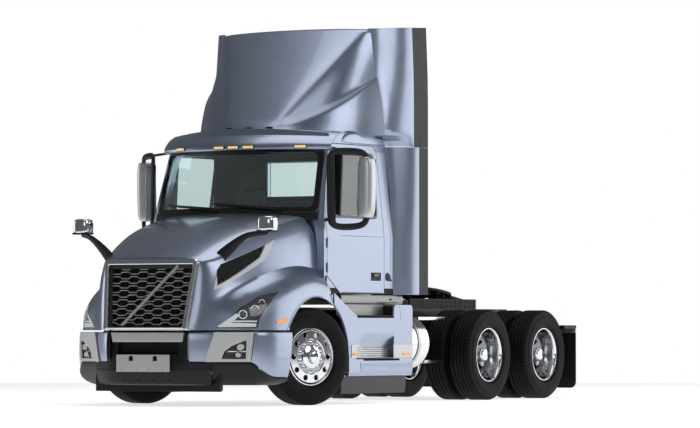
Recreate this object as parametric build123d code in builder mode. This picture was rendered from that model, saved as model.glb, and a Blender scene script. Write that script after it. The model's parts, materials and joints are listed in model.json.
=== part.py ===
"""Semi truck tractor unit: a day-cab conventional with two drive axles.

Millimetres. +X is the vehicle's left, the front faces -Y, +Z is up, and the
ground is z = 0. The origin is on the ground, midway along and across.
"""
from build123d import *
from math import cos, radians, sin
import os

os.makedirs("parts", exist_ok=True)

# ---------------------------------------------------------------- driving sizes
FRONT_REACH = 1520          # front axle to the foremost face of the bumper
REAR_REACH = 5800           # front axle to the rearmost point of the mud flaps
FRONT_AXLE_Y = (FRONT_REACH - REAR_REACH) / 2
DRIVE_AXLE_1 = 3743         # front axle to the first drive axle
TANDEM_SPACING = 1322       # between the two drive axles

TYRE_RADIUS = 503
TYRE_WIDTH = 284
BEAD_RADIUS = 286           # 22.5 inch wheel
RIM_LIP_RADIUS = 302
RIM_WIDTH = 234             # over the flanges
HUB_HEIGHT = TYRE_RADIUS

KINGPIN_X = 930
WHEEL_OFFSET = 105          # kingpin to the middle of the front tyre
STEER_AT_REST = -19.8       # degrees about +Z, the wheels turned to the right
DUAL_OUTER_X = 1045         # middle of the outer drive tyre
DUAL_SPACING = 320

RAIL_OUTER_X = 430
RAIL_HEIGHT = 280
RAIL_TOP = 1020
RAIL_FLANGE = 85
RAIL_GAUGE = 10
RAIL_FRONT = 1180           # ahead of the front axle
RAIL_REAR = 5520            # behind the front axle

CAB_HALF_WIDTH = 1080
CAB_TOP_HALF_WIDTH = 970
CAB_FLOOR_Z = 1160
BELT_Z = 1770
CAB_EAVES_Z = 2850
ROOF_Z = 2910
CAB_WALL = 60
CAB_FRONT = 285             # firewall, behind the front axle
CAB_REAR = 1740

SHELL = 25                  # moulded panels
SEAT_GAP = 0.3              # between curved faces that seat on each other
RUNNING_GAP = 7             # between a moving panel and its neighbour


# ---------------------------------------------------------------------- helpers
def aft(distance):
    """The y of a point this far behind the front axle."""
    return FRONT_AXLE_Y + distance


def section_at(y):
    """The plane across the vehicle at y, with x to the left and up along Z."""
    return Plane.XZ.offset(-y)


def block(x_range, y_range, z_range, mode=Mode.ADD):
    """A box from its three ranges, added to the part being built."""
    sizes = [high - low for low, high in (x_range, y_range, z_range)]
    middle = [(high + low) / 2 for low, high in (x_range, y_range, z_range)]
    with Locations(tuple(middle)):
        Box(*sizes, mode=mode)


def rod(start, end, radius, mode=Mode.ADD):
    """A round bar between two points, added to the part being built."""
    run = Vector(*end) - Vector(*start)
    with Locations(Plane(origin=start, z_dir=run).location):
        Cylinder(radius, run.length, align=(Align.CENTER, Align.CENTER, Align.MIN), mode=mode)


def finish(piece, name):
    """Label a finished piece and write its STEP file."""
    piece.label = name
    export_step(piece, f"parts/{name}.step")


def prism(points, plane, depth):
    """A closed polygon pushed out from its plane, kept apart from any builder."""
    with BuildPart(mode=Mode.PRIVATE) as solid:
        with BuildSketch(plane) as face:
            with BuildLine():
                Polyline(*points, close=True)
            make_face()
        extrude(face.sketch, amount=depth)
    return solid.part


def stack(levels):
    """A ruled loft through closed polygons, one (z, points) pair a level."""
    with BuildPart(mode=Mode.PRIVATE) as solid:
        faces = []
        for z, points in levels:
            with BuildSketch(Plane.XY.offset(z)) as face:
                with BuildLine():
                    Polyline(*points, close=True)
                make_face()
            faces.append(face.sketch.face())
        loft(faces, ruled=True)
    return solid.part


# ----------------------------------------------------------------- chassis frame
web_x = RAIL_OUTER_X - RAIL_GAUGE
rail_bottom = RAIL_TOP - RAIL_HEIGHT
rail_front_y = aft(-RAIL_FRONT)
rail_rear_y = aft(RAIL_REAR)

with BuildPart() as frame_rails:
    with BuildSketch(section_at(rail_front_y)):
        with BuildLine():
            Polyline(
                (RAIL_OUTER_X, rail_bottom),
                (RAIL_OUTER_X, RAIL_TOP),
                (RAIL_OUTER_X - RAIL_FLANGE, RAIL_TOP),
                (RAIL_OUTER_X - RAIL_FLANGE, RAIL_TOP - RAIL_GAUGE),
                (web_x, RAIL_TOP - RAIL_GAUGE),
                (web_x, rail_bottom + RAIL_GAUGE),
                (RAIL_OUTER_X - RAIL_FLANGE, rail_bottom + RAIL_GAUGE),
                (RAIL_OUTER_X - RAIL_FLANGE, rail_bottom),
                close=True,
            )
        make_face()
    extrude(amount=rail_front_y - rail_rear_y)
    mirror(about=Plane.YZ)
finish(frame_rails.part, "frame_rails")

# y behind the front axle and length along the frame of each crossmember
CROSSMEMBERS = ((-1120, 90), (1400, 70), (2150, 70), (3000, 70), (4404, 160), (5440, 90))
CROSSMEMBER_INSET = 30      # below and above the rail's outer faces
with BuildPart() as crossmembers:
    for place, length in CROSSMEMBERS:
        block(
            (-web_x, web_x),
            (aft(place) - length / 2, aft(place) + length / 2),
            (rail_bottom + CROSSMEMBER_INSET, RAIL_TOP - CROSSMEMBER_INSET),
        )

# ------------------------------------------------------------------------ engine
ENGINE_HALF_WIDTH = 300
ENGINE_Y = (-760, 250)
ENGINE_Z = (600, 1540)
GEARBOX_HALF_WIDTH = 230
GEARBOX_END = 1180
GEARBOX_Z = (640, 1040)
MOUNT_Z = (820, 940)
with BuildPart() as engine:
    block((-ENGINE_HALF_WIDTH, ENGINE_HALF_WIDTH), (aft(ENGINE_Y[0]), aft(ENGINE_Y[1])), ENGINE_Z)
    block((-GEARBOX_HALF_WIDTH, GEARBOX_HALF_WIDTH), (aft(ENGINE_Y[1]), aft(GEARBOX_END)), GEARBOX_Z)
    for place in (-600, 900):
        block((-web_x, web_x), (aft(place), aft(place + 100)), MOUNT_Z)
finish(engine.part, "engine")

RADIATOR_HALF_WIDTH = 450
RADIATOR_DEPTH = 90
RADIATOR_Z = (790, 1400)
with BuildPart() as radiator:
    block(
        (-RADIATOR_HALF_WIDTH, RADIATOR_HALF_WIDTH),
        (rail_front_y - RADIATOR_DEPTH, rail_front_y),
        RADIATOR_Z,
    )
finish(radiator.part, "radiator")

# -------------------------------------------------------------------- front axle
BEAM_HALF_DEPTH = 45
BEAM_DROP_X = 640
BEAM_Z = (400, 495)
KINGPIN_RADIUS = 22
EYE_RADIUS = 52
EYE_HALF_HEIGHT = 55
EAR_HEIGHT = 45
EAR_GAP = 1
with BuildPart() as front_axle:
    with BuildSketch(section_at(aft(-BEAM_HALF_DEPTH))):
        with BuildLine():
            Polyline(
                (-KINGPIN_X, HUB_HEIGHT - EYE_HALF_HEIGHT + 10),
                (-BEAM_DROP_X, BEAM_Z[0]),
                (BEAM_DROP_X, BEAM_Z[0]),
                (KINGPIN_X, HUB_HEIGHT - EYE_HALF_HEIGHT + 10),
                (KINGPIN_X, HUB_HEIGHT + EYE_HALF_HEIGHT - 10),
                (BEAM_DROP_X, BEAM_Z[1]),
                (-BEAM_DROP_X, BEAM_Z[1]),
                (-KINGPIN_X, HUB_HEIGHT + EYE_HALF_HEIGHT - 10),
                close=True,
            )
        make_face()
    extrude(amount=-2 * BEAM_HALF_DEPTH)
    for side in (-1, 1):
        with Locations((side * KINGPIN_X, FRONT_AXLE_Y, HUB_HEIGHT)):
            Cylinder(EYE_RADIUS, 2 * EYE_HALF_HEIGHT)
            Cylinder(KINGPIN_RADIUS, 2 * (EYE_HALF_HEIGHT + EAR_HEIGHT + EAR_GAP))
finish(front_axle.part, "front_axle")

SPRING_X = (345, 425)
SPRING_REACH = 700
SPRING_RISE = 130
SPRING_DEPTH = 55
HANGER_HALF = 45
with BuildPart() as front_springs:
    with BuildSketch(Plane.YZ.offset(SPRING_X[0])):
        with BuildLine():
            ThreePointArc(
                (aft(-SPRING_REACH), BEAM_Z[1] + SPRING_RISE),
                (aft(0), BEAM_Z[1]),
                (aft(SPRING_REACH), BEAM_Z[1] + SPRING_RISE),
            )
            Line(
                (aft(SPRING_REACH), BEAM_Z[1] + SPRING_RISE),
                (aft(SPRING_REACH), BEAM_Z[1] + SPRING_RISE + SPRING_DEPTH),
            )
            ThreePointArc(
                (aft(SPRING_REACH), BEAM_Z[1] + SPRING_RISE + SPRING_DEPTH),
                (aft(0), BEAM_Z[1] + SPRING_DEPTH),
                (aft(-SPRING_REACH), BEAM_Z[1] + SPRING_RISE + SPRING_DEPTH),
            )
            Line(
                (aft(-SPRING_REACH), BEAM_Z[1] + SPRING_RISE + SPRING_DEPTH),
                (aft(-SPRING_REACH), BEAM_Z[1] + SPRING_RISE),
            )
        make_face()
    extrude(amount=SPRING_X[1] - SPRING_X[0])
    block(SPRING_X, (aft(-70), aft(70)), (BEAM_Z[1], BEAM_Z[1] + SPRING_DEPTH))
    for end in (-SPRING_REACH, SPRING_REACH):
        block(
            SPRING_X,
            (aft(end - HANGER_HALF), aft(end + HANGER_HALF)),
            (BEAM_Z[1] + SPRING_RISE, rail_bottom),
        )
    mirror(about=Plane.YZ)

# ------------------------------------------------------------- steering knuckles
SPINDLE_RADIUS = 40
SPINDLE_END = 190           # from the kingpin
ARM_LENGTH = 160
ARM_HALF_WIDTH = 22
ARM_Z = (405, 430)
TIE_ROD_Z = 455
BALL_RADIUS = 14
ear_z = (
    (HUB_HEIGHT - EYE_HALF_HEIGHT - EAR_GAP - EAR_HEIGHT, HUB_HEIGHT - EYE_HALF_HEIGHT - EAR_GAP),
    (HUB_HEIGHT + EYE_HALF_HEIGHT + EAR_GAP, HUB_HEIGHT + EYE_HALF_HEIGHT + EAR_GAP + EAR_HEIGHT),
)
YOKE_X = (60, 92)
for name, side in (("knuckle_left", 1), ("knuckle_right", -1)):
    with BuildPart() as straight:
        for low, high in ear_z:
            with Locations((0, 0, (low + high) / 2)):
                Cylinder(EYE_RADIUS, high - low)
            block(sorted((0, side * YOKE_X[1])), (-40, 40), (low, high))
        block(sorted((side * YOKE_X[0], side * YOKE_X[1])), (-60, 60), (ear_z[0][0], ear_z[1][1]))
        rod((side * YOKE_X[0], 0, HUB_HEIGHT), (side * SPINDLE_END, 0, HUB_HEIGHT), SPINDLE_RADIUS)
        block((-ARM_HALF_WIDTH, ARM_HALF_WIDTH), (0, ARM_LENGTH), ARM_Z)
        with Locations((0, ARM_LENGTH, (ARM_Z[0] + ARM_Z[1]) / 2)):
            Cylinder(ARM_HALF_WIDTH + 6, ARM_Z[1] - ARM_Z[0])
        rod((0, ARM_LENGTH, ARM_Z[0]), (0, ARM_LENGTH, TIE_ROD_Z + 20), BALL_RADIUS)
        rod((0, 0, ear_z[0][0] - 1), (0, 0, ear_z[1][1] + 1), KINGPIN_RADIUS + SEAT_GAP, mode=Mode.SUBTRACT)
    with BuildPart() as knuckle:
        with Locations(Location((side * KINGPIN_X, FRONT_AXLE_Y, 0), (0, 0, STEER_AT_REST))):
            add(straight.part)
    finish(knuckle.part, name)

rod_shift = -ARM_LENGTH * sin(radians(STEER_AT_REST))
rod_y = FRONT_AXLE_Y + ARM_LENGTH * cos(radians(STEER_AT_REST))
ROD_RADIUS = 18
ROD_END_RADIUS = 32
with BuildPart() as tie_rod:
    rod((rod_shift - KINGPIN_X, rod_y, TIE_ROD_Z), (rod_shift + KINGPIN_X, rod_y, TIE_ROD_Z), ROD_RADIUS)
    for side in (-1, 1):
        with Locations((rod_shift + side * KINGPIN_X, rod_y, TIE_ROD_Z)):
            Cylinder(ROD_END_RADIUS, 2 * ROD_RADIUS + 8)
            Cylinder(BALL_RADIUS + SEAT_GAP, 4 * ROD_RADIUS, mode=Mode.SUBTRACT)
finish(tie_rod.part, "tie_rod")

# ------------------------------------------------------------------------ wheels
SIDEWALL_RADIUS = 395
SHOULDER_DROP = 18
SHOULDER_INSET = 22
GROOVES = (-66, -22, 22, 66)
GROOVE_HALF = 6
GROOVE_DEPTH = 13
DISC_THICKNESS = 24
BARREL_THICKNESS = 14
LIP_WIDTH = 12
HAND_HOLES = 10
HAND_HOLE_RADIUS = 29
HAND_HOLE_CIRCLE = 212
STUD_CIRCLE = 142.9         # ten studs on a 285.75 circle
STUD_RADIUS = 14
STUD_REACH = 34


def tyre_ring(middle):
    """A tyre about the local Z axis, its mid-plane at this height."""
    half = TYRE_WIDTH / 2
    bead = RIM_WIDTH / 2 - LIP_WIDTH - SEAT_GAP
    grooves = []
    for place in GROOVES:
        centre = middle + place
        grooves += [
            (TYRE_RADIUS, centre - GROOVE_HALF),
            (TYRE_RADIUS - GROOVE_DEPTH, centre - GROOVE_HALF + 2),
            (TYRE_RADIUS - GROOVE_DEPTH, centre + GROOVE_HALF - 2),
            (TYRE_RADIUS, centre + GROOVE_HALF),
        ]
    with BuildPart(mode=Mode.PRIVATE) as ring:
        with BuildSketch(Plane.XZ) as profile:
            with BuildLine():
                Polyline(
                    (BEAD_RADIUS + SEAT_GAP, middle - bead),
                    (RIM_LIP_RADIUS + SEAT_GAP, middle - bead),
                    (RIM_LIP_RADIUS + 12, middle - half + 20),
                    (SIDEWALL_RADIUS, middle - half),
                    (TYRE_RADIUS - SHOULDER_DROP, middle - half + SHOULDER_INSET),
                    (TYRE_RADIUS, middle - half + 2 * SHOULDER_INSET),
                    *grooves,
                    (TYRE_RADIUS, middle + half - 2 * SHOULDER_INSET),
                    (TYRE_RADIUS - SHOULDER_DROP, middle + half - SHOULDER_INSET),
                    (SIDEWALL_RADIUS, middle + half),
                    (RIM_LIP_RADIUS + 12, middle + half - 20),
                    (RIM_LIP_RADIUS + SEAT_GAP, middle + bead),
                    (BEAD_RADIUS + SEAT_GAP, middle + bead),
                    close=True,
                )
            make_face()
        revolve(profile.sketch, axis=Axis.Z)
    return ring.part


def rim_ring(middle, disc_z, disc_outward, dish_z):
    """A wheel rim with its disc, about the local Z axis.

    The disc's flat plate lies from disc_z, disc_outward times its thickness,
    and a dish joins it to the barrel at dish_z.
    """
    half = RIM_WIDTH / 2
    barrel_inner = BEAD_RADIUS - BARREL_THICKNESS
    plate = sorted((disc_z, disc_z + disc_outward * DISC_THICKNESS))
    with BuildPart(mode=Mode.PRIVATE) as ring:
        with BuildSketch(Plane.XZ) as profile:
            with BuildLine():
                Polyline(
                    (barrel_inner, middle - half),
                    (RIM_LIP_RADIUS, middle - half),
                    (RIM_LIP_RADIUS, middle - half + LIP_WIDTH),
                    (BEAD_RADIUS, middle - half + LIP_WIDTH),
                    (BEAD_RADIUS, middle + half - LIP_WIDTH),
                    (RIM_LIP_RADIUS, middle + half - LIP_WIDTH),
                    (RIM_LIP_RADIUS, middle + half),
                    (barrel_inner, middle + half),
                    close=True,
                )
            make_face()
            with BuildLine():
                Polyline(
                    (HUB_RADIUS - 2, disc_z),
                    (barrel_inner - DISC_THICKNESS, disc_z),
                    (barrel_inner + 2, dish_z),
                    (barrel_inner + 2, dish_z + disc_outward * DISC_THICKNESS),
                    (barrel_inner - 1.5 * DISC_THICKNESS, disc_z + disc_outward * DISC_THICKNESS),
                    (HUB_RADIUS - 2, disc_z + disc_outward * DISC_THICKNESS),
                    close=True,
                )
            make_face()
        revolve(profile.sketch, axis=Axis.Z)
        with Locations((0, 0, (plate[0] + plate[1]) / 2)):
            with PolarLocations(HAND_HOLE_CIRCLE, HAND_HOLES):
                Cylinder(HAND_HOLE_RADIUS, 2 * DISC_THICKNESS, mode=Mode.SUBTRACT)
    return ring.part


HUB_RADIUS = 112
FRONT_DRUM_RADIUS = 205
FRONT_DRUM = (WHEEL_OFFSET - 5, WHEEL_OFFSET + 75)
FRONT_DISC_Z = WHEEL_OFFSET + 86
FRONT_CAP_END = WHEEL_OFFSET + RIM_WIDTH / 2 + 90
CAP_RADIUS = 78
spindle_bore = SPINDLE_RADIUS + SEAT_GAP

with BuildPart() as front_rim_form:
    add(rim_ring(WHEEL_OFFSET, FRONT_DISC_Z, 1, FRONT_DISC_Z - DISC_THICKNESS))
    rod((0, 0, FRONT_DRUM[0]), (0, 0, FRONT_DISC_Z + DISC_THICKNESS + 20), HUB_RADIUS)
    rod((0, 0, FRONT_DRUM[0]), (0, 0, FRONT_DRUM[1]), FRONT_DRUM_RADIUS)
    rod((0, 0, FRONT_DISC_Z), (0, 0, FRONT_CAP_END), CAP_RADIUS)
    with Locations((0, 0, FRONT_DISC_Z + DISC_THICKNESS)):
        with PolarLocations(STUD_CIRCLE, HAND_HOLES):
            Cylinder(STUD_RADIUS, STUD_REACH, align=(Align.CENTER, Align.CENTER, Align.MIN))
    rod((0, 0, 0), (0, 0, SPINDLE_END + 3), spindle_bore, mode=Mode.SUBTRACT)

for name, side in (("left", 1), ("right", -1)):
    turn = Location((side * KINGPIN_X, FRONT_AXLE_Y, HUB_HEIGHT), (0, 0, STEER_AT_REST))
    facing = turn * Location((0, 0, 0), (0, side * 90, 0))
    with BuildPart() as front_tyre:
        with Locations(facing):
            add(tyre_ring(WHEEL_OFFSET))
    finish(front_tyre.part, f"front_tyre_{name}")
    with BuildPart() as front_rim:
        with Locations(facing):
            add(front_rim_form.part)
    finish(front_rim.part, f"front_rim_{name}")

AXLE_TUBE_RADIUS = 62
AXLE_TUBE_END = 1085
DUAL_FACE = DUAL_OUTER_X - DUAL_SPACING / 2
DISH_DEPTH = DUAL_SPACING / 2 - RIM_WIDTH / 2 + LIP_WIDTH
DRIVE_DRUM = (700, 862)
DRIVE_DRUM_RADIUS = 210
DRIVE_CAP_END = 1120
with BuildPart() as drive_rim_form:
    add(rim_ring(DUAL_OUTER_X, DUAL_FACE, 1, DUAL_FACE + DISH_DEPTH))
    add(rim_ring(DUAL_OUTER_X - DUAL_SPACING, DUAL_FACE, -1, DUAL_FACE - DISH_DEPTH))
    rod((0, 0, DRIVE_DRUM[0]), (0, 0, DRIVE_CAP_END - 35), HUB_RADIUS)
    rod((0, 0, DRIVE_DRUM[0]), (0, 0, DRIVE_DRUM[1]), DRIVE_DRUM_RADIUS)
    rod((0, 0, DUAL_FACE), (0, 0, DRIVE_CAP_END), CAP_RADIUS)
    with Locations((0, 0, DUAL_FACE + DISC_THICKNESS)):
        with PolarLocations(STUD_CIRCLE, HAND_HOLES):
            Cylinder(STUD_RADIUS, STUD_REACH, align=(Align.CENTER, Align.CENTER, Align.MIN))
    rod((0, 0, 0), (0, 0, AXLE_TUBE_END + 3), AXLE_TUBE_RADIUS + SEAT_GAP, mode=Mode.SUBTRACT)

DRIVE_AXLES = (("front", aft(DRIVE_AXLE_1)), ("rear", aft(DRIVE_AXLE_1 + TANDEM_SPACING)))
for axle, y in DRIVE_AXLES:
    for name, side in (("left", 1), ("right", -1)):
        facing = Location((0, y, HUB_HEIGHT), (0, side * 90, 0))
        with BuildPart() as drive_tyres:
            with Locations(facing):
                add(tyre_ring(DUAL_OUTER_X))
                add(tyre_ring(DUAL_OUTER_X - DUAL_SPACING))
        finish(drive_tyres.part, f"{axle}_drive_tyres_{name}")
        with BuildPart() as drive_rims:
            with Locations(facing):
                add(drive_rim_form.part)
        finish(drive_rims.part, f"{axle}_drive_rims_{name}")

# ------------------------------------------------------- drive axles, suspension
BANJO_RADIUS = 205
BANJO_HALF_LENGTH = 120
NOSE_RADIUS = 110
NOSE_REACH = 290
HOUSING_RADIUS = 80
HOUSING_HALF = 560
SEAT_X = (360, 450)
BEAM_TOP = 650
PERCH_TOP = HUB_HEIGHT + HOUSING_RADIUS + 2
with BuildPart() as drive_axles:
    for axle, y in DRIVE_AXLES:
        rod((-AXLE_TUBE_END, y, HUB_HEIGHT), (AXLE_TUBE_END, y, HUB_HEIGHT), AXLE_TUBE_RADIUS)
        rod((-HOUSING_HALF, y, HUB_HEIGHT), (HOUSING_HALF, y, HUB_HEIGHT), HOUSING_RADIUS)
        rod((0, y - BANJO_HALF_LENGTH, HUB_HEIGHT), (0, y + BANJO_HALF_LENGTH, HUB_HEIGHT), BANJO_RADIUS)
        rod((0, y - NOSE_REACH, HUB_HEIGHT + 30), (0, y, HUB_HEIGHT + 30), NOSE_RADIUS)
        for side in (-1, 1):
            block(sorted((side * SEAT_X[0], side * SEAT_X[1])), (y - 80, y + 80), (HUB_HEIGHT, PERCH_TOP))

ARM_FRONT = -560
ARM_REAR = 400
AIRBAG_Y = 300
AIRBAG_RADIUS = 115
AIRBAG_X = 405
with BuildPart() as rear_suspension:
    for axle, y in DRIVE_AXLES:
        with BuildSketch(Plane.YZ.offset(SEAT_X[0])) as side_view:
            with BuildLine():
                Polyline(
                    (y + ARM_FRONT, PERCH_TOP),
                    (y + 95, PERCH_TOP),
                    (y + 140, 500),
                    (y + ARM_REAR, 500),
                    (y + ARM_REAR, 545),
                    (y + 200, 545),
                    (y + 120, BEAM_TOP),
                    (y + ARM_FRONT, BEAM_TOP),
                    close=True,
                )
            make_face()
        extrude(side_view.sketch, amount=SEAT_X[1] - SEAT_X[0])
        block(SEAT_X, (y + ARM_FRONT, y + ARM_FRONT + 90), (BEAM_TOP, rail_bottom))
        rod((AIRBAG_X, y + AIRBAG_Y, 545), (AIRBAG_X, y + AIRBAG_Y, rail_bottom), AIRBAG_RADIUS)
    mirror(about=Plane.YZ)
with BuildPart() as suspension:
    add(front_springs.part)
    add(rear_suspension.part)
finish(suspension.part, "suspension")

SHAFT_RADIUS = 50
YOKE_LENGTH = 90
# start y, start z, end y, end z of each propeller shaft
SHAFTS = (
    (aft(GEARBOX_END), 700, DRIVE_AXLES[0][1] - NOSE_REACH, HUB_HEIGHT + 30),
    (
        DRIVE_AXLES[0][1] + BANJO_HALF_LENGTH,
        HUB_HEIGHT + 30,
        DRIVE_AXLES[1][1] - NOSE_REACH,
        HUB_HEIGHT + 30,
    ),
)
with BuildPart() as driveshafts:
    for start_y, start_z, end_y, end_z in SHAFTS:
        rod((0, start_y, start_z), (0, start_y + YOKE_LENGTH, start_z), SHAFT_RADIUS)
        rod((0, end_y - YOKE_LENGTH, end_z), (0, end_y, end_z), SHAFT_RADIUS)
        rod((0, start_y + YOKE_LENGTH - 15, start_z), (0, end_y - YOKE_LENGTH + 15, end_z), SHAFT_RADIUS)
with BuildPart() as driveline:
    add(drive_axles.part)
    add(driveshafts.part)
finish(driveline.part, "driveline")

# --------------------------------------------------------- tanks and side boxes
TANK_RADIUS = 285
TANK_X = 815
TANK_Z = 640
TANK_Y = (1330, 2530)
STRAP_WIDTH = 60
STRAP_THICKNESS = 6
STRAPS = (1450, 2270)
with BuildPart() as fuel_tanks:
    rod((TANK_X, aft(TANK_Y[0]), TANK_Z), (TANK_X, aft(TANK_Y[1]), TANK_Z), TANK_RADIUS)
    fillet(fuel_tanks.edges().filter_by(GeomType.CIRCLE), 30)
    mirror(about=Plane.YZ)

tank_seat = TANK_RADIUS + SEAT_GAP
with BuildPart() as tank_brackets:
    for place in STRAPS:
        y_range = (aft(place) - STRAP_WIDTH / 2, aft(place) + STRAP_WIDTH / 2)
        rod((TANK_X, y_range[0], TANK_Z), (TANK_X, y_range[1], TANK_Z), tank_seat + STRAP_THICKNESS)
        block((RAIL_OUTER_X, TANK_X - 180), y_range, (TANK_Z - 250, RAIL_TOP - 20))
        block((RAIL_OUTER_X, TANK_X), y_range, (TANK_Z - 290, TANK_Z - 240))
    rod((TANK_X, aft(TANK_Y[0]), TANK_Z), (TANK_X, aft(TANK_Y[1]), TANK_Z), tank_seat, mode=Mode.SUBTRACT)
    mirror(about=Plane.YZ)
with BuildPart() as strapped_tanks:
    add(fuel_tanks.part)
    add(tank_brackets.part)
finish(strapped_tanks.part, "fuel_tanks")

SIDE_BOX_X = (RAIL_OUTER_X, 1080)
SIDE_BOX_Y = (660, 1290)
SIDE_BOX_Z = (330, 900)
with BuildPart() as battery_box:
    block(SIDE_BOX_X, (aft(SIDE_BOX_Y[0]), aft(SIDE_BOX_Y[1])), SIDE_BOX_Z)
    fillet(battery_box.edges().filter_by(Axis.Y), 25)

with BuildPart() as exhaust_box:
    block((-SIDE_BOX_X[1], -SIDE_BOX_X[0]), (aft(SIDE_BOX_Y[0]), aft(SIDE_BOX_Y[1])), SIDE_BOX_Z)
    fillet(exhaust_box.edges().filter_by(Axis.Y), 60)
with BuildPart() as side_boxes:
    add(battery_box.part)
    add(exhaust_box.part)
finish(side_boxes.part, "side_boxes")

# --------------------------------------------------------------- chassis fairings
FAIRING_X = 1200
FAIRING_FRONT = 597
FAIRING_REAR = 1930
FLARE_FRONT = 297           # behind the bonnet's side
FLARE_TOP = 1165
FLARE_ARC = ((297, 1035), (360, 988), (420, 930), (475, 864), (525, 784), (560, 707), (585, 615))
FAIRING_BOTTOM = 285
SKIRT_BOTTOM = 108
STEP_POCKET = (900, 1650, 566, 740)
TRAY_X = (1118, 1176)        # clear of the tank
TRAY_WALL = 12
LOWER_SLOT = (895, 1660, 452, 476)
TOP_POCKET_Z = 925
FAIRING_SIDE = (
    (FAIRING_FRONT, 500),
    (FAIRING_FRONT, FAIRING_BOTTOM),
    (FAIRING_REAR, FAIRING_BOTTOM),
    (FAIRING_REAR, 1020),
    (FAIRING_REAR - 25, 1045),
    (1570, 1045),
    (1550, 1030),
    (1530, TOP_POCKET_Z),
    (766, TOP_POCKET_Z),
    (549, 1035),
    (FLARE_FRONT, FLARE_TOP),
)
BAND_Z = (483, 621)         # bright band along the step
BAND_Y = (646, FAIRING_REAR)
BAND_PROUD = 4
fairing_side = [(aft(y), z) for y, z in FLARE_ARC + FAIRING_SIDE]
with BuildPart() as chassis_fairings:
    add(prism(fairing_side, Plane.YZ.offset(FAIRING_X - SHELL), SHELL))
    block((FAIRING_X - 5, FAIRING_X + BAND_PROUD), (aft(BAND_Y[0]), aft(BAND_Y[1])), BAND_Z)
    block(
        TRAY_X,
        (aft(STEP_POCKET[0] - TRAY_WALL), aft(STEP_POCKET[1] + TRAY_WALL)),
        (STEP_POCKET[2] - TRAY_WALL, STEP_POCKET[3] + TRAY_WALL),
    )
    block(
        (TRAY_X[0] + TRAY_WALL, FAIRING_X + 2 * BAND_PROUD),
        (aft(STEP_POCKET[0]), aft(STEP_POCKET[1])),
        STEP_POCKET[2:],
        mode=Mode.SUBTRACT,
    )
    block(
        (FAIRING_X - 2 * SHELL, FAIRING_X + 2 * BAND_PROUD),
        (aft(LOWER_SLOT[0]), aft(LOWER_SLOT[1])),
        LOWER_SLOT[2:],
        mode=Mode.SUBTRACT,
    )
    block((SIDE_BOX_X[1], FAIRING_X - SHELL), (aft(700), aft(760)), (780, 860))
    block((SIDE_BOX_X[1], FAIRING_X - SHELL), (aft(1200), aft(1260)), (780, 860))
    mirror(about=Plane.YZ)
finish(chassis_fairings.part, "chassis_fairings")

with BuildPart() as side_skirts:
    block((1120, 1165), (aft(490), aft(1850)), (SKIRT_BOTTOM, FAIRING_BOTTOM))
    block((1140, FAIRING_X - SHELL), (aft(700), aft(1850)), (FAIRING_BOTTOM, FAIRING_BOTTOM + 20))
    mirror(about=Plane.YZ)

TREAD_THICKNESS = 25
WELL_X = 1060               # kick plate under the door
WELL_Y = (600, 1900)
WELL_TOP = 1150
with BuildPart() as side_steps:
    block(
        (TRAY_X[0] + TRAY_WALL, FAIRING_X - 5),
        (aft(STEP_POCKET[0] + 5), aft(STEP_POCKET[1] - 5)),
        (STEP_POCKET[2], STEP_POCKET[2] + 6),
    )
    block(
        (WELL_X - 20, FAIRING_X - 5),
        (aft(775), aft(1525)),
        (TOP_POCKET_Z, TOP_POCKET_Z + TREAD_THICKNESS),
    )
    block((WELL_X - 20, WELL_X), (aft(WELL_Y[0]), aft(WELL_Y[1])), (TOP_POCKET_Z, WELL_TOP))
    block((WELL_X - 20, WELL_X + 45), (aft(WELL_Y[0]), aft(WELL_Y[1])), (WELL_TOP - 75, WELL_TOP))
    mirror(about=Plane.YZ)

# x range, y range and top of each access tread behind the cab
TREADS = (((RAIL_OUTER_X, 900), (2600, 3190), 917), ((RAIL_OUTER_X, 900), (2740, 3200), 445))
TREAD_POSTS = (2780, 3080)
with BuildPart() as access_steps:
    for x_range, y_range, top in TREADS:
        block(x_range, (aft(y_range[0]), aft(y_range[1])), (top - TREAD_THICKNESS, top))
    for place in TREAD_POSTS:
        block(
            (RAIL_OUTER_X, RAIL_OUTER_X + 20),
            (aft(place), aft(place + 40)),
            (TREADS[1][2] - TREAD_THICKNESS, TREADS[0][2]),
        )
with BuildPart() as steps:
    add(side_steps.part)
    add(access_steps.part)
finish(steps.part, "steps")

# -------------------------------------------------------------------- fifth wheel
FIFTH_Y = 3990
FIFTH_PIVOT_Z = 1135
FIFTH_TOP_Z = 1225
FIFTH_RADIUS = 470
FIFTH_REST_TILT = 8.0
PIVOT_RADIUS = 25
KINGPIN_BORE = 26
BRACKET_X = (300, 345)
SLIDER_X = (402, RAIL_OUTER_X)
SLIDER_Y = (3240, 4775)
SLIDER_TOP = 1130
with BuildPart() as fifth_wheel_base:
    block((-RAIL_OUTER_X, RAIL_OUTER_X), (aft(3340), aft(4600)), (RAIL_TOP, RAIL_TOP + 14))
    for side in (-1, 1):
        block(
            sorted((side * SLIDER_X[0], side * SLIDER_X[1])),
            (aft(SLIDER_Y[0]), aft(SLIDER_Y[1])),
            (RAIL_TOP, SLIDER_TOP),
        )
        block(sorted((side * 330, side * 400)), (aft(3380), aft(4560)), (RAIL_TOP + 14, RAIL_TOP + 45))
        block(
            sorted((side * BRACKET_X[0], side * BRACKET_X[1])),
            (aft(FIFTH_Y) - 70, aft(FIFTH_Y) + 70),
            (RAIL_TOP + 14, FIFTH_PIVOT_Z),
        )
        rod(
            (side * BRACKET_X[0], aft(FIFTH_Y), FIFTH_PIVOT_Z),
            (side * BRACKET_X[1], aft(FIFTH_Y), FIFTH_PIVOT_Z),
            45,
        )
        rod(
            (side * (BRACKET_X[0] - 40), aft(FIFTH_Y), FIFTH_PIVOT_Z),
            (side * (BRACKET_X[1] + 40), aft(FIFTH_Y), FIFTH_PIVOT_Z),
            PIVOT_RADIUS,
        )
finish(fifth_wheel_base.part, "fifth_wheel_base")

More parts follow.
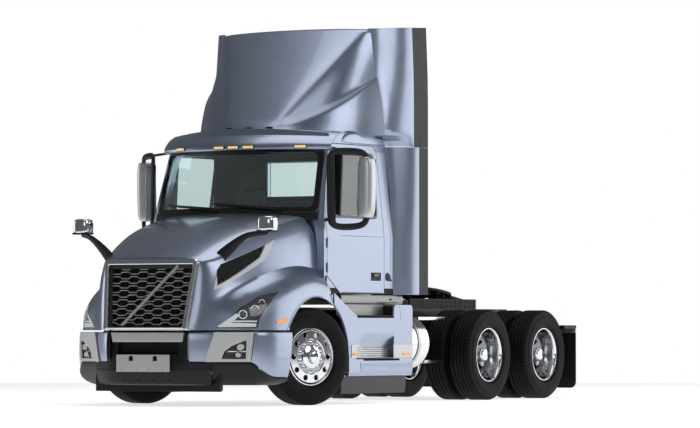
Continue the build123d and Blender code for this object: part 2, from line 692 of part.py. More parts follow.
PLATE_THICKNESS = 30
plate_bottom = FIFTH_TOP_Z - PLATE_THICKNESS
with BuildPart() as level_plate:
    with Locations((0, 0, (plate_bottom + FIFTH_TOP_Z) / 2 - FIFTH_PIVOT_Z)):
        Cylinder(FIFTH_RADIUS, PLATE_THICKNESS)
    block((-330, 330), (200, 640), (plate_bottom - FIFTH_PIVOT_Z, FIFTH_TOP_Z - FIFTH_PIVOT_Z))
    rod((0, 0, 0), (0, 0, 200), KINGPIN_BORE, mode=Mode.SUBTRACT)
    with BuildSketch(Plane.XY.offset(-100)) as throat:
        with BuildLine():
            Polyline(
                (-KINGPIN_BORE, 0),
                (KINGPIN_BORE, 0),
                (KINGPIN_BORE, 150),
                (150, 660),
                (-150, 660),
                (-KINGPIN_BORE, 150),
                close=True,
            )
        make_face()
    extrude(throat.sketch, amount=300, mode=Mode.SUBTRACT)
    for side in (-1, 1):
        for inner in (BRACKET_X[0] - 36, BRACKET_X[1] + 6):
            block(
                sorted((side * inner, side * (inner + 30))),
                (-45, 45),
                (-30, plate_bottom - FIFTH_PIVOT_Z),
            )
        rod((side * 200, 0, 0), (side * 420, 0, 0), PIVOT_RADIUS + SEAT_GAP, mode=Mode.SUBTRACT)
with BuildPart() as fifth_wheel_plate:
    with Locations(Location((0, aft(FIFTH_Y), FIFTH_PIVOT_Z), (-FIFTH_REST_TILT, 0, 0))):
        add(level_plate.part)
finish(fifth_wheel_plate.part, "fifth_wheel_plate")

# --------------------------------------------------------------------- mud flaps
FLAP_X = (600, 1190)
FLAP_THICKNESS = 10
FLAP_Y = REAR_REACH - FLAP_THICKNESS
HANGER_Z = 795
with BuildPart() as mud_flaps:
    block(FLAP_X, (aft(FLAP_Y), aft(REAR_REACH)), (SKIRT_BOTTOM, HANGER_Z + 20))
    mirror(about=Plane.YZ)
finish(mud_flaps.part, "mud_flaps")

with BuildPart() as rear_hangers:
    block((RAIL_OUTER_X, 1200), (aft(RAIL_REAR - 30), aft(RAIL_REAR)), (HANGER_Z, HANGER_Z + 40))
    block((560, 1200), (aft(RAIL_REAR), aft(FLAP_Y)), (HANGER_Z, HANGER_Z + 40))
    block(FLAP_X, (aft(FLAP_Y) - 8, aft(FLAP_Y)), (HANGER_Z - 60, HANGER_Z))
    mirror(about=Plane.YZ)
with BuildPart() as frame_cross_pieces:
    add(crossmembers.part)
    add(rear_hangers.part)
finish(frame_cross_pieces.part, "frame_cross_pieces")

with BuildPart() as tail_lamps:
    block(
        (150, 340),
        (aft(CROSSMEMBERS[-1][0]) + CROSSMEMBERS[-1][1] / 2, aft(RAIL_REAR)),
        (HANGER_Z, HANGER_Z + 110),
    )
    mirror(about=Plane.YZ)
finish(tail_lamps.part, "tail_lamps")

# ------------------------------------------------------------------------ bumper
BUMPER_Z = (215, 452, 762)
# half of the bumper's outline in plan, from the centre round to the rear end
LOWER_NOSE = ((0, -1500), (470, -1470), (760, -1330), (1030, -1130), (1150, -900), (1185, -640))
UPPER_NOSE = ((0, -1410), (470, -1400), (650, -1335), (1030, -1110), (1150, -930), (1200, -550))


HOOD_PIVOT_Y = -1400        # in notches of the bumper's rim
HOOD_PIVOT_Z = BUMPER_Z[2] - 17
HINGE_PIN = 5
HINGE_BARREL = 10
NOTCH_FLOOR = BUMPER_Z[2] - 35
HINGE_NOTCH = (275, 335)    # in the bumper's rim, either side
HINGE_KNUCKLE = (285, 313)
HINGE_EAR = (315, 325)


def nose_band(outline, z_range, wall):
    """A band of the bumper: its outline in plan pushed up, less its hollow."""
    low, high = z_range
    outer = [(x, aft(y)) for x, y in outline]
    inner = [(max(x - wall, 0), aft(y) + wall) for x, y in outline[:-1]]
    inner.append((outline[-1][0] - wall, aft(outline[-1][1])))
    half = outer + inner[::-1]
    return prism(half, Plane.XY.offset(low), high - low)


with BuildPart() as bumper:
    add(nose_band(LOWER_NOSE, BUMPER_Z[:2], 35))
    add(nose_band(UPPER_NOSE, BUMPER_Z[1:], 35))
    mirror(about=Plane.YZ)
    block((-368, 368), (aft(-1520), aft(-1340)), (535, 650), mode=Mode.SUBTRACT)
    for side in (-1, 1):
        block(
            sorted((side * 345, side * RAIL_OUTER_X)),
            (aft(-1380), rail_front_y - RADIATOR_DEPTH),
            (690, 740),
        )
        block(
            sorted((side * 345, side * RAIL_OUTER_X)),
            (rail_front_y - RADIATOR_DEPTH, rail_front_y + 120),
            (700, rail_bottom),
        )
    for side in (-1, 1):
        block(
            sorted((side * HINGE_NOTCH[0], side * HINGE_NOTCH[1])),
            (aft(-1450), aft(-1340)),
            (NOTCH_FLOOR, BUMPER_Z[2]),
            mode=Mode.SUBTRACT,
        )
        block(
            sorted((side * HINGE_EAR[0], side * HINGE_EAR[1])),
            (aft(HOOD_PIVOT_Y) - HINGE_BARREL, aft(HOOD_PIVOT_Y) + HINGE_BARREL),
            (NOTCH_FLOOR, HOOD_PIVOT_Z + HINGE_BARREL),
        )
        rod(
            (side * HINGE_KNUCKLE[0], aft(HOOD_PIVOT_Y), HOOD_PIVOT_Z),
            (side * HINGE_EAR[0], aft(HOOD_PIVOT_Y), HOOD_PIVOT_Z),
            HINGE_PIN,
        )
finish(bumper.part, "bumper")

# the satin panels round the fog lamps, seen from the front
FOG_PANEL = ((640, 455), (1026, 455), (1052, 757), (728, 757))
FOG_LAMP = ((790, 486), (1004, 486), (1010, 668), (990, 668), (880, 615), (815, 560))
FOG_PROUD = 8
FOG_BULBS = ((950, -1157, 602, 32), (930, -1169, 526, 24))
FOG_NORMAL = Vector(0.509, -0.860, 0)
fog_outline = [(x + FOG_PROUD / 2, y - FOG_PROUD) for x, y in UPPER_NOSE]
fog_skin = nose_band(fog_outline, (455, 757), 3 * FOG_PROUD) & prism(
    FOG_PANEL, section_at(aft(-900)), 700
)
with BuildPart() as fog_panels:
    add(fog_skin)
    add(prism(FOG_LAMP, section_at(aft(-900)), 700), mode=Mode.SUBTRACT)
    for x, y, z, radius in FOG_BULBS:
        face = Vector(x, aft(y), z)
        rod(face - FOG_NORMAL * 20, face + FOG_NORMAL * FOG_PROUD, radius)
    add(bumper.part, mode=Mode.SUBTRACT)
    mirror(about=Plane.YZ)
finish(fog_panels.part, "fog_panels")

with BuildPart() as air_dam:
    block((-760, 760), (aft(-1230), aft(-1200)), (150, 330))
    for side in (-1, 1):
        block(sorted((side * 345, side * 400)), (aft(-1200), aft(-1160)), (150, 700))
with BuildPart() as lower_skirts:
    add(air_dam.part)
    add(side_skirts.part)
finish(lower_skirts.part, "lower_skirts")

with BuildPart() as plate_panel:
    block((-322, 322), (aft(-1520), aft(-1500)), (350, 452))
finish(plate_panel.part, "plate_panel")

# --------------------------------------------------------------------- cab shell
COWL_Z = 2010               # foot of the windscreen
SHELF = 40                  # panel under the windscreen
SCREEN_LEAN = 18.7
SCREEN_RADIUS = 2440
SCREEN_FOOT_Y = 60          # middle of the windscreen's foot, behind the front axle
SCREEN_THICKNESS = 12
SCREEN_HALF_WIDTH = 905
SCREEN_Z = (2050, 2655)
HEADER_Z = 2690             # between the front frame and the roof
FAR = 1400                  # beyond any side of the vehicle


def cab_section(inset):
    """The cab's cross-section drawn in by a wall, pushed back through the cab."""
    eaves = CAB_EAVES_Z - inset * 0.3
    with BuildPart(mode=Mode.PRIVATE) as solid:
        with BuildSketch(section_at(aft(0))) as face:
            with BuildLine():
                Polyline(
                    (-CAB_TOP_HALF_WIDTH + inset, eaves),
                    (-CAB_HALF_WIDTH + inset, BELT_Z),
                    (-CAB_HALF_WIDTH + inset, CAB_FLOOR_Z + inset),
                    (CAB_HALF_WIDTH - inset, CAB_FLOOR_Z + inset),
                    (CAB_HALF_WIDTH - inset, BELT_Z),
                    (CAB_TOP_HALF_WIDTH - inset, eaves),
                )
                ThreePointArc(
                    (CAB_TOP_HALF_WIDTH - inset, eaves),
                    (0, ROOF_Z - inset),
                    (-CAB_TOP_HALF_WIDTH + inset, eaves),
                )
            make_face()
        extrude(face.sketch, amount=-(CAB_REAR - inset))
    return solid.part


def screen_drum(inset):
    """The leaning drum whose front is the windscreen's outer face, less an inset."""
    lean = radians(SCREEN_LEAN)
    centre = Vector(0, aft(SCREEN_FOOT_Y) + SCREEN_RADIUS, COWL_Z)
    with BuildPart(mode=Mode.PRIVATE) as drum:
        with Locations(Plane(origin=centre, z_dir=(0, sin(lean), cos(lean))).location):
            Cylinder(SCREEN_RADIUS * cos(lean) - inset, 6000)
    return drum.part


def side_prism(points, x_range):
    """A side view, its points behind the front axle and up, pushed along X."""
    shifted = [(aft(y), z) for y, z in points]
    return prism(shifted, Plane.YZ.offset(x_range[0]), x_range[1] - x_range[0])


def box_of(x_range, y_range, z_range):
    """A box kept apart from any builder."""
    with BuildPart(mode=Mode.PRIVATE) as solid:
        block(x_range, y_range, z_range)
    return solid.part


firewall_y = aft(CAB_FRONT)
firewall_back = aft(CAB_FRONT + CAB_WALL)
rear_wall_y = aft(CAB_REAR - CAB_WALL)
screen_box = box_of((-FAR, FAR), (aft(0), aft(CAB_REAR)), (COWL_Z, 3200))
body_box = box_of((-FAR, FAR), (firewall_y, aft(CAB_REAR)), (1000, COWL_Z))
cabin_top_box = box_of((-FAR, FAR), (aft(0), aft(CAB_REAR)), (COWL_Z + SHELF, 3200))
cabin_box = box_of((-FAR, FAR), (firewall_back, aft(CAB_REAR)), (1000, COWL_Z + SHELF))

with BuildPart() as cab_shell:
    add(cab_section(0))
    add(screen_drum(0) & screen_box + body_box, mode=Mode.INTERSECT)
    add(
        cab_section(CAB_WALL) & (screen_drum(CAB_WALL) & cabin_top_box + cabin_box),
        mode=Mode.SUBTRACT,
    )

SCREEN_OPENING = (
    (-SCREEN_HALF_WIDTH - 45, SCREEN_Z[0]),
    (SCREEN_HALF_WIDTH + 45, SCREEN_Z[0]),
    (SCREEN_HALF_WIDTH + 15, SCREEN_Z[1]),
    (-SCREEN_HALF_WIDTH - 15, SCREEN_Z[1]),
)
screen_hole = prism(SCREEN_OPENING, section_at(aft(-100)), -750)

DOOR_FRONT = 350
DOOR_REAR = 1535
DOOR_BOTTOM = 1166
DOOR_TOP = 2740
DOOR_BEVEL = 0.12           # the rear edge leans in, for the door's swing
# the door's outline behind the front axle, less the gap all round it
DOOR_OUTLINE = (
    (DOOR_FRONT, 1345),
    (620, DOOR_BOTTOM),
    (DOOR_REAR, DOOR_BOTTOM),
    (DOOR_REAR, 2660),
    (1480, DOOR_TOP),
    (620, DOOR_TOP),
    (560, 2690),
    (DOOR_FRONT, 1990),
)
WINDOW_OUTLINE = ((455, 1975), (1400, 1975), (1440, 2610), (1400, 2650), (690, 2650), (640, 2600))
HANDLE_Y = (1300, 1425)     # the pocket of the door's handle
HANDLE_Z = (1305, 1385)
HANDLE_DEPTH = 20
GLASS_INSET = 24            # glass, in from the door's outer face
GLASS_THICKNESS = 6


def grown(points, amount):
    """A convex outline pushed out from its middle by about this amount."""
    mid_y = sum(y for y, z in points) / len(points)
    mid_z = sum(z for y, z in points) / len(points)
    return [
        (y + amount * (1 if y > mid_y else -1), z + amount * (1 if z > mid_z else -1))
        for y, z in points
    ]


def door_plug(gap):
    """The solid that cuts the door from the cab's side, its rear edge bevelled."""
    faces = []
    for x in (CAB_HALF_WIDTH - 220, CAB_HALF_WIDTH + 20):
        inset = (CAB_HALF_WIDTH - x) * DOOR_BEVEL
        points = [
            (aft(y - inset if y > 1400 else y), z) for y, z in grown(DOOR_OUTLINE, gap)
        ]
        with BuildSketch(Plane.YZ.offset(x)) as face:
            with BuildLine():
                Polyline(*points, close=True)
            make_face()
        faces.append(face.sketch.face())
    with BuildPart(mode=Mode.PRIVATE) as plug:
        loft(faces, ruled=True)
    return plug.part


DOOR_PIVOT_X = CAB_HALF_WIDTH + 5
DOOR_PIVOT_Y = DOOR_FRONT - 5
DOOR_HINGES = ((1400, 1460), (1660, 1720))
DOOR_KNUCKLE = 9
DOOR_PIN = 4
EAR_LENGTH = 20


def hinge_post(low, high, radius):
    """A round post about the left door's hinge axis."""
    with BuildPart(mode=Mode.PRIVATE) as post:
        rod((DOOR_PIVOT_X, aft(DOOR_PIVOT_Y), low), (DOOR_PIVOT_X, aft(DOOR_PIVOT_Y), high), radius)
    return post.part


door_hole = door_plug(RUNNING_GAP)
REAR_WINDOW = (-470, 470, 2150, 2600)
with BuildPart() as cab_body:
    add(cab_shell.part)
    add(screen_hole, mode=Mode.SUBTRACT)
    add(door_hole, mode=Mode.SUBTRACT)
    add(mirror(door_hole, about=Plane.YZ, mode=Mode.PRIVATE), mode=Mode.SUBTRACT)
    block(REAR_WINDOW[:2], (rear_wall_y - 10, aft(CAB_REAR) + 10), REAR_WINDOW[2:], mode=Mode.SUBTRACT)
    for low, high in DOOR_HINGES:
        relief = hinge_post(low - 1, high + 1, DOOR_KNUCKLE + RUNNING_GAP)
        pin = hinge_post(low - EAR_LENGTH, high + EAR_LENGTH, DOOR_PIN)
        lower_ear = hinge_post(low - EAR_LENGTH, low - 1, DOOR_KNUCKLE)
        upper_ear = hinge_post(high + 1, high + EAR_LENGTH, DOOR_KNUCKLE)
        for form, mode in (
            (relief, Mode.SUBTRACT),
            (pin, Mode.ADD),
            (lower_ear, Mode.ADD),
            (upper_ear, Mode.ADD),
        ):
            add(form, mode=mode)
            add(mirror(form, about=Plane.YZ, mode=Mode.PRIVATE), mode=mode)

floor_top = CAB_FLOOR_Z + CAB_WALL
# each panel of the cab and the box that it fills of the whole body
CAB_PANELS = (
    ("cab_floor", (-FAR, FAR), (0, 2000), (1000, floor_top)),
    ("cab_rear_wall", (-FAR, FAR), (CAB_REAR - CAB_WALL, 2000), (floor_top, HEADER_Z)),
    ("cab_roof", (-FAR, FAR), (0, 2000), (HEADER_Z, 3200)),
    ("cab_front", (-FAR, FAR), (0, 700), (floor_top, HEADER_Z)),
    ("cab_sides", (-FAR, FAR), (700, CAB_REAR - CAB_WALL), (floor_top, HEADER_Z)),
)
for name, x_range, y_range, z_range in CAB_PANELS:
    with BuildPart() as panel:
        add(cab_body.part)
        add(
            box_of(x_range, (aft(y_range[0]), aft(y_range[1])), z_range),
            mode=Mode.INTERSECT,
        )
    finish(panel.part, name)

with BuildPart() as windscreen:
    add(screen_drum(10))
    add(screen_drum(10 + SCREEN_THICKNESS), mode=Mode.SUBTRACT)
    add(screen_hole, mode=Mode.INTERSECT)

with BuildPart() as rear_window:
    block(
        REAR_WINDOW[:2],
        (rear_wall_y + 25, rear_wall_y + 25 + GLASS_THICKNESS),
        REAR_WINDOW[2:],
    )
with BuildPart() as cab_glass:
    add(windscreen.part)
    add(rear_window.part)
finish(cab_glass.part, "cab_glass")

# ------------------------------------------------------------------------- doors
window_plug = side_prism(WINDOW_OUTLINE, (CAB_TOP_HALF_WIDTH - 200, CAB_HALF_WIDTH + 50))
side_slab = (cab_section(GLASS_INSET) - cab_section(GLASS_INSET + GLASS_THICKNESS)) & window_plug
MIRROR_X = (1300, 1445)
MIRROR_Y = (560, 760)
MIRROR_Z = (1946, 2593)
MIRROR_ARM_RADIUS = 22
MIRROR_BAR = (1105, 390)    # x and y of the frame's upright bar
MIRROR_ARM_Z = (1905, 2625)
MIRROR_HEAD_ARM = (1372, 660)
MIRROR_FOOT_Z = 2695        # upper foot, on the door's top rail
cab_solid = cab_section(0) & box_of((-FAR, FAR), (aft(0), aft(CAB_REAR)), (1000, 3200))
with BuildPart() as door_left:
    add(cab_shell.part & door_plug(0))
    add(window_plug, mode=Mode.SUBTRACT)
    for low, high in DOOR_HINGES:
        ear_relief = DOOR_KNUCKLE + RUNNING_GAP
        add(hinge_post(low - EAR_LENGTH - RUNNING_GAP, low, ear_relief), mode=Mode.SUBTRACT)
        add(hinge_post(high, high + EAR_LENGTH + RUNNING_GAP, ear_relief), mode=Mode.SUBTRACT)
        add(hinge_post(low, high, DOOR_KNUCKLE))
        add(hinge_post(low, high, DOOR_PIN + SEAT_GAP), mode=Mode.SUBTRACT)
    block(
        (CAB_HALF_WIDTH - HANDLE_DEPTH, CAB_HALF_WIDTH + 20),
        (aft(HANDLE_Y[0]), aft(HANDLE_Y[1])),
        HANDLE_Z,
        mode=Mode.SUBTRACT,
    )
    block(
        (CAB_HALF_WIDTH - HANDLE_DEPTH, CAB_HALF_WIDTH + 6),
        (aft(HANDLE_Y[0] + 25), aft(HANDLE_Y[1] - 8)),
        (HANDLE_Z[1] - 30, HANDLE_Z[1] - 8),
    )
with BuildPart() as glass_left:
    add(side_slab)
with BuildPart() as mirror_left:
    block(MIRROR_X, (aft(MIRROR_Y[0]), aft(MIRROR_Y[1])), MIRROR_Z)
    fillet(mirror_left.edges().filter_by(Axis.Z), 40)
    bar_x, bar_y = MIRROR_BAR
    head_x, head_y = MIRROR_HEAD_ARM
    low, high = MIRROR_ARM_Z
    for z in MIRROR_ARM_Z:
        rod((bar_x, aft(bar_y), z), (head_x, aft(head_y), z), MIRROR_ARM_RADIUS)
        rod((head_x, aft(head_y), z), (head_x, aft(head_y), (low + high) / 2), MIRROR_ARM_RADIUS)
    rod(
        (bar_x, aft(bar_y), low - MIRROR_ARM_RADIUS),
        (bar_x, aft(bar_y), high + MIRROR_ARM_RADIUS),
        MIRROR_ARM_RADIUS,
    )
    rod((bar_x - 4, aft(bar_y), low + 30), (1000, aft(bar_y + 60), low + 30), MIRROR_ARM_RADIUS - 4)
    rod((1200, aft(482), high), (950, aft(660), MIRROR_FOOT_Z), MIRROR_ARM_RADIUS - 6)
    add(cab_solid, mode=Mode.SUBTRACT)
DOOR_PIECES = (("door", door_left), ("door_glass", glass_left), ("mirror", mirror_left))
for name, piece in DOOR_PIECES:
    finish(piece.part, f"{name}_left")
    with BuildPart() as mirrored:
        add(mirror(piece.part, about=Plane.YZ, mode=Mode.PRIVATE))
    finish(mirrored.part, f"{name}_right")

# -------------------------------------------------------------------- cab inside
SEAT_X_MID = 560
with BuildPart() as seats:
    for side in (-1, 1):
        x = side * SEAT_X_MID
        block((x - 130, x + 130), (aft(1000), aft(1260)), (floor_top, 1560))
        block((x - 250, x + 250), (aft(880), aft(1380)), (1560, 1690))
        block((x - 240, x + 240), (aft(1380), aft(1500)), (1560, 2300))
        block((x - 130, x + 130), (aft(1390), aft(1480)), (2300, 2470))
finish(seats.part, "seats")

with BuildPart() as dashboard:
    add(
        side_prism(
            (
                (CAB_FRONT + CAB_WALL, 1500),
                (640, 1500),
                (720, 1900),
                (700, 2030),
                (CAB_FRONT + CAB_WALL, 2030),
            ),
            (-925, 925),
        )
    )
finish(dashboard.part, "dashboard")

WHEEL_CENTRE = (SEAT_X_MID, 860, 1930)
WHEEL_TILT = 35
with BuildPart() as steering_wheel:
    wheel_plane = Plane(
        origin=(WHEEL_CENTRE[0], aft(WHEEL_CENTRE[1]), WHEEL_CENTRE[2]),
        z_dir=(0, sin(radians(WHEEL_TILT)), cos(radians(WHEEL_TILT))),
    )
    with Locations(wheel_plane.location):
        Torus(215, 16)
        Cylinder(60, 40)
        Box(400, 30, 16)
    add(
        prism(
            ((-35, -35), (35, -35), (35, 35), (-35, 35)),
            wheel_plane,
            -300,
        )
    )
    add(dashboard.part, mode=Mode.SUBTRACT)
finish(steering_wheel.part, "steering_wheel")

# ------------------------------------------------------- visor and roof fairing
VISOR_HALF_WIDTH = 1043
VISOR_CLEAR_X = 960         # the doors' upper front corners swing past here
VISOR_CLEAR_Y = 540
with BuildPart() as visor:
    faces = []
    # height, y of the middle and of the ends of the visor's face, and its depth
    for z, middle, end, depth in ((2690, 225, 480, 70), (2740, 235, 490, 170), (2870, 350, 590, 120)):
        with BuildSketch(Plane.XY.offset(z)) as face:
            with BuildLine():
                ThreePointArc((-VISOR_HALF_WIDTH, aft(end)), (0, aft(middle)), (VISOR_HALF_WIDTH, aft(end)))
                Line((VISOR_HALF_WIDTH, aft(end)), (VISOR_HALF_WIDTH, aft(end + depth)))
                ThreePointArc(
                    (VISOR_HALF_WIDTH, aft(end + depth)),
                    (0, aft(middle + depth)),
                    (-VISOR_HALF_WIDTH, aft(end + depth)),
                )
                Line((-VISOR_HALF_WIDTH, aft(end + depth)), (-VISOR_HALF_WIDTH, aft(end)))
            make_face()
        faces.append(face.sketch.face())
    loft(faces, ruled=True)
    add(cab_section(0) & screen_drum(0), mode=Mode.SUBTRACT)
    for side in (-1, 1):
        block(
            sorted((side * VISOR_CLEAR_X, side * FAR)),
            (aft(VISOR_CLEAR_Y), aft(FAR)),
            (HEADER_Z - 10, DOOR_TOP + 3 * RUNNING_GAP),
            mode=Mode.SUBTRACT,
        )
finish(visor.part, "visor")

FAIRING_SEAM_Y = 1500
FAIRING_CREST_Z = 4030
ROOF_SEAT_Z = 2850
# height, then half-outline points of the deflector at that height
DEFLECTOR = (
    (ROOF_SEAT_Z, ((0, 500), (420, 560), (800, 800), (1000, 1090), (1110, FAIRING_SEAM_Y))),
    (3040, ((0, 600), (420, 650), (790, 860), (980, 1100), (1090, FAIRING_SEAM_Y))),
    (3470, ((0, 960), (560, 1010), (800, 1150), (930, 1300), (1030, FAIRING_SEAM_Y))),
    (3960, ((0, 1330), (700, 1380), (880, 1440), (925, 1480), (950, FAIRING_SEAM_Y))),
    (FAIRING_CREST_Z, ((0, 1390), (700, 1430), (860, 1470), (905, 1490), (925, FAIRING_SEAM_Y))),
)


def deflector_form(inset):
    """The roof deflector's outer form, drawn in by its wall."""
    levels = []
    for index, (z, half) in enumerate(DEFLECTOR):
        lift = -inset if index == len(DEFLECTOR) - 1 else 0
        drop = -10 if (index == 0 and inset) else 0
        points = [(x - inset * (x > 0), aft(min(y + inset, FAIRING_SEAM_Y - 1))) for x, y in half]
        if not inset:
            points[-1] = (half[-1][0], aft(FAIRING_SEAM_Y))
        if inset:
            points[-1] = (points[-1][0], aft(FAIRING_SEAM_Y + 10))
        outline = points + [(-x, y) for x, y in points[:0:-1]]
        levels.append((z + lift + drop, outline))
    return stack(levels)


with BuildPart() as roof_fairing:
    add(deflector_form(0))
    add(deflector_form(SHELL), mode=Mode.SUBTRACT)
    block((-925, 925), (aft(FAIRING_SEAM_Y), aft(1930)), (FAIRING_CREST_Z - SHELL, FAIRING_CREST_Z))
    add(cab_section(0), mode=Mode.SUBTRACT)
    add(visor.part, mode=Mode.SUBTRACT)
finish(roof_fairing.part, "roof_fairing")

# height, then x and y of the extender's front edge and of its rear edge
EXTENDER = (
    (1158, (1082, 1745), (1200, 2250)),
    (2700, (1082, 1745), (1215, 2250)),
    (2760, (1082, 1600), (1215, 2262)),
    (2900, (1105, FAIRING_SEAM_Y), (1215, 2262)),
    (FAIRING_CREST_Z, (928, FAIRING_SEAM_Y), (1190, 2262)),
)
EXTENDER_WALL = 35
EXTENDER_BREAK_Z = 2750     # the lower panels end and the upper ones start
RUBBER_Y = (2060, 1945)     # front of the rubber edge, below and above the break
# share of the way from front to rear, and share of the flare reached there
EXTENDER_FLARE = ((0.3, 0.62), (0.6, 0.97))
with BuildPart() as extender_form:
    levels = []
    for z, front, rear in EXTENDER:
        outer = [(front[0], aft(front[1]))]
        for way, flare in EXTENDER_FLARE:
            outer.append(
                (
                    front[0] + flare * (rear[0] - front[0]),
                    aft(front[1] + way * (rear[1] - front[1])),
                )
            )
        outer.append((rear[0], aft(rear[1])))
        levels.append(
            (
                z,
                outer + [(x - EXTENDER_WALL, y) for x, y in outer[::-1]],
            )
        )
    add(stack(levels))
    add(cab_section(-0.5), mode=Mode.SUBTRACT)
    add(roof_fairing.part, mode=Mode.SUBTRACT)
edge_boxes = (
    box_of((0, FAR), (aft(RUBBER_Y[0]), aft(2400)), (1000, EXTENDER_BREAK_Z))
    + box_of((0, FAR), (aft(RUBBER_Y[1]), aft(2400)), (EXTENDER_BREAK_Z, 4200))
)
with BuildPart() as side_extenders:
    add(extender_form.part)
    add(edge_boxes, mode=Mode.SUBTRACT)
    mirror(about=Plane.YZ)
finish(side_extenders.part, "side_extenders")
with BuildPart() as extender_edges:
    add(extender_form.part)
    add(edge_boxes, mode=Mode.INTERSECT)
    mirror(about=Plane.YZ)
finish(extender_edges.part, "extender_edges")

# -------------------------------------------------------------------------- hood
HOOD_REAR = 285
HOOD_BOTTOM = 776
HOOD_FRONT = -1500
ARCH_RADIUS = 625
ARCH_Y = -30
ARCH_Z = 500
LINER = 15
# y behind the front axle, then half-section points: centre, shoulder, flank, foot
BONNET = (
    (HOOD_FRONT, ((0, 1440), (520, 1420), (590, 1200), (600, HOOD_BOTTOM))),
    (-1300, ((0, 1545), (600, 1500), (680, 1200), (700, HOOD_BOTTOM))),
    (-1100, ((0, 1640), (690, 1560), (760, 1300), (800, HOOD_BOTTOM))),
    (-500, ((0, 1880), (770, 1815), (870, 1500), (960, HOOD_BOTTOM))),
    (0, ((0, 1995), (860, 1950), (960, 1600), (1020, HOOD_BOTTOM))),
    (HOOD_REAR, ((0, 2035), (940, 1985), (1010, 1700), (1060, HOOD_BOTTOM))),
)
# y behind the front axle, then half-section points: ridge, brow, side, foot
FENDER = (
    (-1400, ((500, 860), (560, 850), (600, 820), (600, HOOD_BOTTOM))),
    (-1250, ((600, 960), (740, 930), (790, 860), (800, HOOD_BOTTOM))),
    (-1030, ((700, 1090), (940, 1050), (1020, 960), (1040, HOOD_BOTTOM))),
    (-800, ((800, 1220), (1040, 1180), (1130, 1080), (1150, HOOD_BOTTOM))),
    (-500, ((850, 1340), (1080, 1300), (1170, 1200), (1192, HOOD_BOTTOM))),
    (0, ((900, 1400), (1100, 1365), (1180, 1270), (1200, HOOD_BOTTOM))),
    (HOOD_REAR, ((900, 1385), (1080, 1345), (1160, 1250), (1180, HOOD_BOTTOM))),
)


def ribbed(ribs, inset, inner_x=None):
    """A ruled loft along the vehicle through closed sections, less a wall.

    Without inner_x the sections are mirrored about the centre. With it they
    are closed by an upright edge there.
    """
    faces = []
    for index, (y, half) in enumerate(ribs):
        shift = 0
        if inset and index == 0:
            shift = inset
        if inset and index == len(ribs) - 1:
            shift = 20
        points = [(x - inset * (x > 0), z - inset * (z > HOOD_BOTTOM)) for x, z in half]
        if inset:
            points[-1] = (points[-1][0], HOOD_BOTTOM - 20)
        if inner_x is None:
            outline = points + [(-x, z) for x, z in points[:0:-1]]
        else:
            outline = points + [(inner_x, points[-1][1]), (inner_x, points[0][1])]
        with BuildSketch(section_at(aft(y + shift))) as face:
            with BuildLine():
                Polyline(*outline, close=True)
            make_face()
        faces.append(face.sketch.face())
    with BuildPart(mode=Mode.PRIVATE) as solid:
        loft(faces, ruled=True)
    return solid.part


fender_form = ribbed(FENDER, 0, inner_x=450)
fender_void = ribbed(FENDER, SHELL, inner_x=440)
bonnet_form = ribbed(BONNET, 0)
bonnet_void = ribbed(BONNET, SHELL)
with BuildPart() as arch_bore:
    rod((540, aft(ARCH_Y), ARCH_Z), (FAR, aft(ARCH_Y), ARCH_Z), ARCH_RADIUS)
with BuildPart() as arch_liner:
    rod((600, aft(ARCH_Y), ARCH_Z), (1190, aft(ARCH_Y), ARCH_Z), ARCH_RADIUS + LINER)

GRILLE_FOOT_Y = -1451
GRILLE_LEAN = 10.2
GRILLE_HEIGHT = 728
GRILLE_DEPTH = 45
GRILLE_PROUD = 20
grille_plane = Plane(
    origin=(0, aft(GRILLE_FOOT_Y), HOOD_BOTTOM),
    x_dir=(1, 0, 0),
    z_dir=(0, -cos(radians(GRILLE_LEAN)), sin(radians(GRILLE_LEAN))),
)
GRILLE_OUTER = ((-501, 0), (501, 0), (561, GRILLE_HEIGHT), (-561, GRILLE_HEIGHT))
GRILLE_INNER = ((-430, 34), (430, 34), (478, GRILLE_HEIGHT - 50), (-478, GRILLE_HEIGHT - 50))
in_front = prism(
    ((-FAR, -400), (FAR, -400), (FAR, 1500), (-FAR, 1500)), grille_plane.offset(-GRILLE_PROUD), 600
)
grille_hole = prism(GRILLE_OUTER, grille_plane.offset(-400), 600)
LAMP_SIDE = (
    (-1420, HOOD_BOTTOM),
    (-1330, 880),
    (-1090, 1060),
    (-900, 1140),
    (-640, 1170),
    (-790, 1040),
    (-890, 920),
    (-960, HOOD_BOTTOM),
)
lamp_plug = side_prism(LAMP_SIDE, (660, FAR))
VENT_SIDE = ((-1222, 1226), (-633, 1523), (-515, 1645), (-1169, 1428))
vent_plug = side_prism(VENT_SIDE, (600, 1000))

cowl_clearance = box_of((-FAR, FAR), (aft(0), aft(CAB_REAR)), (COWL_Z - 2 * RUNNING_GAP, 3200))

with BuildPart() as hood_outer:
    add(bonnet_form)
    add(fender_form)
    add(mirror(fender_form, about=Plane.YZ, mode=Mode.PRIVATE))
    add(in_front, mode=Mode.SUBTRACT)
with BuildPart() as hood_shell:
    add(hood_outer.part)
    add(bonnet_void, mode=Mode.SUBTRACT)
    add(fender_void, mode=Mode.SUBTRACT)
    add(mirror(fender_void, about=Plane.YZ, mode=Mode.PRIVATE), mode=Mode.SUBTRACT)
    add(arch_liner.part & hood_outer.part)
    add(mirror(arch_liner.part & hood_outer.part, about=Plane.YZ, mode=Mode.PRIVATE))
    add(arch_bore.part, mode=Mode.SUBTRACT)
    add(mirror(arch_bore.part, about=Plane.YZ, mode=Mode.PRIVATE), mode=Mode.SUBTRACT)
with BuildPart() as headlamps:
    add(hood_outer.part & lamp_plug)
    mirror(about=Plane.YZ)
finish(headlamps.part, "headlamps")
with BuildPart() as hood_vents:
    add(hood_shell.part & vent_plug)
    mirror(about=Plane.YZ)
finish(hood_vents.part, "hood_vents")
